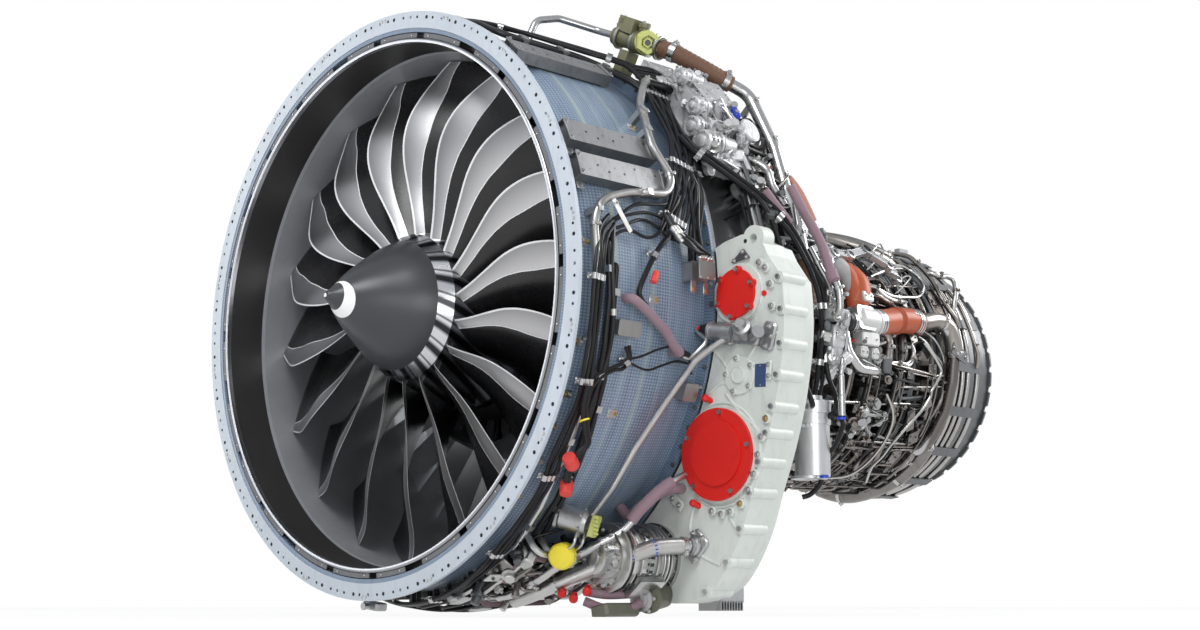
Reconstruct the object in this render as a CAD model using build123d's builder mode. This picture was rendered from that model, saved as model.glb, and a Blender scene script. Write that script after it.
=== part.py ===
from build123d import *
from math import atan2, cos, degrees, radians, sin, tan
import os

os.makedirs("parts", exist_ok=True)

# A large two-shaft turbofan engine without its nacelle.
# The engine axis is Y, with the intake at the low end, and +Z is up.
# The origin is the centre of the front face of the intake flange.
# A place is often given as radius, clock angle from +X towards +Z, and station along Y.

# Clearances
seat_gap = 0.3
tip_gap = 5

# Intake flange
flange_radius = 1115
flange_bore = 1051
flange_thickness = 14
flange_bolt_circle = 1092
flange_bolt_count = 36
flange_bolt_hole = 6.5
flange_cuff_wall = 6
flange_cuff_end = 44

# Fan case and its linings
liner_bore = 997
liner_thickness = 38
lip_wall = 6
lip_pocket_end = 38
liner_end = 170
track_end = 520
case_thick_start = 160
case_thick_end = 500
case_thick_radius = 1078
case_neck_radius = 1056
case_neck_station = 660
case_end = 704
case_flange_radius = 1100
case_flange_thickness = 14

# Fan
fan_tip_radius = 988
fan_blade_count = 18
spinner_tip = -227
spinner_base = 107
spinner_radius = 249
spinner_wall = 8
hub_front_radius = 283
hub_front_station = 160
hub_rear_radius = 370
hub_rear_station = 460
hub_end = 500
hub_wall = 9

# Fan frame
frame_end = 1200
frame_wall = 16
frame_rib_radius = 1078
vane_count = 36
vane_front = 840
vane_rear = 1010
duct_inner_radius = 560
duct_outer_radius = 990
hub_frame_wall = 15

# Shafts
fan_shaft_radius = 90
lp_shaft_radius = 58
core_shaft_radius = 110

# Core
core_front = frame_end
compressor_end = 1950
combustor_end = 2450
turbine_end = 3100
engine_end = 3330
rear_flange_radius = 560
turbine_flange_radius = 565
nozzle_count = 18
nozzle_tip_radius = 16
strut_count = 12
hub_strut_count = 8
rear_lug_station = 3215
rear_lug_height = 602
rear_lug_hole = 13
rear_hub_radius = 137
rear_hub_face = 3190

# Radial shaft that takes power from the core to the gearbox
radial_angle = -22.5
radial_station = 1112
radial_shaft_radius = 16
radial_bore_radius = 22
transfer_radius = 1082
transfer_height = 110
shaft_inner_end = 300
radial_shaft_end = 1150

# Gearbox
gearbox_front = 700
gearbox_split = 820
gearbox_rear = 885
gearbox_gap = 12
small_cover = (1213, -33)
small_cover_radius = 88
large_cover = (1115, -601)
large_cover_radius = 165
cover_thickness = 11
pad_height = 14

# Vane control
ring_stations = (1330, 1450, 1570)
ring_width = 18
ring_depth = 12
lever_count = 24
actuator_angle = -20
actuator_radius = 446
lug_half = 10


def at(radius, angle, station):
    """A point from its radius, clock angle and station."""
    return (radius * cos(radians(angle)), station, radius * sin(radians(angle)))


def beside(radius, angle, station, shift):
    """A point at a radius and clock angle, shifted square to that radius."""
    turn = radians(angle)
    return (radius * cos(turn) - shift * sin(turn), station, radius * sin(turn) + shift * cos(turn))


def between(value, table):
    """Reads a table of (radius, station) pairs at a station."""
    for (low_radius, low), (high_radius, high) in zip(table, table[1:]):
        if low <= value <= high:
            return low_radius + (high_radius - low_radius) * (value - low) / (high - low)
    return table[-1][0]


def turned(*outline, mode=Mode.ADD):
    """Adds a closed (radius, station) outline, revolved about the engine axis."""
    with BuildSketch(Plane.XY) as profile:
        with BuildLine():
            Polyline(*outline, close=True)
        make_face()
    return revolve(profile.sketch, axis=Axis.Y, mode=mode)


def radial_bore(angle, station, radius, start, end):
    """Cuts a round hole that runs outward from the engine axis."""
    with BuildSketch(radial_plane(start, angle, station)) as mouth:
        Circle(radius)
    extrude(mouth.sketch, amount=end - start, mode=Mode.SUBTRACT)


def around(shape, count, first=0):
    """Copies of a shape, evenly spaced about the engine axis."""
    return [shape.rotate(Axis.Y, first + turn * 360 / count) for turn in range(count)]


def radial_plane(radius, angle, station):
    """A plane that faces away from the engine axis, with its x along the axis."""
    return Plane(
        origin=at(radius, angle, station),
        x_dir=(0, 1, 0),
        z_dir=(cos(radians(angle)), 0, sin(radians(angle))),
    )


def section_plane(angle, station):
    """A plane across the axis: its x is the radius at this clock angle, and it faces aft."""
    return Plane(
        origin=(0, station, 0),
        x_dir=(cos(radians(angle)), 0, sin(radians(angle))),
        z_dir=(0, 1, 0),
    )


def front_plane(station, x=0, z=0):
    """A plane that faces forward, with its x along X and its y along Z."""
    return Plane(origin=(x, station, z), x_dir=(1, 0, 0), z_dir=(0, -1, 0))


def rod(start, end, radius):
    """Adds a straight round bar between two points."""
    run = Vector(*end) - Vector(*start)
    with BuildSketch(Plane(origin=start, z_dir=run)) as section:
        Circle(radius)
    return extrude(section.sketch, amount=run.length)


def block(plane, length, width, height):
    """Adds a block that stands on a plane."""
    with BuildSketch(plane) as section:
        Rectangle(length, width)
    return extrude(section.sketch, amount=height)


def disc(plane, radius, height):
    """Adds a round disc that stands on a plane."""
    with BuildSketch(plane) as section:
        Circle(radius)
    return extrude(section.sketch, amount=height)


def bends(points, largest):
    """One bend radius for each corner of a route, as large as its runs allow."""
    corners = [Vector(*point) for point in points]
    radii = []
    for before, corner, after in zip(corners, corners[1:], corners[2:]):
        run_in = corner - before
        run_out = after - corner
        half_turn = radians(run_in.get_angle(run_out)) / 2
        room = 0.45 * min(run_in.length, run_out.length) / tan(half_turn)
        radii.append(min(room, largest))
    return radii


def tube(points, radius, largest=90):
    """Adds a tube of straight runs joined by tangent bends."""
    with BuildLine() as route:
        FilletPolyline(*points, radius=bends(points, largest))
    path = route.wire()
    with BuildSketch(Plane(origin=path @ 0, z_dir=path % 0)) as section:
        Circle(radius)
    return sweep(section.sketch, path=path)


def vane_row(count, inner, outer, station, chord, thickness, stagger, camber=4):
    """Adds a row of straight vanes between two radii."""
    slant = radians(stagger)
    plane = Plane(origin=(inner, station, 0), x_dir=(0, cos(slant), sin(slant)), z_dir=(1, 0, 0))
    with BuildSketch(plane) as root:
        with BuildLine():
            ThreePointArc((0, 0), (chord / 2, -camber - thickness / 2), (chord, 0))
            ThreePointArc((chord, 0), (chord / 2, -camber + thickness / 2), (0, 0))
        make_face()
    vane = extrude(root.sketch, amount=outer - inner, mode=Mode.PRIVATE)
    add(around(vane, count))


# Values that follow from the driving dimensions
liner_radius = liner_bore + liner_thickness
case_bore = liner_radius + seat_gap
track_bore = fan_tip_radius + tip_gap
case_front_radius = flange_bore - seat_gap
case_outline = (
    (case_front_radius, 2),
    (case_front_radius, flange_cuff_end + 4),
    (case_thick_radius, case_thick_start),
    (case_thick_radius, case_thick_end),
    (case_neck_radius, case_neck_station),
    (case_neck_radius, case_end - case_flange_thickness),
)
combustor_line = (
    (392, compressor_end + 18),
    (414, 2060),
    (430, 2380),
    (430, combustor_end - 14),
)
turbine_front_line = (
    (452, combustor_end + 20),
    (469, 2530),
    (482, 2630),
)
turbine_middle_line = (
    (485, 2646),
    (500, 2760),
)
core_outline = combustor_line + turbine_front_line + turbine_middle_line
hub_line = (
    (spinner_radius, spinner_base),
    (hub_front_radius, hub_front_station),
    (hub_rear_radius, hub_rear_station),
    (hub_rear_radius + 2, hub_end),
)
frame_bore = case_bore
frame_radius = frame_bore + frame_wall


def case_radius(station):
    """The outside radius of the fan case at a station."""
    return between(station, case_outline)


def core_radius(station):
    """The outside radius of the combustor and turbine cases at a station."""
    return between(station, core_outline)


def hub_radius(station):
    """The outside radius of the fan hub at a station."""
    return between(station, hub_line)


# Intake flange ring, pale, with its bolt holes and a cuff behind it
with BuildPart(Plane.XZ) as front_flange:
    turned(
        (flange_bore, 0),
        (flange_radius, 0),
        (flange_radius, flange_thickness),
        (flange_bore + flange_cuff_wall, flange_thickness),
        (flange_bore + flange_cuff_wall, flange_cuff_end),
        (flange_bore, flange_cuff_end),
    )
    with PolarLocations(flange_bolt_circle, flange_bolt_count):
        Hole(flange_bolt_hole)

# Woven fan case: thin at the front, thick round the blades, with a rear flange
with BuildPart() as fan_case:
    turned(
        *case_outline,
        (case_flange_radius, case_end - case_flange_thickness),
        (case_flange_radius, case_end),
        (case_bore, case_end),
        (case_bore, 2),
    )

# Front acoustic liner with a thin lip that leaves a pocket behind it
with BuildPart() as inlet_liner:
    turned(
        (liner_bore, 0),
        (liner_bore + lip_wall, 0),
        (liner_bore + lip_wall, lip_pocket_end),
        (liner_radius, lip_pocket_end),
        (liner_radius, liner_end),
        (liner_bore, liner_end),
    )

# Smooth track that the blade tips run in
with BuildPart() as blade_track:
    turned(
        (liner_bore, liner_end),
        (track_bore, liner_end + 14),
        (track_bore, track_end),
        (liner_radius, track_end),
        (liner_radius, liner_end),
    )

# Acoustic liners between the blades and the guide vanes, and behind the vanes
with BuildPart() as rear_liners:
    turned(
        (track_bore, track_end),
        (duct_outer_radius, vane_front),
        (liner_radius, vane_front),
        (liner_radius, track_end),
    )
    turned(
        (duct_outer_radius, vane_rear),
        (duct_outer_radius + 6, frame_end),
        (liner_radius, frame_end),
        (liner_radius, vane_rear),
    )
    radial_bore(radial_angle, radial_station, radial_bore_radius, 900, 1100)

# Outer ring of the fan frame, bolted to the rear flange of the case
with BuildPart() as fan_frame_ring:
    turned(
        (frame_bore, case_end),
        (case_flange_radius, case_end),
        (case_flange_radius, case_end + case_flange_thickness),
        (frame_radius, case_end + case_flange_thickness + 10),
        (frame_radius, 948),
        (frame_rib_radius, 952),
        (frame_rib_radius, 964),
        (frame_radius, 968),
        (frame_radius, frame_end - 20),
        (frame_rib_radius, frame_end - 16),
        (frame_rib_radius, frame_end),
        (frame_bore, frame_end),
    )
    radial_bore(radial_angle, radial_station, radial_bore_radius, 900, 1100)

# Outlet guide vanes with their inner and outer bands
with BuildPart() as outlet_guide_vanes:
    turned(
        (duct_outer_radius, vane_front),
        (liner_radius, vane_front),
        (liner_radius, vane_rear),
        (duct_outer_radius, vane_rear),
    )
    turned(
        (duct_inner_radius - hub_frame_wall, vane_front),
        (duct_inner_radius, vane_front),
        (duct_inner_radius, vane_rear),
        (duct_inner_radius - hub_frame_wall, vane_rear),
    )
    vane_row(vane_count, duct_inner_radius - 6, duct_outer_radius + 6, vane_front + 8, 150, 13, 10, 14)

# Splitter fairing that parts the bypass air from the core air
with BuildPart() as splitter_fairing:
    turned(
        (500, 552),
        (514, 572),
        (535, 640),
        (551, 740),
        (duct_inner_radius, vane_front),
        (duct_inner_radius - 6, vane_front),
        (545, 742),
        (529, 645),
        (508, 580),
        (502, 572),
        (494, 572),
    )

# Booster case with three rows of stators
booster_case_inner = ((494, 572), (486, 640), (479, 760), (470, 950))
with BuildPart() as booster_case:
    turned(
        *booster_case_inner,
        (482, 950),
        (488, 760),
        (495, 640),
        (501.6, 572),
    )
    vane_row(30, 402, 493, 606, 34, 5, 12)
    vane_row(30, 404, 482, 716, 30, 4, 18)
    vane_row(30, 402, 480, 822, 30, 4, 18)

# One strut of the hub frame, slanting forward as it goes out
with BuildPart() as hub_strut:
    for radius, station, length, width in ((262, 1120, 96, 50), (533, 1112, 110, 54)):
        with BuildSketch(radial_plane(radius, 0, station)):
            RectangleRounded(length, width, width * 0.45)
    loft()

# Hub of the fan frame: drum, core air passage, struts and bearing cone in one casting
with BuildPart() as fan_hub_frame:
    turned(
        (528, vane_front),
        (duct_inner_radius - hub_frame_wall - seat_gap, vane_front),
        (duct_inner_radius - hub_frame_wall - seat_gap, frame_end),
        (470, frame_end),
        (470, frame_end - 12),
        (528, frame_end - 12),
    )
    turned(
        (470, 950),
        (482, 950),
        (416, 1080),
        (362, frame_end),
        (346, frame_end),
        (402, 1080),
    )
    turned(
        (362, 950),
        (376, 950),
        (318, 1080),
        (254, frame_end),
        (240, frame_end),
        (304, 1080),
    )
    turned(
        (254, frame_end - 12),
        (254, frame_end),
        (120, 1046),
        (120, 1010),
        (134, 1030),
    )
    turned(
        (246, frame_end - 12),
        (246, frame_end),
        (124, frame_end),
        (124, frame_end + 40),
        (core_shaft_radius + seat_gap, frame_end + 40),
        (core_shaft_radius + seat_gap, frame_end - 4),
        (124, frame_end - 12),
    )
    add(around(hub_strut.part, hub_strut_count, 180 / hub_strut_count))
    radial_bore(radial_angle, radial_station, radial_shaft_radius + seat_gap, shaft_inner_end - 1, 340)
    radial_bore(radial_angle, radial_station, radial_bore_radius, 340, 600)

# Spinner: a hollow cone with a rounded nose
with BuildPart() as spinner:
    with BuildSketch(Plane.XY) as spinner_profile:
        with BuildLine():
            Spline(
                (0, spinner_tip),
                (22, spinner_tip + 16),
                (92, spinner_tip + 98),
                (180, spinner_tip + 215),
                (spinner_radius, spinner_base),
                tangents=((1, 0), (0.42, 1)),
            )
            Line((spinner_radius, spinner_base), (spinner_radius - spinner_wall, spinner_base))
            Spline(
                (spinner_radius - spinner_wall, spinner_base),
                (172, spinner_tip + 215),
                (85, spinner_tip + 100),
                (0, spinner_tip + 14),
            )
            Line((0, spinner_tip + 14), (0, spinner_tip))
        make_face()
    revolve(spinner_profile.sketch, axis=Axis.Y)

# Platform ring: the polished hub surface between the blades
with BuildPart() as blade_platforms:
    turned(
        *hub_line,
        (hub_rear_radius + 2 - hub_wall, hub_end),
        (hub_rear_radius - hub_wall, hub_rear_station),
        (hub_front_radius - hub_wall, hub_front_station + 3),
        (spinner_radius - hub_wall, spinner_base + 3),
        (spinner_radius - hub_wall, spinner_base),
    )

# Fan disk under the platforms
disk_rim_front = hub_front_station + 15
disk_rim_rear = 365
rim_drop = hub_wall + 1
with BuildPart() as fan_disk:
    turned(
        (fan_shaft_radius + seat_gap, 190),
        (128, 190),
        (150, 235),
        (236, 235),
        (250, disk_rim_front),
        (hub_radius(disk_rim_front) - rim_drop, disk_rim_front),
        (hub_radius(disk_rim_rear) - rim_drop, disk_rim_rear),
        (262, disk_rim_rear),
        (236, 320),
        (160, 320),
        (132, 390),
        (fan_shaft_radius + seat_gap, 390),
    )

# Space that a fan blade may fill, between the hub and the tip circle
with BuildPart() as blade_space:
    turned(
        *[(radius + seat_gap, station) for radius, station in hub_line],
        (fan_tip_radius, hub_end),
        (fan_tip_radius, spinner_base),
    )

# Sections of a fan blade, from below the hub to beyond the tip: radius, clock angle and
# station of the leading edge, stagger from the axis, chord, thickness and camber
fan_sections = (
    (250, 102.5, 168, 20, 305, 26, 36),
    (360, 107.3, 163, 30, 330, 22, 32),
    (480, 111.3, 157, 40, 360, 18, 26),
    (600, 112.9, 148, 48, 385, 15, 20),
    (720, 112.3, 158, 54, 400, 13, 15),
    (840, 110.0, 205, 58, 410, 11, 11),
    (930, 107.0, 250, 61, 415, 9.5, 8),
    (1014, 103.2, 297, 63.5, 422, 8, 6),
)
with BuildPart() as fan_blade:
    for radius, angle, station, stagger, chord, thickness, camber in fan_sections:
        edge = at(radius, angle, station)
        chord_line = (sin(radians(stagger)), cos(radians(stagger)), 0)
        with BuildSketch(Plane(origin=edge, x_dir=chord_line, z_dir=(0, 0, 1))):
            with BuildLine():
                ThreePointArc((0, 0), (chord / 2, -camber - thickness / 2), (chord, 0))
                ThreePointArc((chord, 0), (chord / 2, -camber + thickness / 2), (0, 0))
            make_face()
    loft()
    add(blade_space.part, mode=Mode.INTERSECT)

with BuildPart() as fan_blades:
    add(around(fan_blade.part, fan_blade_count))

# Booster rotor: a drum with three blade rows, carried on a cone from the fan shaft
with BuildPart() as booster_rotor:
    turned(
        (362, 506),
        (372, 506),
        (396, 620),
        (400, 760),
        (384, 938),
        (374, 938),
        (390, 760),
        (386, 626),
        (365, 534),
        (130, 486),
        (fan_shaft_radius + seat_gap, 480),
        (fan_shaft_radius + seat_gap, 440),
        (104, 440),
        (104, 466),
        (140, 474),
        (360, 519),
    )
    vane_row(34, 392, 480, 662, 30, 4, -32)
    vane_row(34, 392, 476, 768, 30, 4, -32)
    vane_row(34, 382, 470, 876, 28, 4, -32)

# Low-pressure shaft from the fan to the last turbine
with BuildPart() as lp_shaft:
    turned(
        (40, 150),
        (fan_shaft_radius, 150),
        (fan_shaft_radius, 1060),
        (lp_shaft_radius, 1120),
        (lp_shaft_radius, 2900),
        (76, 2920),
        (76, 3200),
        (40, 3200),
    )

# High-pressure compressor rotor: a drum with four blade rows and its drive shaft
with BuildPart() as core_compressor_rotor:
    turned(
        (242, 1212),
        (254, 1212),
        (290, 1640),
        (300, 1900),
        (288, 1900),
        (278, 1640),
        (246, 1260),
        (core_shaft_radius, 1290),
        (core_shaft_radius, 1900),
        (98, 1900),
        (98, 1206),
        (core_shaft_radius, 1206),
        (core_shaft_radius, 1268),
    )
    vane_row(26, 258, 336, 1250, 40, 5, -35)
    vane_row(26, 268, 331, 1370, 34, 5, -35)
    vane_row(26, 276, 326, 1490, 30, 5, -35)
    vane_row(26, 284, 322, 1610, 26, 4, -35)
    vane_row(26, 290, 318, 1730, 24, 4, -35)

# High-pressure turbine: two disks on the drive shaft, with one blade row each
with BuildPart() as core_turbine_rotor:
    turned(
        (98, 1900),
        (core_shaft_radius, 1900),
        (core_shaft_radius, 2370),
        (140, 2400),
        (262, 2412),
        (272, 2396),
        (272, 2436),
        (262, 2424),
        (140, 2440),
        (core_shaft_radius, 2470),
        (98, 2470),
    )
    vane_row(36, 268, 334, 2400, 32, 7, -30)

# Compressor case with flanges, stages of bosses and a split line
with BuildPart() as compressor_case:
    turned(
        (346, core_front),
        (500, core_front),
        (500, core_front + 14),
        (372, core_front + 20),
        (360, core_front + 60),
        (342, 1800),
        (338, compressor_end - 14),
        (440, compressor_end - 14),
        (440, compressor_end),
        (324, compressor_end),
    )
    for station in ring_stations:
        with BuildSketch(radial_plane(338, 0, station - 46)) as boss_profile:
            Circle(13)
        boss = extrude(boss_profile.sketch, amount=44, mode=Mode.PRIVATE)
        add(around(boss, lever_count))
    for angle in (0, 180):
        block(radial_plane(338, angle, 1600), 640, 34, 26)

# Combustor case with nozzle pads between two flanges
with BuildPart() as combustor_case:
    turned(
        (324, compressor_end),
        (440, compressor_end),
        (440, compressor_end + 14),
        *combustor_line,
        (460, combustor_end - 14),
        (460, combustor_end),
        (418, combustor_end),
        (418, 2390),
        (402, 2066),
        (378, compressor_end + 24),
        (324, compressor_end + 10),
    )
    with BuildSketch(radial_plane(402, 0, 2150)) as pad_profile:
        RectangleRounded(62, 44, 10)
    pad = extrude(pad_profile.sketch, amount=32, mode=Mode.PRIVATE)
    add(around(pad, nozzle_count))
    with BuildSketch(radial_plane(380, 0, 2150)) as pad_bore:
        Circle(13)
    bore = extrude(pad_bore.sketch, amount=80, mode=Mode.PRIVATE)
    add(around(bore, nozzle_count), mode=Mode.SUBTRACT)

# Combustor liner: an annular can, open to the turbine
with BuildPart() as combustor_liner:
    turned(
        (270, 2180),
        (276, 2180),
        (276, 2384),
        (262, 2392),
        (256, 2388),
        (270, 2376),
    )
    turned(
        (276, 2180),
        (364, 2180),
        (364, 2376),
        (344, 2392),
        (340, 2388),
        (358, 2372),
        (358, 2186),
        (276, 2186),
    )
    with BuildSketch(front_plane(2176, 318, 0)) as dome_hole:
        Circle(nozzle_tip_radius + seat_gap)
    hole = extrude(dome_hole.sketch, amount=-16, mode=Mode.PRIVATE)
    add(around(hole, nozzle_count), mode=Mode.SUBTRACT)

# Fuel nozzles with their ring manifold
with BuildPart() as fuel_nozzle:
    rod(at(318, 0, 2150), at(434.3, 0, 2150), 11)
    rod(at(318, 0, 2142), at(318, 0, 2196), nozzle_tip_radius)
    block(radial_plane(434.3, 0, 2150), 54, 36, 12)
    rod(at(446, 0, 2150), at(462, 0, 2150), 13)
with BuildPart() as fuel_nozzles:
    add(around(fuel_nozzle.part, nozzle_count))
    with BuildSketch(Plane(origin=(470, 2150, 0), x_dir=(1, 0, 0), z_dir=(0, 0, 1))) as manifold:
        Circle(11)
    revolve(manifold.sketch, axis=Axis.Y)

# Turbine case, widening aft, with stiffening ribs
with BuildPart() as turbine_case:
    turned(
        (336, combustor_end),
        (460, combustor_end),
        (460, combustor_end + 14),
        *turbine_front_line,
        (494, 2632),
        (494, 2644),
        *turbine_middle_line,
        (512, 2762),
        (512, 2774),
        (503, 2776),
        (518, 2890),
        (530, 2892),
        (530, 2904),
        (521, 2906),
        (544, turbine_end - 16),
        (turbine_flange_radius, turbine_end - 12),
        (turbine_flange_radius, turbine_end),
        (532, turbine_end),
        (457, 2540),
        (440, combustor_end + 28),
        (336, combustor_end + 10),
    )
    vane_row(40, 396, 466, 2560, 44, 7, 24)
    vane_row(40, 404, 486, 2690, 44, 7, 24)
    vane_row(40, 412, 504, 2820, 44, 7, 24)
    vane_row(40, 416, 520, 2945, 44, 7, 24)

# Low-pressure turbine rotor: a drum with four blade rows and a cone to the shaft
with BuildPart() as lp_turbine_rotor:
    turned(
        (380, 2500),
        (392, 2500),
        (410, 3060),
        (398, 3060),
        (391, 2850),
        (130, 2975),
        (76 + seat_gap, 2975),
        (76 + seat_gap, 2950),
        (130, 2950),
        (390, 2826),
    )
    vane_row(40, 390, 442, 2510, 38, 7, -30)
    vane_row(40, 393, 462, 2630, 40, 7, -30)
    vane_row(44, 396, 478, 2755, 42, 7, -30)
    vane_row(48, 400, 495, 2885, 44, 7, -30)
    vane_row(48, 404, 511, 3005, 48, 7, -30)

# Turbine rear frame: outer ring, struts, hub and a scalloped rear flange
with BuildPart() as turbine_rear_frame:
    turned(
        (532, turbine_end),
        (turbine_flange_radius, turbine_end),
        (turbine_flange_radius, turbine_end + 12),
        (546, turbine_end + 18),
        (546, engine_end - 14),
        (rear_flange_radius, engine_end - 12),
        (rear_flange_radius, engine_end),
        (532, engine_end),
    )
    turned(
        (246, turbine_end + 24),
        (260, turbine_end + 20),
        (260, engine_end - 20),
        (246, engine_end - 24),
    )
    turned(
        (120, 3140),
        (134, 3140),
        (150, 3160),
        (248, 3190),
        (248, 3204),
        (152, 3176),
        (rear_hub_radius, rear_hub_face),
        (120, rear_hub_face),
    )
    vane_row(strut_count, 254, 540, 3128, 150, 20, 12, 6)
    with BuildSketch(front_plane(engine_end - 13, rear_flange_radius + 5, 0)) as scallop:
        Circle(17)
    notch = extrude(scallop.sketch, amount=-20, mode=Mode.PRIVATE)
    add(around(notch, 36), mode=Mode.SUBTRACT)
    for x, low in ((-130, 522), (0, 534), (130, 522)):
        block(Plane(origin=(x, rear_lug_station, low), x_dir=(0, 1, 0), z_dir=(0, 0, 1)), 74, 30, 640 - low)
    with BuildSketch(Plane.YZ.offset(-160)) as lug_bore:
        with Locations((rear_lug_station, rear_lug_height)):
            Circle(rear_lug_hole)
    extrude(lug_bore.sketch, amount=320, mode=Mode.SUBTRACT)

# Cover over the rear bearing sump
with BuildPart() as rear_sump_cover:
    turned(
        (0, 3222),
        (0, 3262),
        (60, 3252),
        (100, 3222),
        (118, 3212),
        (rear_hub_radius, rear_hub_face + 12),
        (rear_hub_radius, rear_hub_face),
        (122, rear_hub_face),
        (108, 3206),
        (96, 3212),
    )

# Bearings: one at the fan, one at the compressor and one at the last turbine
with BuildPart() as shaft_bearings:
    for shaft, start, end in ((fan_shaft_radius, 1012, 1044), (76, 3144, 3184)):
        turned(
            (shaft + seat_gap, start),
            (120 - seat_gap, start),
            (120 - seat_gap, end),
            (shaft + seat_gap, end),
        )

# Gearbox outline in X and Z: the outer flank from the top corner down and round the end
gearbox_flank = (
    (1408, 5),
    (1416, -110),
    (1410, -231),
    (1392, -340),
    (1367, -450),
    (1340, -540),
    (1305, -640),
    (1262, -745),
    (1215, -870),
    (1150, -985),
    (1050, -1088),
    (930, -1122),
    (800, -1112),
    (690, -1062),
    (634, -975),
)
gearbox_crown = ((1146, 166), (1230, 182), (1322, 140), (1347, 92))
gearbox_inner_radius = case_flange_radius + gearbox_gap
gearbox_top_angle = 7.7
gearbox_end_angle = -55.5


def inset_point(point, inset):
    """Moves an outline point towards the engine axis."""
    x, z = point
    share = 1 - inset / (x * x + z * z) ** 0.5
    return (x * share, z * share)


def gearbox_outline(station, inset):
    """The closed outline of the gearbox at a station, smaller by the inset."""
    inner = gearbox_inner_radius + inset / 2
    arc_points = [
        (inner * cos(radians(angle)), inner * sin(radians(angle)))
        for angle in (gearbox_end_angle, (gearbox_end_angle + gearbox_top_angle) / 2, gearbox_top_angle)
    ]
    crown = [inset_point(point, inset) for point in gearbox_crown]
    flank = [inset_point(point, inset) for point in gearbox_flank]
    with BuildSketch(front_plane(station)) as outline:
        with BuildLine():
            ThreePointArc(*arc_points)
            Polyline(arc_points[2], *crown, flank[0])
            Spline(*flank)
            Line(flank[-1], arc_points[0])
        make_face()
    return outline.sketch


def turned_on(plane, *outline):
    """Adds a closed (radius, height) outline, revolved about the axis of a plane."""
    across = Plane(origin=plane.origin, x_dir=plane.x_dir, z_dir=plane.x_dir.cross(plane.z_dir))
    with BuildSketch(across) as profile:
        with BuildLine():
            Polyline(*outline, close=True)
        make_face()
    return revolve(profile.sketch, axis=Axis(plane.origin, plane.z_dir))


def stepped(plane, *steps):
    """Adds a turned body of stacked (radius, height) steps on a plane."""
    outline = [(0, 0)]
    level = 0
    for radius, height in steps:
        outline += [(radius, level), (radius, level + height)]
        level += height
    turned_on(plane, *outline, (0, level))


# Front half of the gearbox, with its bolt bosses, pads and lifting lug
boss_inset = 8
boss_radius = 21
lug_centre = (1281, 160)
lug_radius = 48
lug_hole = 17
plug_pad = (1212, -325)
with BuildPart() as gearbox_front_housing:
    extrude(gearbox_outline(gearbox_front, 0), amount=gearbox_front - gearbox_split)
    for point in gearbox_flank[:11]:
        x, z = inset_point(point, boss_inset)
        disc(front_plane(gearbox_split, x, z), boss_radius, gearbox_split - gearbox_front + 8)
    disc(front_plane(gearbox_front + 60, *lug_centre), lug_radius, 60)
    for centre, radius in ((small_cover, small_cover_radius + 20), (large_cover, large_cover_radius + 9)):
        disc(front_plane(gearbox_front + 1, *centre), radius, pad_height + 1)
    stepped(front_plane(gearbox_front + 1, *plug_pad), (48, 9), (30, 5))
    with BuildSketch(front_plane(gearbox_front + 70, *lug_centre)) as lug_bore:
        Circle(lug_hole)
    extrude(lug_bore.sketch, amount=90, mode=Mode.SUBTRACT)
    turned(
        (1000, gearbox_front - 20),
        (gearbox_inner_radius - 4, gearbox_front - 20),
        (gearbox_inner_radius - 4, gearbox_front + 30),
        (1000, gearbox_front + 30),
        mode=Mode.SUBTRACT,
    )

# Rear half of the gearbox, with the housing that takes the radial shaft
with BuildPart() as gearbox_rear_housing:
    extrude(gearbox_outline(gearbox_split, 16), amount=gearbox_split - gearbox_rear)
    transfer_length = radial_station + 60 - gearbox_rear
    transfer_middle = gearbox_rear - 10 + transfer_length / 2
    with BuildSketch(radial_plane(transfer_radius, radial_angle, transfer_middle)) as transfer:
        RectangleRounded(transfer_length, 130, 20)
    extrude(transfer.sketch, amount=transfer_height)
    shaft_seat = radial_shaft_radius + seat_gap
    radial_bore(radial_angle, radial_station, shaft_seat, transfer_radius - 10, radial_shaft_end + 1)

# Red shipping covers over the gearbox drive pads
pad_face = gearbox_front - pad_height
cover_ears = 6
with BuildPart(front_plane(pad_face, *small_cover)) as small_gearbox_cover:
    Cylinder(small_cover_radius, cover_thickness, align=(Align.CENTER, Align.CENTER, Align.MIN))
    with PolarLocations(small_cover_radius - 4, cover_ears, 20):
        Cylinder(14, cover_thickness + 6, align=(Align.CENTER, Align.CENTER, Align.MIN))
with BuildPart(front_plane(pad_face, *large_cover)) as large_gearbox_cover:
    Cylinder(large_cover_radius, cover_thickness, align=(Align.CENTER, Align.CENTER, Align.MIN))
    with Locations((4, 4, cover_thickness)):
        Cylinder(large_cover_radius * 0.71, 8, align=(Align.CENTER, Align.CENTER, Align.MIN))

# Generator on the lower front pad of the gearbox
generator_centre = (790, -963)
generator_radius = 118
with BuildPart() as generator:
    stepped(
        front_plane(gearbox_front, *generator_centre),
        (generator_radius + 12, 16),
        (generator_radius - 4, 34),
        (generator_radius + 6, 14),
        (generator_radius, 70),
        (generator_radius + 6, 12),
        (generator_radius, 70),
        (generator_radius + 6, 14),
        (generator_radius - 12, 44),
        (70, 28),
    )
    block(radial_plane(1348, -50.6, 560), 130, 90, 46)

# Starter on the rear face of the gearbox
starter_centre = (950, -790)
with BuildPart() as starter:
    aft = Plane(origin=(starter_centre[0], gearbox_rear, starter_centre[1]), x_dir=(1, 0, 0), z_dir=(0, 1, 0))
    stepped(aft, (96, 14), (78, 40), (88, 110), (70, 26), (40, 40))

# Hydraulic pump on the rear face, above the starter
pump_centre = (1085, -640)
with BuildPart() as hydraulic_pump:
    aft = Plane(origin=(pump_centre[0], gearbox_rear, pump_centre[1]), x_dir=(1, 0, 0), z_dir=(0, 1, 0))
    stepped(aft, (72, 12), (52, 30), (60, 70), (46, 18))

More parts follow.
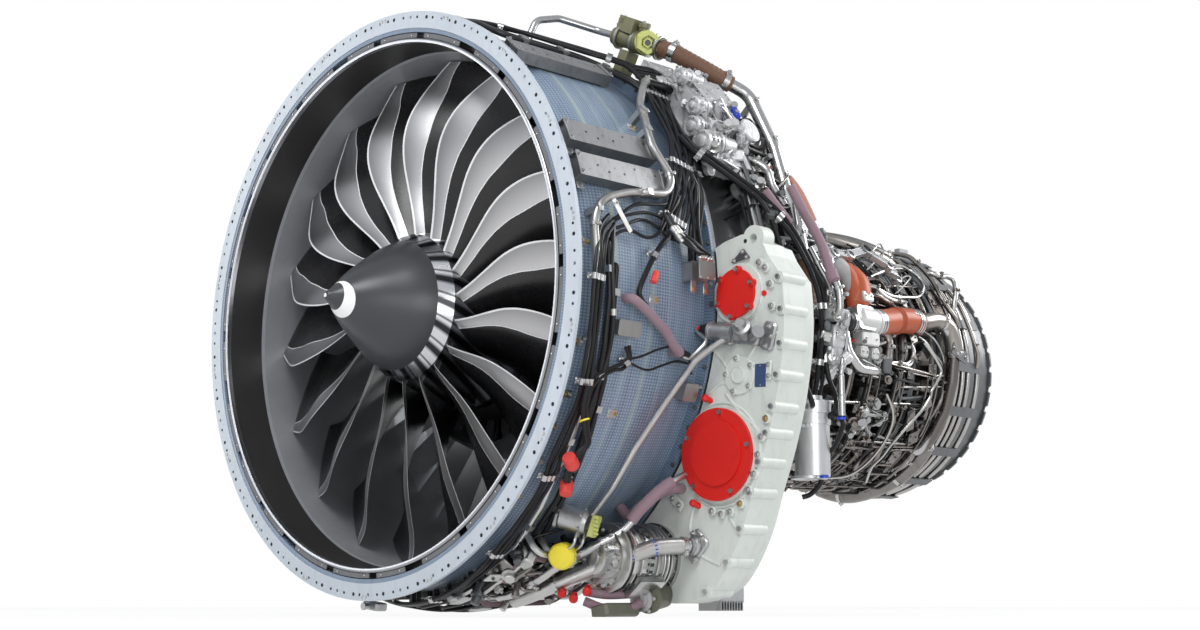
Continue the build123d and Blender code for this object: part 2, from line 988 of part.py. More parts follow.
# Finned oil cooler under the lower end
with BuildPart() as oil_cooler:
    block(Plane(origin=(880, gearbox_rear + 75, -1120), x_dir=(0, 1, 0), z_dir=(0, 0, 1)), 150, 96, 88)
    for fin in range(9):
        station = gearbox_rear + 15 + fin * 15
        block(Plane(origin=(880, station, -1150), x_dir=(0, 1, 0), z_dir=(0, 0, 1)), 4, 110, 36)

# Lubrication unit: a casting behind the upper gearbox with two turned ports
with BuildPart() as lubrication_unit:
    aft = Plane(origin=(1150, gearbox_rear, -150), x_dir=(1, 0, 0), z_dir=(0, 1, 0))
    with BuildSketch(aft) as unit_outline:
        RectangleRounded(110, 250, 26)
    extrude(unit_outline.sketch, amount=150)
    for height in (60, -60):
        port = Plane(origin=(1150, gearbox_rear + 149, -150 + height), x_dir=(1, 0, 0), z_dir=(0, 1, 0))
        stepped(port, (34, 16), (24, 26))
    side_port = Plane(origin=(1204, gearbox_rear + 60, -190), x_dir=(0, 1, 0), z_dir=(1, 0, -0.35))
    stepped(side_port, (30, 20), (24, 60))

# Fuel filter bowl, hanging behind the gearbox
filter_centre = (1205, 1110)
filter_radius = 65
with BuildPart() as fuel_filter:
    stepped(
        Plane(origin=(*filter_centre, -672), x_dir=(1, 0, 0), z_dir=(0, 0, 1)),
        (filter_radius - 10, 10),
        (filter_radius, 190),
        (filter_radius + 5, 16),
        (filter_radius, 24),
        (filter_radius + 6, 44),
        (40, 22),
    )
    bracket_plane = Plane(origin=(filter_centre[0], gearbox_rear, -410), x_dir=(1, 0, 0), z_dir=(0, 1, 0))
    block(bracket_plane, 70, 36, filter_centre[1] - gearbox_rear - 50)

# Fuel control unit on the fan frame: a cast body with its turned valves and top plate
unit_angle = 40
unit_station = 860
with BuildPart() as fuel_control_unit:
    base = radial_plane(frame_rib_radius + seat_gap, unit_angle, unit_station)
    with BuildSketch(base) as unit_base:
        RectangleRounded(270, 250, 30)
    extrude(unit_base.sketch, amount=40)
    with BuildSketch(base.offset(38)) as unit_body:
        RectangleRounded(240, 200, 40)
    extrude(unit_body.sketch, amount=110)
    with BuildSketch(base.offset(146)) as unit_plate:
        RectangleRounded(150, 150, 20)
    extrude(unit_plate.sketch, amount=16)
    for radius, angle, station, size, length in (
        (1165, 33, 790, 40, 90),
        (1180, 28.5, 800, 44, 110),
        (1215, 36, 782, 34, 80),
        (1240, 43, 778, 30, 70),
        (1150, 46, 780, 36, 90),
    ):
        front = front_plane(station, *at(radius, angle, station)[::2])
        stepped(front.offset(-60), (size - 6, 70), (size, 14), (size - 8, length - 40))
    for angle in (28, 34, 46, 52):
        block(radial_plane(1102, angle, unit_station), 160, 150, 78)

# Anti-ice valve on top of the fan frame, with its bracket
valve_start = Vector(520, 770, 1105)
valve_axis = Vector(0.25, 0.06, -0.11).normalized()
valve_steps = ((34, 20), (44, 16), (36, 60), (46, 70), (36, 50), (44, 14))
valve_end = valve_start + valve_axis * (sum(height for _, height in valve_steps) + seat_gap)
with BuildPart() as anti_ice_valve:
    stepped(Plane(origin=valve_start, x_dir=(0, 1, 0), z_dir=valve_axis), *valve_steps)
    block(Plane(origin=(590, 785, 1100), x_dir=(0, 1, 0), z_dir=(0.45, 0, 0.9)), 80, 90, 60)
    block(radial_plane(frame_radius + seat_gap, 60.5, 790), 60, 50, 130)

# Bleed duct round the frame: brown wrapped ends and a bare steel middle
duct_top = (tuple(valve_end), tuple(valve_end + valve_axis * 60), (852, 940, 925), (893, 1035, 880))
duct_middle = (
    (893, 1035, 880),
    (923.75, 1106.25, 846.25),
    (1043, 1112, 610),
    (1100, 1110, 435),
    (1138, 1130, 290),
    (1152, 1140, 190),
)
duct_foot_angle = -6.5
duct_bottom = (
    (1152, 1140, 190),
    (1163.2, 1148, 110),
    (1166, 1150, 10),
    at(1160, duct_foot_angle, 1144),
    at(frame_radius + seat_gap, duct_foot_angle, 1144),
)
core_valve_angle = 9
core_valve_half = 55
orange_end = at(648, 12.5, 2520)
orange_run = (at(640, 9.5, 2262 + seat_gap), at(640, 9.5, 2310), at(648, 12.5, 2480), orange_end)
elbow = (
    at(418, 33, 2076),
    at(676, 33, 2076),
    at(676, 27, 2140),
    beside(650, core_valve_angle, 2160, core_valve_half + 75),
    beside(650, core_valve_angle, 2160, core_valve_half + seat_gap),
)
with BuildPart() as duct_sleeves:
    tube(duct_top, 33, 160)
    tube(duct_bottom, 32, 160)
    tube(orange_run, 46, 200)
    tube(elbow, 40, 60)

# Rails that carry the fan cowl seals: folded channels with feet
rail_places = ((25.6, 34, 462), (18.6, 40, 466), (49, 30, 500))
rail_width = 92
rail_height = 44
rail_sheet = 4
with BuildPart() as case_rails:
    for angle, start, end in rail_places:
        low = case_thick_radius + 6
        high = low + rail_height
        half = rail_width / 2
        with BuildSketch(section_plane(angle, start)) as channel:
            with BuildLine():
                Polyline(
                    (low, -half),
                    (high, -half),
                    (high, half),
                    (low, half),
                    (low, half - rail_sheet),
                    (high - rail_sheet, half - rail_sheet),
                    (high - rail_sheet, rail_sheet - half),
                    (low, rail_sheet - half),
                    close=True,
                )
            make_face()
        extrude(channel.sketch, amount=end - start)
        for station in (start + 28, end - 20):
            foot = max(case_radius(station - 12), case_radius(station + 12)) + seat_gap
            block(radial_plane(foot, angle, station), 24, rail_width - 8, high - foot - 1)

# Small bore steel tubes on the case
pipe_front = (
    at(1156, 46, 706 - seat_gap),
    at(1158, 46, 650),
    at(1158, 43, 590),
    at(1138, 37, 505),
    at(1152, 33, 470),
    at(1152, 25.5, 428),
    at(1152, 19, 486),
    at(1150, 15.4, 440),
    at(1140, 14.4, 245),
    at(1128, 12.2, 120),
    at(1112, 8.6, 84),
    at(1106, 0, 92),
    at(1104, -8, 100),
    at(1104, -17, 106),
    at(1104, -27, 120),
    at(1104, -36, 126),
    at(1104, -46, 152),
    at(1108, -56, 180),
    at(1108, -66, 200),
    at(1108, -70, 206),
    at(case_thick_radius + seat_gap, -70, 206),
)
# Air and drain tubes over the core: angle, turn, height, start and end
core_tube_radius = 9
core_tubes = (
    (50, 4, 560, 1990, 2690),
    (63, -5, 540, 2010, 2720),
    (78, 7, 575, 2040, 2590),
    (104, 5, 545, 1990, 2700),
    (121, -6, 570, 2020, 2590),
    (139, 8, 540, 1990, 2720),
    (162, 6, 565, 2040, 2600),
    (187, -7, 545, 2000, 2700),
    (209, 5, 570, 2030, 2600),
    (231, 7, 540, 1990, 2690),
    (252, -6, 570, 2010, 2600),
    (274, 8, 545, 1990, 2720),
    (297, -5, 565, 2030, 2690),
    (316, 5, 560, 2000, 2590),
    (334, 4, 585, 2040, 2700),
)
with BuildPart() as case_tubes:
    tube(pipe_front, 11, 60)
    for angle, turn, height, start, end in core_tubes:
        first_seat = core_radius(start + core_tube_radius) + seat_gap
        last_seat = core_radius(end + core_tube_radius) + seat_gap
        tube(
            (
                at(first_seat, angle, start),
                at(height, angle, start),
                at(height, angle + turn, end),
                at(last_seat, angle + turn, end),
            ),
            core_tube_radius,
            60,
        )
    tube(
        (
            tuple(valve_start - valve_axis * seat_gap),
            tuple(valve_start - valve_axis * 90),
            (365, 610, 1175),
            (340, 510, 1150),
            at(1135, 73, 484),
            at(case_thick_radius + seat_gap, 73, 484),
        ),
        14,
        50,
    )

# Flexible hoses on the fan case and gearbox
case_seat = case_thick_radius + seat_gap
with BuildPart() as flexible_hoses:
    tube(
        (
            at(1200, -9, gearbox_front - seat_gap),
            at(1200, -9, 668),
            at(1160, -11, 640),
            at(1130, -14, 590),
            at(1122, -22, 500),
            at(1122, -31, 430),
            at(1124, -40, 410),
            at(1120, -48, 400),
            at(case_seat, -48, 400),
        ),
        12,
        120,
    )
with BuildPart() as sleeved_hoses:
    tube(
        (
            at(case_seat, -4.6, 255),
            at(1120, -4.6, 255),
            at(1118, -6.4, 330),
            at(1118, -9.4, 430),
            at(1122, -12, 480),
            at(1124, -13, 522),
            at(case_seat, -13, 522),
        ),
        17,
        120,
    )
    tube(
        (
            at(1172, -37.5, gearbox_front - seat_gap),
            at(1172, -37.5, 660),
            at(1142, -40, 628),
            at(1128, -43.5, 600),
            at(1128, -46.5, 575),
            at(1071, -46.5, 575),
        ),
        19,
        120,
    )

# Wiring harness on the fan case, held by clips
box_angle = 2.4
box_half = 35
control_angle = 158
control_half = 210
filter_port = (filter_centre[0] + 46.2, filter_centre[1] - 54.3, -410)
harness_runs = (
    (
        beside(1150, control_angle, 320, -control_half - seat_gap),
        beside(1150, control_angle, 320, -control_half - 60),
        at(1128, 136, 300),
        at(1124, 118, 230),
        at(1124, 98, 160),
        at(1122, 80, 120),
        at(1112, 66, 108),
        at(1110, 57, 110),
        at(1112, 56.5, 300),
        at(1118, 54, 470),
        at(1132, 46.5, 600),
        at(1136, 38, 648),
        at(1134, 28, 650),
        at(1130, 18, 630),
        at(1112, 10, 576),
        beside(1100, box_angle, 572, box_half + 60),
        beside(1100, box_angle, 572, box_half + seat_gap),
    ),
    (
        beside(1150, control_angle, 350, -control_half - seat_gap),
        beside(1150, control_angle, 350, -control_half - 60),
        at(1128, 138, 345),
        at(1124, 119, 275),
        at(1124, 99, 205),
        at(1122, 80, 158),
        at(1112, 67, 142),
        at(1110, 59.2, 142),
        at(1112, 58.7, 305),
        at(1118, 56.3, 480),
        at(1132, 48.3, 618),
        at(1136, 38.6, 676),
        at(1134, 27, 678),
        at(1130, 17, 657),
        at(1112, 9.4, 612),
        beside(1100, box_angle, 604, box_half + 60),
        beside(1100, box_angle, 604, box_half + seat_gap),
    ),
    (
        at(case_seat, 5, 150),
        at(1106, 5, 150),
        at(1104, -5, 156),
        at(1104, -14, 160),
        at(1104, -24, 172),
        at(1104, -34, 182),
        at(1104, -44, 204),
        at(1106, -56, 230),
        at(1108, -68, 254),
        at(1108, -80, 244),
        at(1108, -84, 232),
        at(case_seat, -84, 232),
    ),
    (
        at(case_seat, 1, 186),
        at(1106, 1, 186),
        at(1104, -9, 182),
        at(1104, -20, 192),
        at(1104, -30, 206),
        at(1104, -41, 226),
        at(1106, -52, 256),
        at(1108, -64, 282),
        at(1108, -76, 280),
        at(1108, -84, 264),
        at(1108, -88, 262),
        at(case_seat, -88, 262),
    ),
    (
        beside(1145, 28, 850, -75 - seat_gap),
        beside(1145, 28, 850, -125),
        (1160, 880, 360),
        (1176, 940, 270),
        (1180, 990, 150),
        (1232, 1000, 0),
        (1240, 990, -120),
        (1252, 1000, -300),
        (1290, 1010, -410),
        filter_port,
    ),
)
with BuildPart() as fan_harness:
    for run in harness_runs:
        tube(run, 10, 160)

# Hexagon bolts of the covers and the gearbox, and the clamps that hold tubes and cables
clamp_side = 24
clamp_top = 5


def clamp(start, end, radius):
    """Adds a clamp from the case to the middle of a straight run, bored for the run."""
    middle = (Vector(*start) + Vector(*end)) * 0.5
    angle = degrees(atan2(middle.Z, middle.X))
    far = (middle.X ** 2 + middle.Z ** 2) ** 0.5
    half = clamp_side / 2
    foot = max(case_radius(middle.Y - half), case_radius(middle.Y + half)) + seat_gap
    block(radial_plane(foot, angle, middle.Y), clamp_side, clamp_side, far + radius + clamp_top - foot)
    run = Vector(*end) - Vector(*start)
    side = run.normalized() * clamp_side
    with BuildSketch(Plane(origin=middle - side, z_dir=side)) as bore:
        Circle(radius + seat_gap)
    extrude(bore.sketch, amount=2 * clamp_side, mode=Mode.SUBTRACT)


clamp_places = (
    (pipe_front, 11, (3, 4, 7, 9, 12, 14, 16)),
    (harness_runs[0], 10, (3, 5, 7, 8, 9, 12)),
    (harness_runs[1], 10, (3, 5, 7, 8, 9, 12)),
    (harness_runs[2], 10, (1, 3, 5, 8)),
    (harness_runs[3], 10, (1, 3, 5, 8)),
)
with BuildPart() as bolts_and_clamps:
    with BuildSketch(front_plane(pad_face - cover_thickness - 6, *small_cover)) as small_heads:
        with PolarLocations(small_cover_radius - 4, cover_ears, 20):
            RegularPolygon(8, 6)
    extrude(small_heads.sketch, amount=9)
    with BuildSketch(front_plane(pad_face - cover_thickness, *large_cover)) as large_heads:
        with PolarLocations(large_cover_radius - 15, 5, 10):
            RegularPolygon(9, 6)
    extrude(large_heads.sketch, amount=9)
    for point in gearbox_flank[:11]:
        x, z = inset_point(point, boss_inset)
        with BuildSketch(front_plane(gearbox_front - 8, x, z)) as head:
            RegularPolygon(10, 6)
        extrude(head.sketch, amount=9)
    for run, radius, places in clamp_places:
        for place in places:
            clamp(run[place], run[place + 1], radius)

# Connector and sensor boxes
with BuildPart() as connector_boxes:
    for angle, station, length, width, height in (
        (box_angle, 590, 80, 2 * box_half, 52),
        (-10, 262, 110, 56, 34),
        (-20, 625, 70, 66, 46),
    ):
        foot_radius = max(case_radius(station - length / 2), case_radius(station + length / 2)) + seat_gap
        with BuildSketch(radial_plane(foot_radius, angle, station)) as box:
            RectangleRounded(length, width, 8)
        extrude(box.sketch, amount=height)

# Engine control unit and oil tank on the far side
with BuildPart() as engine_control_unit:
    with BuildSketch(radial_plane(case_thick_radius + 30, control_angle, 360)) as control_box:
        RectangleRounded(330, 2 * control_half, 16)
    extrude(control_box.sketch, amount=96)
    for turn in (-1, 1):
        for station in (240, 480):
            block(radial_plane(case_seat, control_angle + turn * 7.5, station), 26, 40, 44)
tank_inner = case_thick_radius + 18
tank_depth = 150
tank_start = 250
tank_end = 640
with BuildPart() as oil_tank:
    with BuildSketch(Plane.XY) as tank_profile:
        with BuildLine():
            FilletPolyline(
                (tank_inner, tank_start),
                (tank_inner + tank_depth, tank_start),
                (tank_inner + tank_depth, tank_end),
                (tank_inner, tank_end),
                radius=34,
                close=True,
            )
        make_face()
    tank = revolve(tank_profile.sketch, axis=Axis.Y, revolution_arc=34, mode=Mode.PRIVATE)
    add(tank.rotate(Axis.Y, -216))
    block(radial_plane(tank_inner + tank_depth - 8, 208, 330), 90, 90, 26)
    for station in (330, 470):
        for angle in (190, 208):
            block(radial_plane(case_seat, angle, station), 30, 60, 40)

# Front mount: a forged yoke on top of the hub frame
mount_front = 1140
mount_length = 60
mount_foot = duct_inner_radius - hub_frame_wall
mount_top = 760
mount_pad = 30
mount_bolt_x = 160
mount_bolt_y = 88
mount_waist = 88
mount_hole = 9
with BuildPart() as front_mount:
    with BuildSketch(Plane.XZ.offset(-mount_front)) as yoke:
        with BuildLine():
            Polyline(
                (-150, mount_foot - 40),
                (150, mount_foot - 40),
                (150, 590),
                (mount_waist, 640),
                (mount_waist, mount_top - 10),
                (-mount_waist, mount_top - 10),
                (-mount_waist, 640),
                (-150, 590),
                close=True,
            )
        make_face()
        with Locations((0, 664)):
            Circle(34, mode=Mode.SUBTRACT)
    extrude(yoke.sketch, amount=-mount_length)
    with BuildSketch(Plane.XY.offset(mount_top - mount_pad)) as pad_shape:
        with Locations((0, mount_front + mount_length / 2)):
            RectangleRounded(mount_bolt_x + 60, mount_bolt_y + 50, 16)
            with GridLocations(mount_bolt_x, mount_bolt_y, 2, 2):
                Circle(mount_hole, mode=Mode.SUBTRACT)
    extrude(pad_shape.sketch, amount=mount_pad)
    turned(
        (200, mount_front - 20),
        (mount_foot, mount_front - 20),
        (mount_foot, mount_front + 100),
        (200, mount_front + 100),
        mode=Mode.SUBTRACT,
    )

# Valve of the core bleed duct, on a stub from the combustor case
with BuildPart() as core_valve:
    with BuildSketch(radial_plane(586, core_valve_angle, 2160)) as valve_foot:
        RectangleRounded(120, 2 * core_valve_half, 20)
    extrude(valve_foot.sketch, amount=110)
    stepped(Plane(origin=at(640, 9.5, 2218), x_dir=(1, 0, 0), z_dir=(0, 1, 0)), (44, 30), (54, 14))
    rod(at(423 + seat_gap, core_valve_angle, 2205), at(600, core_valve_angle, 2205), 14)

# Bare steel ducts of the fan frame and the core
with BuildPart() as bleed_ducts:
    tube(duct_middle, 25, 120)
    tube(
        (
            orange_end,
            at(648, 12.5, 2570),
            at(656, 15, 2740),
            at(664, 12, 2840),
            at(640, 2, 2888),
            at(626, -10, 2896),
            at(622, -22, 2896),
            at(622, -34, 2876),
            at(620, -44, 2850),
            at(517, -44, 2850),
        ),
        30,
        110,
    )
    tube(
        (
            at(650, 7, 2100 - seat_gap),
            at(650, 7, 2050),
            at(670, -4, 2046),
            at(690, -10, 2110),
            at(688, -10, 2220),
            at(660, -10, 2290),
            at(428, -10, 2290),
        ),
        19,
        70,
    )

# Cooling manifold: four tubes round the turbine and the plates that hold them
manifold_radius = 600
manifold_stations = (2975, 3020, 3065, 3140)
manifold_tube = 12
plate_count = 18
with BuildPart() as cooling_manifold:
    for station in manifold_stations:
        with BuildSketch(Plane.XY) as ring:
            with Locations((manifold_radius, station)):
                Circle(manifold_tube)
        revolve(ring.sketch, axis=Axis.Y)
manifold_seat = manifold_radius + manifold_tube + seat_gap
with BuildPart() as manifold_plate:
    with BuildSketch(radial_plane(manifold_seat, 0, 3058)) as plate:
        RectangleRounded(220, 46, 6)
    extrude(plate.sketch, amount=5)
    post_foot = turbine_flange_radius + seat_gap
    block(radial_plane(post_foot, 0, turbine_end), 16, 30, manifold_seat - post_foot + 1)
with BuildPart() as manifold_plates:
    add(around(manifold_plate.part, plate_count, -18))

# Variable vane control: rings, levers, actuator and rod
lever_offset = 46
boss_top = 382
lever_sheet = 5
ring_inner = boss_top + seat_gap + lever_sheet + seat_gap
with BuildPart() as vane_rings:
    for station in ring_stations:
        turned(
            (ring_inner, station - ring_width / 2),
            (ring_inner + ring_depth, station - ring_width / 2),
            (ring_inner + ring_depth, station + ring_width / 2),
            (ring_inner, station + ring_width / 2),
        )
    block(
        radial_plane(ring_inner + ring_depth - 2, actuator_angle, ring_stations[0]),
        ring_width,
        2 * lug_half,
        actuator_radius + 14 - ring_inner - ring_depth + 2,
    )
with BuildPart() as vane_levers:
    for station in ring_stations:
        lever_plane = radial_plane(boss_top + seat_gap, 0, station - lever_offset / 2)
        with BuildSketch(lever_plane) as lever_shape:
            SlotCenterToCenter(lever_offset, 14)
        lever = extrude(lever_shape.sketch, amount=lever_sheet, mode=Mode.PRIVATE)
        add(around(lever, lever_count))

# Actuator of the vanes: a fixed cylinder and the rod that pushes the first ring's lug
rod_radius = 8
rod_length = 170
rod_nose_radius = 5
rod_nose_length = 8
body_start = 96
body_length = 160
rod_travel = 18
bracket_angle = actuator_angle - 21.1
bracket_station = 1376
bracket_foot = between(bracket_station - 10, ((360, 1260), (342, 1800))) + seat_gap
tangent = Vector(sin(radians(actuator_angle)), 0, -cos(radians(actuator_angle)))
rod_line = Vector(*at(actuator_radius, actuator_angle, ring_stations[0]))


def actuator_plane(distance):
    """A plane across the rod, at a distance from the lug, that faces the cylinder's closed end."""
    return Plane(origin=rod_line + tangent * distance, x_dir=(0, 1, 0), z_dir=tangent)


with BuildPart() as vane_rod:
    disc(actuator_plane(lug_half + seat_gap), rod_nose_radius, rod_nose_length)
    rod_start = lug_half + seat_gap + rod_nose_length - 1
    disc(actuator_plane(rod_start), rod_radius, rod_length - rod_nose_length + 1)
with BuildPart() as vane_actuator:
    disc(actuator_plane(body_start), 24, body_length)
    block(radial_plane(bracket_foot, bracket_angle, bracket_station), 20, 50, 490 - bracket_foot)
    block(radial_plane(455, bracket_angle, bracket_station - 20), 60, 40, 32)
    with BuildSketch(actuator_plane(body_start - 1)) as actuator_bore:
        Circle(rod_radius + seat_gap)
    bore_depth = lug_half + rod_length + rod_travel + 8 - body_start
    extrude(actuator_bore.sketch, amount=bore_depth, mode=Mode.SUBTRACT)

# Radial shaft and the tube that guards it where it crosses the bypass duct
with BuildPart() as radial_drive_shaft:
    rod(
        at(shaft_inner_end, radial_angle, radial_station),
        at(radial_shaft_end, radial_angle, radial_station),
        radial_shaft_radius,
    )
with BuildPart() as drive_shaft_housing:
    housing_plane = radial_plane(duct_inner_radius - hub_frame_wall, radial_angle, radial_station)
    disc(housing_plane, 36, duct_outer_radius - duct_inner_radius + hub_frame_wall + 1)
    radial_bore(radial_angle, radial_station, radial_bore_radius, 500, 1020)

for piece, name in (
    (front_flange, "front_flange"),
    (fan_case, "fan_case"),
    (inlet_liner, "inlet_liner"),
    (blade_track, "blade_track"),
    (rear_liners, "rear_liners"),
    (fan_frame_ring, "fan_frame_ring"),
    (outlet_guide_vanes, "outlet_guide_vanes"),
    (splitter_fairing, "splitter_fairing"),
    (booster_case, "booster_case"),
    (fan_hub_frame, "fan_hub_frame"),
    (spinner, "spinner"),
    (blade_platforms, "blade_platforms"),
    (fan_disk, "fan_disk"),
    (fan_blades, "fan_blades"),
    (booster_rotor, "booster_rotor"),
    (lp_shaft, "lp_shaft"),
    (core_compressor_rotor, "core_compressor_rotor"),
    (core_turbine_rotor, "core_turbine_rotor"),
    (compressor_case, "compressor_case"),
    (combustor_case, "combustor_case"),
    (combustor_liner, "combustor_liner"),
    (fuel_nozzles, "fuel_nozzles"),
    (turbine_case, "turbine_case"),
    (lp_turbine_rotor, "lp_turbine_rotor"),
    (turbine_rear_frame, "turbine_rear_frame"),
    (rear_sump_cover, "rear_sump_cover"),
    (shaft_bearings, "shaft_bearings"),
    (gearbox_front_housing, "gearbox_front_housing"),
    (gearbox_rear_housing, "gearbox_rear_housing"),
    (small_gearbox_cover, "small_gearbox_cover"),
    (large_gearbox_cover, "large_gearbox_cover"),
    (bolts_and_clamps, "bolts_and_clamps"),
    (generator, "generator"),
    (starter, "starter"),
    (hydraulic_pump, "hydraulic_pump"),
    (oil_cooler, "oil_cooler"),
    (lubrication_unit, "lubrication_unit"),
    (fuel_filter, "fuel_filter"),
    (fuel_control_unit, "fuel_control_unit"),
    (anti_ice_valve, "anti_ice_valve"),
    (duct_sleeves, "duct_sleeves"),
    (case_rails, "case_rails"),
    (case_tubes, "case_tubes"),
    (flexible_hoses, "flexible_hoses"),
    (sleeved_hoses, "sleeved_hoses"),
    (fan_harness, "fan_harness"),
    (connector_boxes, "connector_boxes"),
    (engine_control_unit, "engine_control_unit"),
    (oil_tank, "oil_tank"),
    (front_mount, "front_mount"),
    (core_valve, "core_valve"),
    (bleed_ducts, "bleed_ducts"),
    (cooling_manifold, "cooling_manifold"),
    (manifold_plates, "manifold_plates"),
    (vane_rings, "vane_rings"),
    (vane_levers, "vane_levers"),
    (vane_actuator, "vane_actuator"),
    (vane_rod, "vane_rod"),
    (radial_drive_shaft, "radial_drive_shaft"),
    (drive_shaft_housing, "drive_shaft_housing"),
):
    piece.part.label = name
    export_step(piece.part, f"parts/{name}.step")
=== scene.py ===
import bpy, bmesh, math, random
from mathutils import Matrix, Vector


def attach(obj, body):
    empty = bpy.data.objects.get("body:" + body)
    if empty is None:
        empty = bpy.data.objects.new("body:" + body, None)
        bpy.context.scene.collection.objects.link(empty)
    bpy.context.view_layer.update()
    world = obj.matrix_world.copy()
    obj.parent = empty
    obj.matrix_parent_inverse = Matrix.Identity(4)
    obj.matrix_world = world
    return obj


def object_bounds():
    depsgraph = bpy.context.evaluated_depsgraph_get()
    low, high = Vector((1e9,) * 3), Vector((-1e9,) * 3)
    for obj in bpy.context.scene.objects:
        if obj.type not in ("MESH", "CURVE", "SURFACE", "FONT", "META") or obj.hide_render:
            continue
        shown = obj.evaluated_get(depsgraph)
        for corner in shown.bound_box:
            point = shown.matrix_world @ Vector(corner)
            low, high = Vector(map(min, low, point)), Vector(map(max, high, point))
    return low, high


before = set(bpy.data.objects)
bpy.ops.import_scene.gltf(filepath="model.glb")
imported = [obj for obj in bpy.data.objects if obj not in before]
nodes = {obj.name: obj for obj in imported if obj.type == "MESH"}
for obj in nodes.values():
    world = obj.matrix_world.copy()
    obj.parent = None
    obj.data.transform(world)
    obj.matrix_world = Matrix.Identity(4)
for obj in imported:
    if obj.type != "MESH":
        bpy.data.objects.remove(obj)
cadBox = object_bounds()
scene = bpy.context.scene
random.seed(7)
print("frame loaded:", len(nodes), "CAD nodes")

# Camera, light and backdrop

cameraSettings = {"place": (5.267, -4.016, -1.122), "azimuth": 45.27, "pitch": -9.28, "lens": 52.9}
# name, place, target, side and power of each area light
lightSettings = {
    "world": 0.62,
    "areas": (
        ("keyLight", (3.2, -4.5, 5.2), (0, 0.6, 0), 3.2, 300),
        ("fillLight", (6.5, -2.0, -0.2), (0.5, 0.8, 0), 3.5, 130),
        ("rimLight", (3.5, 6.5, 3.0), (0, 1.8, 0), 3, 260),
        ("leftLight", (-5.5, -4.0, 1.5), (0, 0, 0), 3.5, 130),
    ),
}
floorSettings = {"near": -14, "far": 16, "side": 14, "drop": 0.02}


def makeCamera():
    data = bpy.data.cameras.new("camera")
    data.lens = cameraSettings["lens"]
    data.sensor_width = 36
    data.clip_end = 200
    camera = bpy.data.objects.new("camera", data)
    scene.collection.objects.link(camera)
    turn = math.radians(cameraSettings["azimuth"])
    tilt = math.radians(cameraSettings["pitch"])
    back = Vector((math.sin(turn) * math.cos(tilt), -math.cos(turn) * math.cos(tilt), math.sin(tilt)))
    camera.location = cameraSettings["place"]
    camera.rotation_mode = "QUATERNION"
    camera.rotation_quaternion = (-back).to_track_quat("-Z", "Y")
    scene.camera = camera


def areaLight(name, place, target, size, power):
    data = bpy.data.lights.new(name, "AREA")
    data.shape = "RECTANGLE"
    data.size = data.size_y = size
    data.energy = power
    light = bpy.data.objects.new(name, data)
    scene.collection.objects.link(light)
    light.location = place
    light.rotation_mode = "QUATERNION"
    light.rotation_quaternion = (Vector(target) - Vector(place)).to_track_quat("-Z", "Y")


def makeStage():
    world = bpy.data.worlds.new("studio")
    scene.world = world
    world.use_nodes = True
    net = world.node_tree
    net.nodes.clear()
    out = net.nodes.new("ShaderNodeOutputWorld")
    mix = net.nodes.new("ShaderNodeMixShader")
    soft = net.nodes.new("ShaderNodeBackground")
    white = net.nodes.new("ShaderNodeBackground")
    rays = net.nodes.new("ShaderNodeLightPath")
    soft.inputs["Color"].default_value = (0.93, 0.96, 1, 1)
    soft.inputs["Strength"].default_value = lightSettings["world"]
    white.inputs["Color"].default_value = (1, 1, 1, 1)
    white.inputs["Strength"].default_value = 1
    net.links.new(rays.outputs["Is Camera Ray"], mix.inputs[0])
    net.links.new(soft.outputs[0], mix.inputs[1])
    net.links.new(white.outputs[0], mix.inputs[2])
    net.links.new(mix.outputs[0], out.inputs["Surface"])
    for light in lightSettings["areas"]:
        areaLight(*light)
    floor = bpy.data.meshes.new("floor")
    low = cadBox[0].z - floorSettings["drop"]
    near, far, side = floorSettings["near"], floorSettings["far"], floorSettings["side"]
    corners = [(-side, near, low), (side, near, low), (side, far, low), (-side, far, low)]
    floor.from_pydata(corners, [], [(0, 1, 2, 3)])
    floorObject = bpy.data.objects.new("floor", floor)
    scene.collection.objects.link(floorObject)
    floor.materials.append(floorMaterial())
    scene.view_settings.view_transform = "Standard"


def floorMaterial():
    made = bpy.data.materials.new("paleFloor")
    made.use_nodes = True
    net = made.node_tree
    shader = net.nodes["Principled BSDF"]
    shader.inputs["Base Color"].default_value = (0.86, 0.86, 0.86, 1)
    shader.inputs["Roughness"].default_value = 0.7
    glow = net.nodes.new("ShaderNodeEmission")
    glow.inputs["Strength"].default_value = 1
    rays = net.nodes.new("ShaderNodeLightPath")
    either = net.nodes.new("ShaderNodeMath")
    either.operation = "MAXIMUM"
    share = net.nodes.new("ShaderNodeMath")
    share.operation = "MULTIPLY"
    share.inputs[1].default_value = 0.92
    mix = net.nodes.new("ShaderNodeMixShader")
    net.links.new(rays.outputs["Is Camera Ray"], either.inputs[0])
    net.links.new(rays.outputs["Is Glossy Ray"], either.inputs[1])
    net.links.new(either.outputs[0], share.inputs[0])
    net.links.new(share.outputs[0], mix.inputs[0])
    net.links.new(shader.outputs[0], mix.inputs[1])
    net.links.new(glow.outputs[0], mix.inputs[2])
    net.links.new(mix.outputs[0], net.nodes["Material Output"].inputs["Surface"])
    return made


makeCamera()
makeStage()
print("camera and stage made")

# Shader node groups


def newGroup(name, inputs, outputs):
    group = bpy.data.node_groups.new(name, "ShaderNodeTree")
    for label, kind, value in inputs:
        socket = group.interface.new_socket(name=label, in_out="INPUT", socket_type=kind)
        socket.default_value = value
    for label, kind in outputs:
        group.interface.new_socket(name=label, in_out="OUTPUT", socket_type=kind)
    start = group.nodes.new("NodeGroupInput")
    end = group.nodes.new("NodeGroupOutput")
    return group, start, end


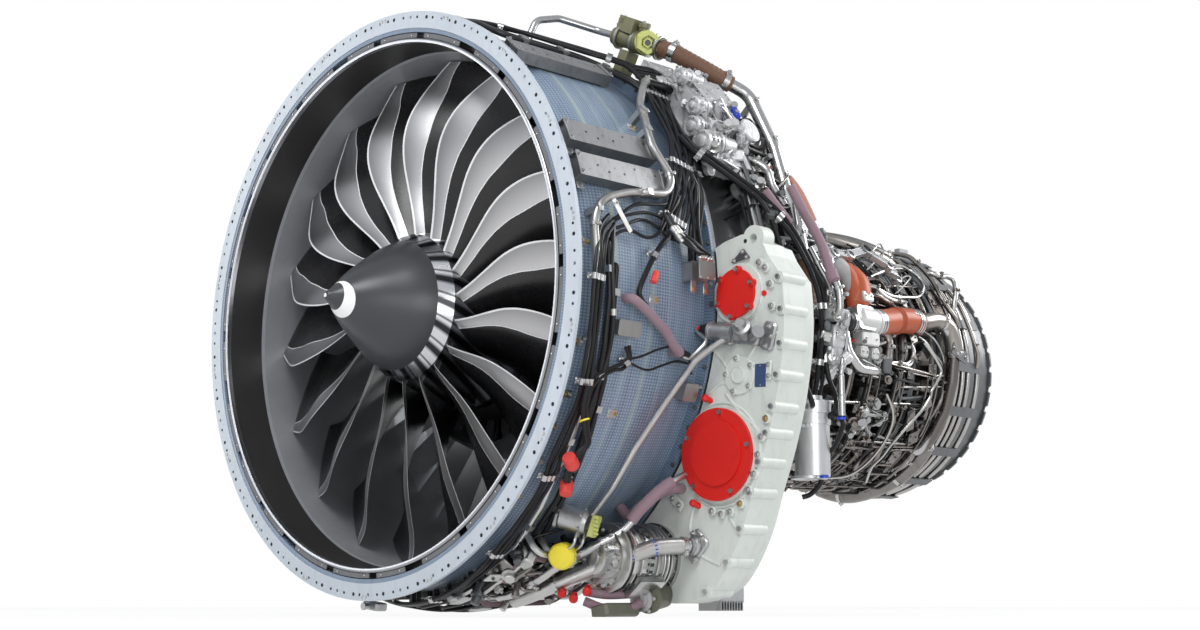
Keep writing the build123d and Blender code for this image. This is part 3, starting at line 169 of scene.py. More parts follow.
def calc(net, operation, first, second=None, third=None):
    node = net.nodes.new("ShaderNodeMath")
    node.operation = operation
    for place, value in enumerate((first, second, third)):
        if value is None:
            continue
        if isinstance(value, (int, float)):
            node.inputs[place].default_value = value
        else:
            net.links.new(value, node.inputs[place])
    return node.outputs[0]


def noise(net, place, scale, detail, rough):
    node = net.nodes.new("ShaderNodeTexNoise")
    node.inputs["Detail"].default_value = detail
    node.inputs["Roughness"].default_value = rough
    if isinstance(scale, (int, float)):
        node.inputs["Scale"].default_value = scale
    else:
        net.links.new(scale, node.inputs["Scale"])
    net.links.new(place, node.inputs["Vector"])
    return node.outputs["Fac"]


def ramp(net, value, low, high, newLow=0, newHigh=1):
    node = net.nodes.new("ShaderNodeMapRange")
    node.inputs["From Min"].default_value = low
    node.inputs["From Max"].default_value = high
    node.inputs["To Min"].default_value = newLow
    node.inputs["To Max"].default_value = newHigh
    net.links.new(value, node.inputs["Value"])
    return node.outputs[0]


def blendColor(net, share, first, second):
    node = net.nodes.new("ShaderNodeMix")
    node.data_type = "RGBA"
    for place, value in ((0, share), (6, first), (7, second)):
        if isinstance(value, (int, float)):
            node.inputs[place].default_value = value
        elif isinstance(value, (tuple, list)):
            node.inputs[place].default_value = (*value[:3], 1)
        else:
            net.links.new(value, node.inputs[place])
    return node.outputs[2]


def position(net):
    return net.nodes.new("ShaderNodeTexCoord").outputs["Object"]


def stretched(net, place, scale):
    node = net.nodes.new("ShaderNodeMapping")
    node.inputs["Scale"].default_value = scale
    net.links.new(place, node.inputs["Vector"])
    return node.outputs[0]


def makeGrainGroup():
    group, start, end = newGroup(
        "surfaceGrain",
        [("Place", "NodeSocketVector", (0, 0, 0)), ("Scale", "NodeSocketFloat", 90),
            ("Depth", "NodeSocketFloat", 1)],
        [("Shade", "NodeSocketFloat"), ("Height", "NodeSocketFloat"), ("Blotch", "NodeSocketFloat")],
    )
    place = start.outputs["Place"]
    fine = noise(group, place, start.outputs["Scale"], 4, 0.6)
    broad = noise(group, place, 2.6, 4, 0.55)
    middle = noise(group, place, 17, 3, 0.6)
    shade = calc(group, "MULTIPLY_ADD", fine, 0.4, calc(group, "MULTIPLY", middle, 0.6))
    group.links.new(shade, end.inputs["Shade"])
    group.links.new(calc(group, "MULTIPLY", fine, start.outputs["Depth"]), end.inputs["Height"])
    group.links.new(ramp(group, broad, 0.35, 0.68), end.inputs["Blotch"])
    return group


def makeGrimeGroup():
    group, start, end = newGroup(
        "oilGrime",
        [("Place", "NodeSocketVector", (0, 0, 0)), ("Amount", "NodeSocketFloat", 0.4)],
        [("Mask", "NodeSocketFloat")],
    )
    place = start.outputs["Place"]
    runs = noise(group, stretched(group, place, (9, 9, 2.2)), 3.0, 5, 0.65)
    spots = noise(group, place, 46, 2, 0.5)
    patches = ramp(group, runs, 0.5, 0.74)
    speckle = ramp(group, spots, 0.62, 0.74)
    both = calc(group, "MAXIMUM", patches, calc(group, "MULTIPLY", speckle, 0.5))
    group.links.new(calc(group, "MULTIPLY", both, start.outputs["Amount"]), end.inputs["Mask"])
    return group


def makeWeaveGroup():
    group, start, end = newGroup(
        "braidWeave",
        [("Place", "NodeSocketVector", (0, 0, 0)), ("Tow", "NodeSocketFloat", 0.0115),
            ("Slant", "NodeSocketFloat", 0.85)],
        [("Mask", "NodeSocketFloat"), ("Height", "NodeSocketFloat"), ("Yarn", "NodeSocketFloat"),
            ("Along", "NodeSocketFloat")],
    )
    parts = group.nodes.new("ShaderNodeSeparateXYZ")
    group.links.new(start.outputs["Place"], parts.inputs[0])
    angle = calc(group, "ARCTAN2", parts.outputs["Z"], parts.outputs["X"])
    around = calc(group, "MULTIPLY", angle, 1.078)
    along = parts.outputs["Y"]
    first = calc(group, "DIVIDE", calc(group, "MULTIPLY_ADD", along, start.outputs["Slant"], around),
        start.outputs["Tow"])
    lean = calc(group, "MULTIPLY", calc(group, "MULTIPLY", along, start.outputs["Slant"]), -1)
    second = calc(group, "DIVIDE", calc(group, "ADD", lean, around), start.outputs["Tow"])
    waveOne = calc(group, "ABSOLUTE", calc(group, "SINE", calc(group, "MULTIPLY", first, math.pi)))
    waveTwo = calc(group, "ABSOLUTE", calc(group, "SINE", calc(group, "MULTIPLY", second, math.pi)))
    cells = calc(group, "ADD", calc(group, "FLOOR", first), calc(group, "FLOOR", second))
    over = calc(group, "PINGPONG", cells, 1)
    one = calc(group, "MULTIPLY", waveOne, over)
    two = calc(group, "MULTIPLY", waveTwo, calc(group, "SUBTRACT", 1, over))
    height = calc(group, "ADD", one, two)
    group.links.new(over, end.inputs["Mask"])
    group.links.new(height, end.inputs["Height"])
    yarns = noise(group, stretched(group, start.outputs["Place"], (30, 400, 30)), 1.0, 2, 0.5)
    group.links.new(yarns, end.inputs["Yarn"])
    group.links.new(along, end.inputs["Along"])
    return group


grainGroup = makeGrainGroup()
grimeGroup = makeGrimeGroup()
weaveGroup = makeWeaveGroup()


def useGroup(net, group, **values):
    node = net.nodes.new("ShaderNodeGroup")
    node.node_tree = group
    for label, value in values.items():
        if isinstance(value, (int, float)):
            node.inputs[label].default_value = value
        else:
            net.links.new(value, node.inputs[label])
    return node


finishes = {}


def newMaterial(name):
    made = bpy.data.materials.new(name)
    made.use_nodes = True
    finishes[name] = made
    return made.node_tree, made.node_tree.nodes["Principled BSDF"]


def addBump(net, shader, height, strength, distance):
    node = net.nodes.new("ShaderNodeBump")
    node.inputs["Strength"].default_value = strength
    node.inputs["Distance"].default_value = distance
    net.links.new(height, node.inputs["Height"])
    net.links.new(node.outputs[0], shader.inputs["Normal"])


def finish(name, color, second, metallic=0.0, roughness=0.45, swing=0.12, grain=90, depth=0.05, grime=0.25,
           grimeColor=(0.05, 0.042, 0.035), coat=0.0, stretch=None, sheen=0.0):
    net, shader = newMaterial(name)
    place = position(net)
    if stretch:
        place = stretched(net, place, stretch)
    grainNode = useGroup(net, grainGroup, Place=place, Scale=grain, Depth=1.0)
    grimeNode = useGroup(net, grimeGroup, Place=position(net), Amount=grime)
    base = blendColor(net, grainNode.outputs["Blotch"], color, second)
    light = tuple(channel * 1.25 for channel in color)
    base = blendColor(net, calc(net, "MULTIPLY", grainNode.outputs["Shade"], 0.35), base, light)
    base = blendColor(net, grimeNode.outputs["Mask"], base, grimeColor)
    net.links.new(base, shader.inputs["Base Color"])
    rough = calc(net, "MULTIPLY_ADD", grainNode.outputs["Shade"], swing, roughness - swing / 2)
    rough = calc(net, "ADD", rough, calc(net, "MULTIPLY", grimeNode.outputs["Mask"], 0.25))
    net.links.new(rough, shader.inputs["Roughness"])
    shader.inputs["Metallic"].default_value = metallic
    shader.inputs["Coat Weight"].default_value = coat
    shader.inputs["Sheen Weight"].default_value = sheen
    addBump(net, shader, grainNode.outputs["Height"], depth, 0.002)
    return net, shader


finish("flangePaint", (0.43, 0.475, 0.525), (0.39, 0.43, 0.475), roughness=0.38, grime=0.12, grain=60,
    depth=0.02)
finish("linerDark", (0.022, 0.021, 0.021), (0.030, 0.029, 0.029), roughness=0.45, grime=0.05, grain=40)
finish("trackGrey", (0.25, 0.255, 0.272), (0.20, 0.205, 0.22), roughness=0.36, grime=0.1, grain=30)
finish("frameMetal", (0.20, 0.205, 0.21), (0.13, 0.135, 0.14), metallic=0.9, roughness=0.45, grime=0.4,
    grain=120)
finish("vaneMetal", (0.30, 0.31, 0.32), (0.24, 0.25, 0.26), metallic=0.85, roughness=0.4, grime=0.1)
finish("hubPolish", (0.62, 0.63, 0.65), (0.52, 0.53, 0.56), metallic=1.0, roughness=0.2, swing=0.1,
    grime=0.03, grain=150, depth=0.02)
finish("plainSteel", (0.52, 0.52, 0.51), (0.44, 0.44, 0.43), metallic=1.0, roughness=0.34, swing=0.16,
    grime=0.18, grain=180)
finish("brightTube", (0.50, 0.50, 0.50), (0.40, 0.40, 0.40), metallic=1.0, roughness=0.27, swing=0.12,
    grime=0.12, grain=120)
finish("rotorMetal", (0.36, 0.35, 0.34), (0.28, 0.27, 0.26), metallic=0.95, roughness=0.42, grime=0.2)
finish("hotMetal", (0.15, 0.135, 0.12), (0.065, 0.055, 0.048), metallic=0.95, roughness=0.40, swing=0.2,
    grime=0.6, grain=70, depth=0.1)
finish("hotTube", (0.34, 0.32, 0.30), (0.20, 0.175, 0.155), metallic=1.0, roughness=0.33, grime=0.4,
    grain=60)
finish("gearboxPaint", (0.56, 0.59, 0.555), (0.51, 0.54, 0.505), roughness=0.42, grime=0.14, grain=120,
    depth=0.06)
finish("redCover", (0.58, 0.010, 0.005), (0.52, 0.009, 0.005), roughness=0.45, swing=0.08, grime=0.03,
    grain=30, depth=0.02)
finish("castAluminium", (0.46, 0.465, 0.47), (0.36, 0.365, 0.37), metallic=0.9, roughness=0.38, grime=0.35,
    grain=220, depth=0.16)
finish("oliveMetal", (0.155, 0.152, 0.085), (0.20, 0.195, 0.12), metallic=0.4, roughness=0.42, grime=0.3)
finish("blackCable", (0.010, 0.010, 0.011), (0.016, 0.016, 0.018), roughness=0.30, grime=0.0, grain=400,
    depth=0.12)
finish("brownWrap", (0.15, 0.072, 0.038), (0.09, 0.042, 0.024), roughness=0.6, grime=0.15, grain=160,
    depth=0.5, sheen=0.1)
finish("mauveHose", (0.20, 0.125, 0.155), (0.26, 0.17, 0.20), roughness=0.7, grime=0.12, grain=300,
    depth=0.5, sheen=0.2)
finish("boxMetal", (0.36, 0.35, 0.345), (0.26, 0.255, 0.25), metallic=0.85, roughness=0.38, grime=0.2,
    grain=90)
finish("orangeSleeve", (0.37, 0.068, 0.020), (0.31, 0.055, 0.016), roughness=0.42, grime=0.12, grain=120,
    depth=0.2)
finish("yellowCap", (0.75, 0.62, 0.03), (0.68, 0.55, 0.03), roughness=0.4, grime=0.02, grain=60, coat=0.2)
finish("bluePlate", (0.03, 0.055, 0.13), (0.04, 0.065, 0.15), roughness=0.35, grime=0.05)
finish("darkScrew", (0.045, 0.047, 0.05), (0.07, 0.072, 0.076), metallic=0.7, roughness=0.4, grime=0.1)
finish("darkBracket", (0.12, 0.125, 0.13), (0.085, 0.09, 0.095), metallic=0.6, roughness=0.45, grime=0.2)
finish("brassNut", (0.50, 0.40, 0.20), (0.40, 0.31, 0.15), metallic=1.0, roughness=0.35, grime=0.1)
finish("clayClamp", (0.42, 0.19, 0.145), (0.34, 0.15, 0.11), roughness=0.55, grime=0.1, grain=200,
    depth=0.2)
finish("bluePlug", (0.012, 0.045, 0.42), (0.01, 0.035, 0.34), roughness=0.35, grime=0.02)
finish("limeCap", (0.52, 0.55, 0.15), (0.40, 0.42, 0.12), roughness=0.42, grime=0.05, coat=0.1)
finish("darkOlive", (0.115, 0.115, 0.085), (0.15, 0.15, 0.12), metallic=0.4, roughness=0.45, grime=0.2)
finish("coreSteel", (0.26, 0.25, 0.24), (0.14, 0.13, 0.12), metallic=1.0, roughness=0.30, grime=0.45,
    grain=80)
finish("valveCast", (0.52, 0.52, 0.51), (0.45, 0.45, 0.44), metallic=0.35, roughness=0.45, grime=0.15,
    grain=200, depth=0.12)
# near-black finish for discs painted as the shade inside small holes
finish("paintedHoleShade", (0.004, 0.004, 0.005), (0.006, 0.006, 0.007), roughness=0.8, grime=0.0)
finish("plainSteelWorn", (0.48, 0.475, 0.465), (0.33, 0.32, 0.31), metallic=1.0, roughness=0.33, swing=0.16,
    grime=0.3, grain=90)
finish("railMetal", (0.33, 0.335, 0.34), (0.22, 0.225, 0.23), metallic=0.9, roughness=0.42, swing=0.2,
    grime=0.35, grain=70)
finish("lipSatin", (0.34, 0.35, 0.37), (0.27, 0.28, 0.30), metallic=1.0, roughness=0.32, swing=0.1,
    grime=0.05, grain=40)
finish("fuelCast", (0.62, 0.625, 0.63), (0.36, 0.365, 0.37), metallic=0.55, roughness=0.36, grime=0.7,
    grimeColor=(0.03, 0.03, 0.032), grain=50, depth=0.3)
finish("arcPlate", (0.13, 0.133, 0.14), (0.10, 0.103, 0.11), metallic=0.3, roughness=0.5, grime=0.2)
finish("filterShell", (0.60, 0.605, 0.61), (0.50, 0.505, 0.51), metallic=0.7, roughness=0.33, grime=0.08,
    grain=90)
finish("ringSteel", (0.60, 0.60, 0.60), (0.34, 0.34, 0.34), metallic=1.0, roughness=0.22, grime=0.15,
    grain=40, stretch=(1, 9, 1))
finish("redRubber", (0.62, 0.045, 0.035), (0.52, 0.035, 0.03), roughness=0.5, grime=0.05, grain=120)


def polar(net):
    # distance from the engine axis, clock angle in radians, and station
    parts = net.nodes.new("ShaderNodeSeparateXYZ")
    net.links.new(position(net), parts.inputs[0])
    x, y, z = parts.outputs
    radius = calc(net, "SQRT", calc(net, "ADD", calc(net, "MULTIPLY", x, x), calc(net, "MULTIPLY", z, z)))
    return radius, calc(net, "ARCTAN2", z, x), y


def baseColor(shader):
    return shader.inputs["Base Color"].links[0].from_socket


# the white ring round the nose: how far it lies off centre, its edges, and the dot inside it
swirlSettings = {"phase": 0.75, "swing": 0.013, "inner": 0.051, "outer": 0.067, "dot": 0.0075,
                 "color": (0.86, 0.86, 0.85)}


def spinnerMaterial():
    net, shader = finish("spinnerGrey", (0.042, 0.045, 0.050), (0.036, 0.039, 0.043),
                         roughness=0.33, swing=0.06, grime=0.0, grain=60, depth=0.02)
    old = baseColor(shader)
    radius, angle, _ = polar(net)
    wave = calc(net, "COSINE", calc(net, "ADD", angle, swirlSettings["phase"]))
    swirl = calc(net, "MULTIPLY", wave, swirlSettings["swing"])
    inner = calc(net, "MULTIPLY_ADD", swirl, -0.2, swirlSettings["inner"])
    inner = calc(net, "GREATER_THAN", radius, inner)
    outer = calc(net, "LESS_THAN", radius, calc(net, "ADD", swirl, swirlSettings["outer"]))
    color = blendColor(net, calc(net, "MULTIPLY", inner, outer), old, swirlSettings["color"])
    dot = calc(net, "LESS_THAN", radius, swirlSettings["dot"])
    net.links.new(blendColor(net, dot, color, swirlSettings["color"]), shader.inputs["Base Color"])


def mixAlong(name, axis, change, color, metallic=None, roughness=None):
    # beyond one coordinate the finish changes to another metal or rubber
    net = finishes[name].node_tree
    shader = net.nodes["Principled BSDF"]
    parts = net.nodes.new("ShaderNodeSeparateXYZ")
    net.links.new(position(net), parts.inputs[0])
    mask = ramp(net, parts.outputs[axis], *change)
    net.links.new(blendColor(net, mask, baseColor(shader), color), shader.inputs["Base Color"])
    for label, values in (("Metallic", metallic), ("Roughness", roughness)):
        if values:
            net.links.new(ramp(net, mask, 0, 1, *values), shader.inputs[label])


# radius, clock angle of the leading edge, its station, and how wide the metal sheath is
bladeEdge = [
    (0.250, 102.5, 0.168, 0.040), (0.360, 107.3, 0.163, 0.044), (0.480, 111.3, 0.157, 0.058),
    (0.600, 112.9, 0.148, 0.086), (0.720, 112.3, 0.158, 0.108), (0.840, 110.0, 0.205, 0.100),
    (0.930, 107.0, 0.250, 0.066), (1.014, 103.2, 0.297, 0.034),
]
# the last two widths are of painted highlight lines: the first along the sheath's aft edge, the second
# along the blade's rounded nose
bladeSettings = {"blades": 18, "pitch": 20, "rim": 0.0020, "paintedNoseHighlight": 0.0075}


def bladeMaterial():
    net, shader = newMaterial("bladeComposite")
    radius, angle, y = polar(net)
    angle = calc(net, "MULTIPLY", angle, 180 / math.pi)
    edgeAngle = curve(net, radius, [(r, a) for r, a, s, w in bladeEdge], 90, 120)
    edgeStation = curve(net, radius, [(r, s) for r, a, s, w in bladeEdge], 0, 0.5)
    width = curve(net, radius, [(r, w) for r, a, s, w in bladeEdge], 0, 0.2)
    # angle from the nearest blade's leading edge
    pitch = bladeSettings["pitch"]
    turn = calc(net, "SUBTRACT", angle, edgeAngle)
    turn = calc(net, "FLOORED_MODULO", calc(net, "ADD", turn, 360 + pitch / 2), pitch)
    turn = calc(net, "SUBTRACT", turn, pitch / 2)
    side = calc(net, "MULTIPLY", calc(net, "MULTIPLY", turn, math.pi / 180), radius)
    deep = calc(net, "SUBTRACT", y, edgeStation)
    gap = calc(net, "SQRT", calc(net, "ADD", calc(net, "MULTIPLY", side, side),
        calc(net, "MULTIPLY", deep, deep)))
    inside = calc(net, "LESS_THAN", gap, width)
    # painted highlight: a thin bright line painted along the sheath's aft edge
    rim = calc(net, "LESS_THAN", calc(net, "ABSOLUTE", calc(net, "SUBTRACT", gap, width)),
        bladeSettings["rim"])
    # painted highlight: a bright line painted along the blade's rounded nose
    paintedNoseHighlight = calc(net, "LESS_THAN", gap, bladeSettings["paintedNoseHighlight"])
    # painted shade across the metal sheath: darker at the blade's nose, lighter towards the sheath's aft
    # edge
    shade = ramp(net, calc(net, "DIVIDE", gap, width), 0.15, 0.95)
    grainNode = useGroup(net, grainGroup, Place=stretched(net, position(net), (6, 1, 6)), Scale=60.0,
        Depth=1.0)
    metal = blendColor(net, grainNode.outputs["Shade"], (0.50, 0.50, 0.51), (0.64, 0.64, 0.65))
    black = blendColor(net, grainNode.outputs["Blotch"], (0.008, 0.008, 0.009), (0.012, 0.012, 0.013))
    metal = blendColor(net, shade, (0.33, 0.33, 0.34), metal)
    color = blendColor(net, inside, black, metal)
    # both painted highlight lines are painted near white, and on the sheath made less metallic so they stay
    # bright
    paintedHighlights = calc(net, "MAXIMUM", rim, paintedNoseHighlight)
    color = blendColor(net, paintedHighlights, color, (0.80, 0.80, 0.81))
    net.links.new(color, shader.inputs["Base Color"])
    paintedHighlightMetalCut = calc(net, "MULTIPLY", calc(net, "MULTIPLY", paintedHighlights, inside), 0.65)
    net.links.new(calc(net, "SUBTRACT", inside, paintedHighlightMetalCut), shader.inputs["Metallic"])
    rough = calc(net, "MULTIPLY_ADD", inside, 0.06,
        calc(net, "MULTIPLY_ADD", grainNode.outputs["Shade"], 0.08, 0.24))
    net.links.new(rough, shader.inputs["Roughness"])


def hubMaterial():
    # painted reflection: dark streaks painted on the polished facets between the blade roots, standing in
    # for the dark blades they mirror
    net = finishes["hubPolish"].node_tree
    shader = net.nodes["Principled BSDF"]
    old = baseColor(shader)
    _, angle, y = polar(net)
    turn = calc(net, "MULTIPLY", angle, bladeSettings["blades"] / math.tau)
    phase = calc(net, "FRACT", calc(net, "ADD", calc(net, "MULTIPLY_ADD", y, 4.5, turn), 50))
    dark = ramp(net, calc(net, "ABSOLUTE", calc(net, "SUBTRACT", phase, 0.42)), 0.10, 0.24, 1, 0)
    thin = ramp(net, calc(net, "ABSOLUTE", calc(net, "SUBTRACT", phase, 0.80)), 0.02, 0.07, 0.8, 0)
    paintedReflectionStreaks = calc(net, "MAXIMUM", dark, thin)
    net.links.new(blendColor(net, paintedReflectionStreaks, old, (0.035, 0.035, 0.038)), shader.inputs["Base Color"])


def curve(net, value, points, low, high):
    # the curve node works from 0 to 1, so radius and value are scaled to it
    reach = 1.1
    node = net.nodes.new("ShaderNodeFloatCurve")
    line = node.mapping.curves[0]
    while len(line.points) > 2:
        line.points.remove(line.points[1])
    scaled = [(x / reach, (v - low) / (high - low)) for x, v in points]
    line.points[0].location = scaled[0]
    line.points[1].location = scaled[-1]
    for spot in scaled[1:-1]:
        line.points.new(*spot)
    node.mapping.update()
    net.links.new(calc(net, "DIVIDE", value, reach), node.inputs["Value"])
    return calc(net, "MULTIPLY_ADD", node.outputs[0], high - low, low)


def caseMaterial():
    net, shader = newMaterial("caseWeave")
    place = position(net)
    weave = useGroup(net, weaveGroup, Place=place)
    grimeNode = useGroup(net, grimeGroup, Place=place, Amount=0.25)
    along = weave.outputs["Along"]
    stripes = ramp(net, noise(net, stretched(net, place, (0.4, 26, 0.4)), 1.0, 2, 0.5), 0.34, 0.66)
    blue = blendColor(net, stripes, (0.055, 0.095, 0.165), (0.14, 0.205, 0.30))
    blue = blendColor(net, calc(net, "MULTIPLY", weave.outputs["Yarn"], 0.45), blue, (0.27, 0.35, 0.45))
    bands = None
    for station, width, strength in ((0.212, 0.013, 0.6), (0.300, 0.007, 0.25), (0.398, 0.012, 0.4),
            (0.480, 0.006, 0.2)):
        near = ramp(net, calc(net, "ABSOLUTE", calc(net, "SUBTRACT", along, station)), width * 0.5, width,
            strength, 0)
        bands = near if bands is None else calc(net, "MAXIMUM", bands, near)
    pale = blendColor(net, bands, blue, (0.42, 0.50, 0.36))
    dots = blendColor(net, calc(net, "MULTIPLY", weave.outputs["Mask"], 0.55), pale, (0.38, 0.46, 0.55))
    seam = calc(net, "MULTIPLY", calc(net, "SUBTRACT", 1, weave.outputs["Height"]), 0.6)
    light = blendColor(net, seam, dots, (0.03, 0.05, 0.09))
    color = blendColor(net, grimeNode.outputs["Mask"], light, (0.05, 0.06, 0.07))
    net.links.new(color, shader.inputs["Base Color"])
    shader.inputs["Roughness"].default_value = 0.42
    shader.inputs["Coat Weight"].default_value = 0.25
    shader.inputs["Coat Roughness"].default_value = 0.25
    addBump(net, shader, weave.outputs["Height"], 0.35, 0.0012)


def braidMaterial():
    net, shader = finish("braidMetal", (0.58, 0.58, 0.57), (0.48, 0.48, 0.47),
                         metallic=1.0, roughness=0.34, grime=0.08, grain=300, depth=0.1)
    bump = shader.inputs["Normal"].links[0].from_node
    waves = net.nodes.new("ShaderNodeTexWave")
    waves.inputs["Scale"].default_value = 95
    waves.inputs["Distortion"].default_value = 0.6
    waves.bands_direction = "DIAGONAL"
    net.links.new(position(net), waves.inputs["Vector"])
    net.links.new(waves.outputs["Fac"], bump.inputs["Height"])
    bump.inputs["Strength"].default_value = 0.6


spinnerMaterial()
bladeMaterial()
hubMaterial()
caseMaterial()
braidMaterial()
mixAlong("linerDark", 1, (0.018, 0.017), (0.62, 0.63, 0.65), (0.0, 1.0), (0.40, 0.30))
finish("ductRubber", (0.15, 0.072, 0.038), (0.09, 0.042, 0.024), roughness=0.6, grime=0.15, grain=160,
    depth=0.5)
mixAlong("ductRubber", 1, (1.90, 1.91), (0.33, 0.33, 0.32))
mixAlong("ductRubber", 1, (2.118, 2.120), (0.37, 0.068, 0.020))
finish("ductMetal", (0.50, 0.50, 0.50), (0.40, 0.40, 0.40), metallic=1.0, roughness=0.27, swing=0.12,
    grime=0.12, grain=120)
mixAlong("ductMetal", 1, (2.842, 2.850), (0.15, 0.14, 0.13))
finishes["blackCable"].node_tree.nodes["Principled BSDF"].inputs["Specular IOR Level"].default_value = 0.22
print("materials made:", len(finishes))

nodeFinish = {
    "flangePaint": ["front_flange"],
    "caseWeave": ["fan_case"],
    "linerDark": ["inlet_liner"],
    "trackGrey": ["blade_track", "rear_liners"],
    "frameMetal": ["fan_frame_ring", "fan_hub_frame", "turbine_rear_frame", "rear_sump_cover",
        "front_mount"],
    "vaneMetal": ["outlet_guide_vanes", "splitter_fairing", "booster_case"],
    "spinnerGrey": ["spinner"],
    "hubPolish": ["blade_platforms"],
    "plainSteel": ["fan_disk", "lp_shaft", "shaft_bearings", "radial_drive_shaft", "vane_rod", "vane_rings",
        "vane_levers", "bolts_and_clamps", "vane_actuator"],
    "railMetal": ["case_rails"],
    "brightTube": ["case_tubes"],
    "ductMetal": ["bleed_ducts"],
    "braidMetal": ["flexible_hoses"],
    "filterShell": ["fuel_filter"],
    "fuelCast": ["fuel_control_unit"],
    "ringSteel": ["generator"],
    "arcPlate": ["manifold_plates"],
    "bladeComposite": ["fan_blades"],
    "rotorMetal": ["booster_rotor", "core_compressor_rotor", "core_turbine_rotor", "lp_turbine_rotor"],
    "hotMetal": ["compressor_case", "combustor_case", "combustor_liner", "fuel_nozzles", "turbine_case",
        "drive_shaft_housing"],
    "plainSteelWorn": ["cooling_manifold"],
    "gearboxPaint": ["gearbox_front_housing", "gearbox_rear_housing"],
    "redCover": ["small_gearbox_cover", "large_gearbox_cover"],
    "castAluminium": ["starter", "hydraulic_pump", "oil_cooler", "lubrication_unit",
                      "core_valve"],
    "oliveMetal": ["anti_ice_valve"],
    "ductRubber": ["duct_sleeves"],
    "blackCable": ["fan_harness"],
    "mauveHose": ["sleeved_hoses"],
    "boxMetal": ["connector_boxes", "engine_control_unit", "oil_tank"],
}
for look, names in nodeFinish.items():
    for name in names:
        mesh = nodes[name].data
        mesh.materials.clear()
        mesh.materials.append(finishes[look])
# castings whose machined edges have to look sharp
castNodes = ("fuel_control_unit", "anti_ice_valve", "generator", "lubrication_unit", "hydraulic_pump",
    "starter", "oil_cooler", "core_valve", "front_mount", "gearbox_front_housing", "gearbox_rear_housing",
    "case_rails", "manifold_plates", "turbine_rear_frame")
castEdge = math.radians(30)
for name in castNodes:
    edges = nodes[name].modifiers.new("sharpEdges", "EDGE_SPLIT")
    edges.split_angle = castEdge
print("CAD nodes finished:", len(nodes))

# Mesh helpers: a piece is one object made up of tubes, turned shapes, plates and bolts

forward, aft = Vector((0, -1, 0)), Vector((0, 1, 0))
meshSettings = {"smallestRadius": 0.0002, "sharpAngle": math.radians(32)}


def at(radius, angle, station):
    turn = math.radians(angle)
    return Vector((radius * math.cos(turn), station, radius * math.sin(turn)))


def outward(angle):
    turn = math.radians(angle)
    return Vector((math.cos(turn), 0, math.sin(turn)))


def around(angle):
    turn = math.radians(angle)
    return Vector((-math.sin(turn), 0, math.cos(turn)))


def awayFromAxis(point):
    return Vector((point.x, 0, point.z)).normalized()


def turns(count, start=0):
    # even angles round a circle, in radians
    return [math.tau * step / count + start for step in range(count)]


def smooth(points, steps):
    # a smooth line through rows of three numbers
    line = []
    last = len(points) - 1
    for index in range(last):
        four = [points[max(index - 1, 0)], points[index], points[index + 1], points[min(index + 2, last)]]
        for step in range(steps):
            t = step / steps
            mixed = []
            for a, b, c, d in zip(*four):
                square, cube = 2 * a - 5 * b + 4 * c - d, 3 * b - a - 3 * c + d
                mixed.append(0.5 * (2 * b + (c - a) * t + square * t * t + cube * t ** 3))
            line.append(mixed)
    line.append(points[-1])
    return line


def softRoute(points, steps=7):
    # points are given as radius, angle and station
    return [at(*point) for point in smooth(points, steps)]


def softLine(points):
    return [Vector(point) for point in smooth(points, 8)]


def bentRoute(points, bend, steps=7):
    # straight runs with rounded corners, for rigid pipes
    points = [Vector(point) for point in points]
    line = [points[0]]
    for before, corner, after in zip(points, points[1:], points[2:]):
        back, ahead = before - corner, after - corner
        reach = min(bend, back.length * 0.48, ahead.length * 0.48)
        first = corner + back.normalized() * reach
        second = corner + ahead.normalized() * reach
        # a slight turn needs fewer steps than a sharp one
        turned = math.pi - back.angle(ahead, math.pi)
        count = max(1, min(steps, math.ceil(steps * turned / 1.2)))
        for step in range(count + 1):
            t = step / count
            line.append(first * (1 - t) ** 2 + corner * 2 * t * (1 - t) + second * t * t)
    line.append(points[-1])
    return line


def tangentAt(line, index):
    return (line[min(index + 1, len(line) - 1)] - line[max(index - 1, 0)]).normalized()


def frameOf(axis, along=None):
    # two directions square to the axis, then the axis itself
    axis = Vector(axis).normalized()
    hint = Vector(along) if along is not None else Vector((0, 0, 1))
    if abs(axis.dot(hint.normalized())) > 0.98:
        hint = aft if abs(axis.y) < 0.9 else Vector((1, 0, 0))
    first = (hint - axis * hint.dot(axis)).normalized()
    return first, axis.cross(first), axis


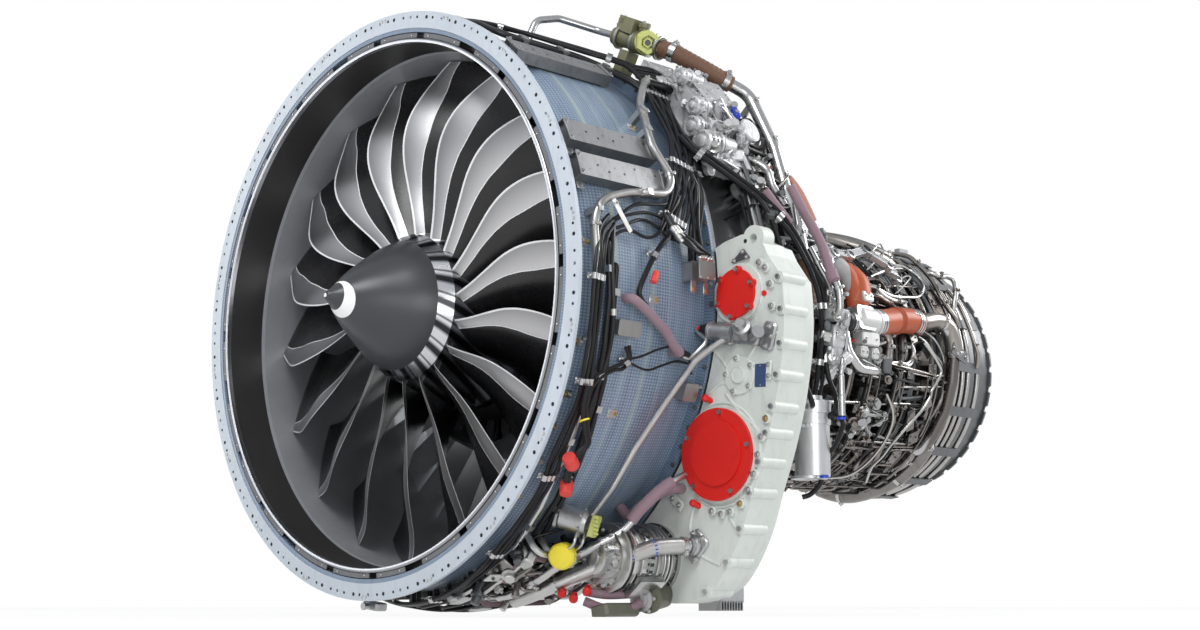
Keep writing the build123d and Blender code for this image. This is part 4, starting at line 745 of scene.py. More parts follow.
class Piece:
    def __init__(self, name, *looks):
        self.name = name
        self.looks = looks
        self.mesh = bmesh.new()
        self.look = 0

    def face(self, corners):
        made = self.mesh.faces.new(corners)
        made.material_index = self.look
        made.smooth = True

    def skin(self, rings, closedEnds=True):
        count = len(rings[0])
        for low, high in zip(rings, rings[1:]):
            for index in range(count):
                follow = (index + 1) % count
                self.face((low[index], low[follow], high[follow], high[index]))
        if closedEnds:
            self.face(tuple(reversed(rings[0])))
            self.face(rings[-1])

    def ring(self, centre, first, second, radius, sides):
        corners = []
        for turn in turns(sides):
            reach = first * math.cos(turn) + second * math.sin(turn)
            corners.append(self.mesh.verts.new(centre + reach * radius))
        return corners

    def sweep(self, line, radii, sides):
        # one ring for each point, carried along the line without twist
        rings = []
        normal, _, _ = frameOf(tangentAt(line, 0))
        for index, (point, radius) in enumerate(zip(line, radii)):
            tangent = tangentAt(line, index)
            normal = (normal - tangent * normal.dot(tangent)).normalized()
            rings.append(self.ring(point, normal, tangent.cross(normal), radius, sides))
        self.skin(rings)

    def tube(self, line, radius, sides=10):
        self.sweep(line, [radius] * len(line), sides)

    def turned(self, place, axis, outline, sides):
        # outline is pairs of radius and distance along the axis
        first, second, axis = frameOf(axis)
        rings = []
        for radius, height in outline:
            radius = max(radius, meshSettings["smallestRadius"])
            rings.append(self.ring(Vector(place) + axis * height, first, second, radius, sides))
        self.skin(rings)

    def bolt(self, place, axis, size):
        # washer, hexagon and the end of the thread
        height = size * 0.8
        self.turned(place, axis, ((size * 1.45, -0.001), (size * 1.45, size * 0.22),
            (size * 1.3, size * 0.3)), 14)
        place = Vector(place) + Vector(axis).normalized() * size * 0.28
        rim = size * 1.12
        self.turned(place, axis, ((rim, -0.001), (rim, height * 0.85), (rim * 0.86, height)), 6)
        self.turned(place, axis, ((size * 0.5, height * 0.9), (size * 0.5, height * 1.5),
            (size * 0.38, height * 1.7)), 8)

    def screw(self, place, axis, size):
        self.turned(place, axis, ((size, -0.001), (size, size * 0.3), (size * 0.75, size * 0.55),
            (size * 0.3, size * 0.6)), 12)

    def plate(self, place, axis, along, length, width, thick, bevel=0.002):
        first, second, axis = frameOf(axis, along)
        place = Vector(place)
        bevel = min(bevel, thick * 0.45, length * 0.2, width * 0.2)

        def outline(inset, height):
            corners = []
            halfLong, halfWide = length / 2 - inset, width / 2 - inset
            cut = bevel * 1.6
            for x, y in ((halfLong, halfWide - cut), (halfLong - cut, halfWide), (cut - halfLong, halfWide),
                    (-halfLong, halfWide - cut), (-halfLong, cut - halfWide), (cut - halfLong, -halfWide),
                    (halfLong - cut, -halfWide), (halfLong, cut - halfWide)):
                corners.append(self.mesh.verts.new(place + first * x + second * y + axis * height))
            return corners

        self.skin([outline(bevel, 0), outline(0, bevel), outline(0, thick - bevel), outline(bevel, thick)])

    def place(self, body="engine"):
        bmesh.ops.recalc_face_normals(self.mesh, faces=self.mesh.faces)
        data = bpy.data.meshes.new(self.name)
        self.mesh.to_mesh(data)
        self.mesh.free()
        for look in self.looks:
            data.materials.append(finishes[look])
        data.set_sharp_from_angle(angle=meshSettings["sharpAngle"])
        made = bpy.data.objects.new(self.name, data)
        scene.collection.objects.link(made)
        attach(made, body)


def bundle(piece, points, count, pitch, radius, wander):
    # parallel cables side by side on the case, each straying a little
    line = softRoute(points)
    centre = []
    for index, point in enumerate(line):
        tangent = tangentAt(line, index)
        up = awayFromAxis(point)
        centre.append((point, tangent, up, tangent.cross(up).normalized()))
    for cable in range(count):
        phase = random.uniform(0, math.tau)
        offset = (cable - (count - 1) / 2) * pitch
        path = []
        for index, (point, tangent, up, side) in enumerate(centre):
            stray = math.sin(index * 0.35 + phase) * pitch * wander
            lift = math.cos(index * 0.27 + phase) * pitch * wander * 0.6
            path.append(point + side * (offset + stray) + up * lift)
        piece.tube(path, radius)
    return centre


def cableClamp(piece, spot, count, pitch, radius):
    # a ladder of metal bands across the cables, on a strip with a bolt at its end
    point, tangent, up, side = spot
    old = piece.look
    piece.look = 1
    width = pitch * (count - 1) + radius * 2.6
    piece.plate(point - up * (radius + 0.004), up, side, width + 0.03, 0.022, 0.004)
    for cable in range(count):
        centre = point + side * ((cable - (count - 1) / 2) * pitch)
        rim = [centre + tangent * shift for shift in (-0.011, -0.009, 0.009, 0.011)]
        piece.tube(rim, radius + 0.0055, 14)
    piece.bolt(point + side * (width / 2 + 0.008) - up * radius, up, 0.0055)
    piece.look = old


def bandClamp(piece, line, index, radius, width):
    # a metal band round a pipe with its tightening barrel
    centre = line[index]
    tangent = tangentAt(line, index)
    up = awayFromAxis(centre)
    up = (up - tangent * up.dot(tangent)).normalized()
    half = tangent * width / 2
    piece.tube([centre - half, centre - half * 0.8, centre + half * 0.8, centre + half], radius + 0.003, 20)
    side = tangent.cross(up)
    piece.plate(centre + up * radius, up, side, 0.026, width * 0.8, 0.009)
    piece.bolt(centre + up * (radius + 0.008), up, 0.0045)


def band(radius, proud, half, edge):
    # outline of a raised band round a round part
    return ((radius, -half - edge), (radius + proud, -half), (radius + proud, half), (radius, half + edge))


def clampsAlong(piece, line, shares, radius, width):
    for share in shares:
        bandClamp(piece, line, int(len(line) * share), radius, width)


print("helpers ready")

# Flange: dark discs between the bolt holes, painted as the shade inside small holes; paired rivets; and
# brackets in the gap behind the lip

# screws counts the dark discs painted as hole shade, and size is their radius
flangeSettings = {
    "radius": 1.0925, "screws": 108, "size": 0.0072, "rivetRadius": 1.0985, "rivetPairs": 18,
    "brackets": 24, "bracketRadius": 1.0225, "bracketStep": 3.1, "lipSteps": 240,
    "lip": ((0.9974, 0.0200), (0.9974, 0.0020), (0.9990, -0.0006), (1.0030, -0.0020), (1.0085, -0.0010),
            (1.0115, 0.0020), (1.0115, 0.0060), (1.0036, 0.0062), (1.0036, 0.0200)),
}


def makeFlangeHoleShadesAndRivets():
    piece = Piece("flangeHoleShadesAndRivets", "paintedHoleShade", "plainSteel")
    count = flangeSettings["screws"]
    # painted shade: dark discs stand in for the shade inside the flange's small holes
    for index in range(count):
        group = index // 3
        angle = group * 10 + 2.5 * (index % 3 + 1) + (0.35 if index % 2 else -0.2)
        size = flangeSettings["size"] * (1.0 if index % 3 == 1 else 0.75)
        piece.turned(at(flangeSettings["radius"], angle, 0.0004), forward,
            ((size, 0), (size, 0.0009), (size * 0.7, 0.0006)), 12)
    piece.look = 1
    for pair in range(flangeSettings["rivetPairs"]):
        for step in (-0.55, 0.55):
            place = at(flangeSettings["rivetRadius"], pair * 20 + 8.7 + step, 0)
            piece.turned(place, forward, ((0.0062, -0.001), (0.0058, 0.0016), (0.0035, 0.0032),
                (0.001, 0.0036)), 14)
    piece.place()


def makeGapBrackets():
    # notched arc plates between the lip and the flange, with dark gaps between them
    piece = Piece("gapBrackets", "arcPlate", "plainSteel", "lipSatin")
    pitch, radius = 360 / flangeSettings["brackets"], flangeSettings["bracketRadius"]
    for index in range(flangeSettings["brackets"]):
        start = index * pitch + 4
        count = 4 if index % 3 else 3
        for step in range(count):
            angle = start + step * flangeSettings["bracketStep"]
            piece.look = 0
            piece.plate(at(radius, angle, 0.008), forward, around(angle), 0.0575, 0.019, 0.004, 0.001)
            if step in (0, count - 1):
                piece.look = 1
                piece.screw(at(radius, angle, 0.003), forward, 0.0030)
    # satin ring on the front of the inlet lip
    piece.look = 2
    rings = []
    steps = flangeSettings["lipSteps"]
    for radius, station in flangeSettings["lip"]:
        places = [at(radius, step * 360 / steps, station) for step in range(steps)]
        rings.append([piece.mesh.verts.new(place) for place in places])
    piece.skin(rings, False)
    piece.place()


# Spinner: countersunk screws round its base

spinnerSettings = {"screws": 18, "radius": 0.2275, "station": 0.0715, "lean": (0.92, -0.40)}


def makeSpinnerScrews():
    piece = Piece("spinnerScrews", "darkScrew", "plainSteel")
    for index in range(spinnerSettings["screws"]):
        angle = (index + 0.5) * 360 / spinnerSettings["screws"]
        out, back = spinnerSettings["lean"]
        lean = (outward(angle) * out + aft * back).normalized()
        place = at(spinnerSettings["radius"], angle, spinnerSettings["station"])
        piece.look = 0
        piece.turned(place, lean, ((0.0080, 0.0), (0.0080, 0.0012), (0.0065, 0.0012), (0.0045, 0.0006)), 14)
        piece.look = 1
        piece.turned(place, lean, ((0.0040, 0.0), (0.0040, 0.0014), (0.0015, 0.0015)), 6)
    piece.place("lp_spool")


makeFlangeHoleShadesAndRivets()
makeGapBrackets()
makeSpinnerScrews()
print("front pieces made")

# Rails: rivets and the bolted end brackets

# places: angle, start and end of each rail; rivets: share of its length and angle off the middle
railSettings = {
    "places": ((25.6, 0.034, 0.462), (18.6, 0.040, 0.466), (49, 0.030, 0.500)), "top": 1.1282,
        "pad": 1.0825,
    "rivets": ((0.12, 1.2), (0.22, 0.3), (0.34, 1.0), (0.42, 0.6), (0.52, 0.5), (0.66, 1.3), (0.80, -1.0),
        (0.90, 0.9)),
}


def makeRailFittings():
    piece = Piece("railFittings", "railMetal", "darkScrew")
    for angle, start, end in railSettings["places"]:
        top = railSettings["top"]
        for step, (share, shift) in enumerate(railSettings["rivets"]):
            place = at(top, angle + shift * (1 if step % 2 else -0.6), start + (end - start) * share)
            piece.look = 1 if step % 3 else 0
            piece.turned(place, outward(angle), ((0.0046, -0.001), (0.0046, 0.0008), (0.003, 0.0006)), 10)
        piece.look = 0
        for station in (start + 0.006, end - 0.006):
            piece.plate(at(top - 0.001, angle, station), outward(angle), around(angle), 0.098, 0.020, 0.006)
            for shift in (-1.7, 1.7):
                piece.bolt(at(top + 0.005, angle + shift, station), outward(angle), 0.0055)
        piece.plate(at(railSettings["pad"], angle - 3.2, start + 0.03), outward(angle), aft, 0.036, 0.030,
            0.006)
        piece.bolt(at(railSettings["pad"] + 0.006, angle - 3.2, start + 0.03), outward(angle), 0.0055)
    piece.place()


# Studs and pads bonded to the case

studSettings = {"spots": ((33.5, 0.475), (31.5, 0.522), (5.0, 0.082), (9.8, 0.060), (-3.9, 0.400),
    (-13.6, 0.080), (-26.0, 0.300), (-23.5, 0.083), (-30.1, 0.068), (-37.4, 0.076), (-45.6, 0.070),
    (58, 0.20), (62, 0.44), (72, 0.30), (84, 0.52), (96, 0.36), (110, 0.48), (128, 0.40), (146, 0.12),
    (172, 0.20), (-70, 0.46), (-96, 0.40), (-112, 0.30), (-130, 0.50), (-150, 0.22), (-166, 0.60))}


# station and outer radius of the woven case at the ends of its straight runs
caseProfile = ((0.048, 1.0507), (0.160, 1.078), (0.500, 1.078), (0.660, 1.056))


def caseSkin(station):
    for (low, before), (high, after) in zip(caseProfile, caseProfile[1:]):
        if station < high:
            break
    return before + max(station - low, 0) / (high - low) * (after - before)


def makeCaseStuds():
    piece = Piece("caseStuds", "plainSteel", "brassNut")
    for index, (angle, station) in enumerate(studSettings["spots"]):
        place = at(caseSkin(station), angle, station)
        piece.look = 0
        piece.plate(place, outward(angle), aft, 0.044, 0.030, 0.003)
        for shift in (-0.012, 0.012):
            piece.look = (index + (shift > 0)) % 2
            piece.bolt(place + aft * shift + outward(angle) * 0.003, outward(angle), 0.0055)
    piece.place()


edgeSettings = {"bolts": 90, "radius": 1.0905, "station": 0.690, "size": 0.0068}


def makeCaseEdge():
    # the bolted joint between the woven case and the metal frame
    piece = Piece("caseEdgeBolts", "darkBracket", "plainSteel")
    for index in range(edgeSettings["bolts"]):
        angle = index * 360 / edgeSettings["bolts"] + 1
        piece.look = 1 if index % 5 == 0 else 0
        piece.bolt(at(edgeSettings["radius"], angle, edgeSettings["station"]), forward,
            edgeSettings["size"])
    piece.place()


makeRailFittings()
makeCaseStuds()
makeCaseEdge()
print("case fittings made")

# Wiring on the case

wireSettings = {
    "radius": 0.0072, "pitch": 0.0185,
    "top": ((1.118, 86, 0.19), (1.120, 74, 0.20), (1.125, 66, 0.30), (1.132, 61, 0.46), (1.142, 58, 0.60),
        (1.150, 53, 0.68), (1.150, 46, 0.672), (1.146, 39.5, 0.645), (1.142, 33, 0.622), (1.140, 27, 0.600),
        (1.136, 21.5, 0.570), (1.128, 16.5, 0.535), (1.114, 11.5, 0.492), (1.104, 8.0, 0.470)),
    "drop": ((1.140, 24, 0.590), (1.138, 19.8, 0.624), (1.132, 16.5, 0.606), (1.128, 11.0, 0.590),
        (1.128, 6.5, 0.586)),
    "pair": ((1.152, 30, 0.640), (1.168, 26.5, 0.655), (1.185, 24.0, 0.700), (1.185, 21.6, 0.800),
        (1.199, 18.0, 0.900), (1.226, 12.4, 1.000), (1.233, 7.0, 1.070), (1.255, 2.2, 1.100),
        (1.268, -1.6, 1.110), (1.271, -6.5, 1.120), (1.271, -11.0, 1.120), (1.275, -14.4, 1.120),
        (1.291, -18.2, 1.100), (1.306, -20.6, 1.090)),
    "loops": (
        ((1.098, 9.6, 0.190), (1.112, 11.8, 0.256), (1.118, 13.0, 0.319), (1.116, 14.0, 0.403),
            (1.118, 14.6, 0.469), (1.124, 17.0, 0.540), (1.136, 21, 0.600)),
        ((1.098, 8.9, 0.184), (1.106, 10.4, 0.250), (1.108, 12.1, 0.350), (1.110, 11.6, 0.422),
            (1.108, 9.8, 0.470)),
        ((1.096, 7.8, 0.185), (1.104, 9.4, 0.268), (1.104, 10.4, 0.342), (1.106, 9.8, 0.400),
            (1.108, 8.3, 0.445)),
        ((1.094, 5.6, 0.160), (1.102, 7.2, 0.212), (1.106, 7.7, 0.273), (1.110, 7.2, 0.342),
            (1.118, 8.4, 0.405), (1.122, 11.5, 0.450), (1.130, 16, 0.520)),
    ),
    "left": ((1.104, 9.2, 0.180), (1.110, 6.4, 0.124), (1.118, 2.5, 0.098), (1.122, -2.9, 0.082),
        (1.122, -9.0, 0.080), (1.122, -15.5, 0.086), (1.122, -21.9, 0.094), (1.122, -27.2, 0.084),
        (1.122, -33.9, 0.078), (1.122, -40.5, 0.090), (1.124, -48.7, 0.090), (1.124, -58.0, 0.108),
        (1.126, -68.7, 0.132), (1.128, -78, 0.152), (1.128, -86, 0.165), (1.124, -91, 0.168)),
    "inner": ((1.100, 7.9, 0.186), (1.108, 4.8, 0.168), (1.110, 1.0, 0.158), (1.110, -4.0, 0.166),
        (1.110, -9, 0.178), (1.108, -14, 0.182), (1.106, -19.0, 0.172), (1.106, -24, 0.160),
        (1.108, -28.4, 0.166), (1.108, -31.4, 0.190), (1.104, -34.0, 0.188)),
    "middle": ((1.108, 8.0, 0.455), (1.108, 5.5, 0.400), (1.104, 1.5, 0.345), (1.098, -2.6, 0.308),
        (1.098, -4.4, 0.318), (1.102, -5.4, 0.340)),
    "lower": ((1.110, -13.2, 0.262), (1.110, -15.2, 0.282), (1.110, -16.6, 0.262), (1.112, -17.4, 0.216),
        (1.112, -19.4, 0.150), (1.116, -22.0, 0.112)),
    "thin": (
        ((1.108, -15.4, 0.280), (1.108, -14.6, 0.340), (1.110, -12.9, 0.418), (1.112, -11.9, 0.501),
            (1.114, -13.2, 0.563), (1.116, -16.5, 0.600)),
        ((1.106, -15.9, 0.280), (1.106, -16.9, 0.380), (1.104, -15.8, 0.452), (1.102, -14.6, 0.525),
            (1.100, -14.8, 0.600)),
    ),
    "sensor": ((1.130, -49.6, 0.300), (1.118, -51.8, 0.262), (1.114, -53.8, 0.215), (1.112, -58.1, 0.245),
        (1.112, -62.6, 0.301), (1.112, -68, 0.350)),
}


def makeWiring():
    piece = Piece("caseWiring", "blackCable", "brightTube", "clayClamp")
    radius, pitch = wireSettings["radius"], wireSettings["pitch"]
    top = bundle(piece, wireSettings["top"], 6, pitch, radius, 0.3)
    for index in (12, 30, 47, 68, 84):
        cableClamp(piece, top[index], 6, pitch, radius)
    bundle(piece, wireSettings["drop"], 2, 0.030, radius, 0.3)
    for loop in wireSettings["loops"]:
        bundle(piece, loop, 1, pitch, radius * 0.85, 0.2)
    left = bundle(piece, wireSettings["left"], 3, pitch, radius, 0.15)
    for index in (20, 40, 61, 77, 92):
        cableClamp(piece, left[index], 3, pitch, radius)
    inner = bundle(piece, wireSettings["inner"], 1, pitch, radius * 1.25, 0)
    middle = bundle(piece, wireSettings["middle"], 1, pitch, radius * 1.35, 0)
    lower = bundle(piece, wireSettings["lower"], 2, 0.016, radius * 0.9, 0.2)
    for thin in wireSettings["thin"]:
        bundle(piece, thin, 1, pitch, radius * 0.6, 0)
    bundle(piece, wireSettings["sensor"], 1, pitch, radius * 0.7, 0)
    for line, index in ((middle, 10), (lower, 12), (inner, 26)):
        cableClamp(piece, line[index], 1, pitch, radius * 1.3)
    piece.place()


def makeCablePair():
    piece = Piece("corePairCables", "blackCable", "brightTube")
    pair = bundle(piece, wireSettings["pair"], 2, 0.029, 0.0095, 0.05)
    for index in (10, 33, 56, 70):
        cableClamp(piece, pair[index], 2, 0.029, 0.0095)
    piece.place()


makeWiring()
makeCablePair()
print("wiring made")

# Sleeves and clamps of the bleed duct


def arcRoute(points, largest):
    # straight runs joined by round bends, as the tubes of the CAD are
    steps = 6
    points = [Vector(point) for point in points]
    line = [points[0]]
    for before, corner, after in zip(points, points[1:], points[2:]):
        back, ahead = before - corner, after - corner
        turn = math.pi - back.angle(ahead)
        reach = min(0.45 * min(back.length, ahead.length), largest * math.tan(turn / 2))
        first = corner + back.normalized() * reach
        second = corner + ahead.normalized() * reach
        middle = (back.normalized() + ahead.normalized()).normalized()
        bendRadius = reach / math.tan(turn / 2)
        centre = corner + middle * bendRadius / math.cos(turn / 2)
        start, end = first - centre, second - centre
        for step in range(steps + 1):
            share = step / steps
            line.append(centre + start.slerp(end, share).normalized() * bendRadius)
    line.append(points[-1])
    return line


def evenLine(line, spacing):
    # the same line with points at even steps
    out = [line[0]]
    left = spacing
    for a, b in zip(line, line[1:]):
        gap = (b - a).length
        while gap >= left and gap > 0:
            a = a + (b - a) * (left / gap)
            out.append(a)
            gap = (b - a).length
            left = spacing
        left -= gap
    return out


valveStart = Vector((0.520, 0.770, 1.105))
valveAxis = Vector((0.25, 0.06, -0.11)).normalized()
valveEnd = valveStart + valveAxis * 0.2303
ductSettings = {
    "top": (valveEnd, valveEnd + valveAxis * 0.060, (0.852, 0.940, 0.925), (0.893, 1.035, 0.880)),
    "middle": ((0.893, 1.035, 0.880), (0.92375, 1.10625, 0.84625), (1.043, 1.112, 0.610),
        (1.100, 1.110, 0.435), (1.138, 1.130, 0.290), (1.152, 1.140, 0.190)),
    "bottom": ((1.152, 1.140, 0.190), (1.1632, 1.148, 0.110), (1.166, 1.150, 0.010), at(1.160, -6.5, 1.144),
        at(1.0518, -6.5, 1.144)),
    "wrap": 0.0195, "proud": 0.0022, "sleeveRadius": 0.0334, "clampRadius": 0.0372, "spacing": 0.004,
    "largestBend": 0.160, "middleBend": 0.090,
}


def sleeveWrap(piece, line, radius, spacing, height):
    # overlapping turns of tape: each turn starts proud and falls to the next
    fine = evenLine(line, spacing / 4)
    radii = [radius + height * (1 - (index % 4) / 3.2) for index in range(len(fine))]
    radii[0] = radii[-1] = radius * 0.97
    piece.sweep(fine, radii, 22)


def makeDuctSleeves():
    piece = Piece("ductWraps", "brownWrap", "brightTube", "plainSteel")
    bend, spacing = ductSettings["largestBend"], ductSettings["spacing"]
    top = evenLine(arcRoute(ductSettings["top"], bend), spacing)
    bottom = evenLine(arcRoute(ductSettings["bottom"], bend), spacing)
    radius, wrap, proud = ductSettings["sleeveRadius"], ductSettings["wrap"], ductSettings["proud"]
    sleeveWrap(piece, top[4:-3], radius, wrap, proud)
    sleeveWrap(piece, bottom[4:62], radius - 0.001, wrap, proud)
    piece.look = 1
    for line, index in ((top, len(top) - 8), (top, 14), (bottom, 5), (bottom, 60)):
        bandClamp(piece, line, index, ductSettings["clampRadius"], 0.024)
    piece.place()


def makeMiddleClamps():
    piece = Piece("middleDuctClamps", "plainSteel", "brassNut")
    line = evenLine(arcRoute(ductSettings["middle"], ductSettings["middleBend"]), ductSettings["spacing"])
    for index in (30, 78, 118, 176):
        bandClamp(piece, line, index, 0.0235, 0.020)
        centre = line[index]
        inward = -awayFromAxis(centre)
        piece.plate(centre + inward * 0.024, inward, aft, 0.016, 0.030, 0.045)
    piece.place()


# Orange silicone sleeves of the core bleed duct, its paired clamps and the valve between them

orangeSettings = {
    "straight": ((0.640, 9.5, 2.285), (0.642, 10.0, 2.330), (0.648, 12.5, 2.500), (0.648, 12.5, 2.610)),
    "elbow": ((0.632, 31.5, 2.085), (0.650, 29.5, 2.160), (0.668, 24.0, 2.195), (0.664, 19.0, 2.185),
        (0.645, 15.5, 2.170)),
    "steel": ((0.648, 12.5, 2.610), (0.650, 13.5, 2.680), (0.656, 14.6, 2.760), (0.662, 12.5, 2.838),
        (0.650, 6.0, 2.876), (0.640, 1.0, 2.890)),
    "straightRadius": 0.0575, "elbowRadius": 0.055, "steelRadius": 0.040,
}


def pairedClamp(piece, line, index, radius, gap):
    for shift in (-gap, gap):
        centre, ahead = line[index + shift], line[index + shift + 1]
        piece.look = 1
        piece.turned(centre, ahead - centre, band(radius, 0.003, 0.005, 0.0005), 36)
        up = (outward(12) + Vector((0, -0.6, 0.5))).normalized()
        piece.look = 2
        piece.plate(centre + up * (radius + 0.002), up, aft, 0.011, 0.026, 0.009)


def makeOrangeSleeves():
    piece = Piece("orangeSleeves", "orangeSleeve", "brightTube", "plainSteel")
    radius = orangeSettings["straightRadius"]
    line = evenLine(softRoute(orangeSettings["straight"], 8), 0.004)
    piece.tube(line, radius, 36)
    middle = len(line) // 2
    for index in (middle - 3, middle, middle + 3):
        centre, ahead = line[index], line[index + 1]
        piece.turned(centre, ahead - centre, ((radius - 0.001, -0.0048), (radius + 0.0025, -0.003),
            (radius + 0.0045, 0), (radius + 0.0025, 0.003), (radius - 0.001, 0.0048)), 36)
    for index in (5, len(line) - 7):
        pairedClamp(piece, line, index, radius, 2)
    piece.look = 0
    elbow = evenLine(softRoute(orangeSettings["elbow"], 10), 0.004)
    piece.tube(elbow, orangeSettings["elbowRadius"], 36)
    pairedClamp(piece, elbow, 9, orangeSettings["elbowRadius"], 3)
    piece.place()


def makeCoreElbow():
    piece = Piece("coreSteelElbow", "hotTube", "darkBracket", "brightTube")
    radius = orangeSettings["steelRadius"]
    line = evenLine(softRoute(orangeSettings["steel"], 10), 0.006)
    piece.tube(line, radius, 32)
    piece.look = 2
    piece.turned(line[0], line[3] - line[0], ((0.050, -0.004), (0.056, 0.0), (0.050, 0.014), (0.043, 0.030),
        (0.040, 0.040)), 32)
    for index in (len(line) // 2, len(line) - 4):
        bandClamp(piece, line, index, radius, 0.014)
    piece.look = 1
    end = line[-3]
    piece.plate(end + outward(1) * 0.030, outward(1), (0, 1, -0.4), 0.120, 0.060, 0.005, 0.001)
    piece.look = 0
    for shift in (-0.045, 0.045):
        piece.bolt(end + outward(1) * 0.035 + Vector((0, shift, -shift * 0.4)), outward(1), 0.006)
    piece.place()


# blocks: angle, station, radius, length, width and height of each casting on the valve's body
valveSettings = {
    "centre": (0.645, 9.0, 2.195),
    "body": ((0.046, -0.090), (0.054, -0.086), (0.054, -0.072), (0.060, -0.066), (0.0665, -0.058),
        (0.0665, 0.040), (0.060, 0.048), (0.060, 0.066), (0.064, 0.068), (0.064, 0.080), (0.052, 0.084)),
    "blocks": ((17, 2.185, 0.640, 0.070, 0.050, 0.075), (1.5, 2.190, 0.630, 0.125, 0.060, 0.060),
               (-3.5, 2.150, 0.625, 0.055, 0.050, 0.060), (-3.5, 2.235, 0.620, 0.050, 0.050, 0.060)),
}


def makeCoreValve():
    piece = Piece("coreValveBody", "valveCast", "plainSteel", "blackCable", "brassNut", "brightTube")
    centre = at(*valveSettings["centre"])
    piece.turned(centre, aft, valveSettings["body"], 36)
    for angle, station, radius, length, width, thick in valveSettings["blocks"]:
        piece.look = 0
        piece.plate(at(radius, angle, station), outward(angle), aft, length, width, thick, 0.005)
        piece.look = 1
        for shift in (-0.3, 0.3):
            piece.bolt(at(radius + thick, angle, station + shift * length), outward(angle), 0.0048)
    piece.look = 0
    for turn in turns(10):
        spot = centre + Vector((math.cos(turn) * 0.0585, 0.078, math.sin(turn) * 0.0585))
        piece.bolt(spot, aft, 0.0042)
    piece.look = 2
    ring = at(0.650, 7.5, 2.055)
    piece.turned(ring, aft, ((0.030, -0.030), (0.047, -0.026), (0.053, -0.014), (0.053, 0.012),
        (0.048, 0.020)), 32)
    piece.look = 4
    for shift in (0.026, 0.040):
        piece.turned(ring + aft * shift, aft, band(0.046, 0.006, 0.004, 0.002), 32)
    piece.place()


makeDuctSleeves()
makeMiddleClamps()
makeOrangeSleeves()
makeCoreElbow()
makeCoreValve()
print("duct sleeves made")

# Castings and fittings: small bosses, bolts, ports and link pipes over an area. Rows of fittings in the
# settings give count, radii, angles, stations, looks, size, lean and share of links


def fittings(piece, count, radii, angles, stations, looks, size, lean, links):
    spots = []
    for index in range(count):
        radius = random.uniform(*radii)
        angle = random.uniform(*angles)
        station = random.uniform(*stations)
        place = at(radius, angle, station)
        up = outward(angle)
        axis = up + forward * random.uniform(0, lean * 2) + around(angle) * random.uniform(-lean, lean)
        axis.normalize()
        piece.look = random.choice(looks)
        kind = random.random()
        wide = random.uniform(0.009, 0.024) * size
        tall = random.uniform(0.018, 0.050) * size
        if kind < 0.38:
            piece.turned(place, axis, ((wide, -tall), (wide, tall * 0.3), (wide * 1.25, tall * 0.3),
                (wide * 1.25, tall * 0.5), (wide * 0.8, tall * 0.55), (wide * 0.8, tall),
                (wide * 0.65, tall * 1.1)), 18)
        elif kind < 0.62:
            piece.turned(place, axis, ((wide, -tall), (wide, tall * 0.6)), 6)
            piece.turned(place + axis * tall * 0.55, axis,
                ((wide * 0.6, 0), (wide * 0.6, tall * 0.6), (wide * 0.75, tall * 0.65),
                (wide * 0.75, tall)), 12)
        elif kind < 0.82:
            piece.plate(place - axis * tall * 0.4, axis, aft if index % 2 else around(angle), wide * 3.2,
                wide * 2.2, tall * 0.9, 0.004)
            for shift in (-1, 1):
                piece.bolt(place + axis * tall * 0.5 + aft * (shift * wide * 0.9), axis, 0.0045 * size)
        else:
            piece.bolt(place, axis, wide * 0.5)
        spots.append(place)
    for index in range(int(count * links)):
        first, second = random.sample(spots, 2)
        if 0.04 < (second - first).length < 0.30:
            lift = awayFromAxis(first + second) * random.uniform(0.02, 0.045) * size
            piece.look = looks[0]
            piece.tube(bentRoute((first, first + lift, second + lift, second), 0.03, 5),
                random.uniform(0.0035, 0.0065) * size, 8)


unitSettings = {
    "angle": 40, "station": 0.860, "plateRadius": 1.2402, "bolts": 10, "boltReach": (0.074, 0.062),
    "ports": ((1.165, 33, 0.790, 0.040, 0.090), (1.180, 28.5, 0.800, 0.044, 0.110),
        (1.215, 36, 0.782, 0.034, 0.080), (1.240, 43, 0.778, 0.030, 0.070),
        (1.150, 46, 0.780, 0.036, 0.090)),
    "wires": ((46.5, 0.735), (43.5, 0.728), (49.5, 0.742)),
    "fittings": ((74, (1.165, 1.238), (29, 50), (0.735, 0.965), (0, 0, 0, 1, 5), 0.85, 0.7, 0.35),
                 (46, (1.120, 1.190), (24, 33), (0.735, 0.960), (0, 0, 1, 5), 0.85, 0.7, 0.4)),
}


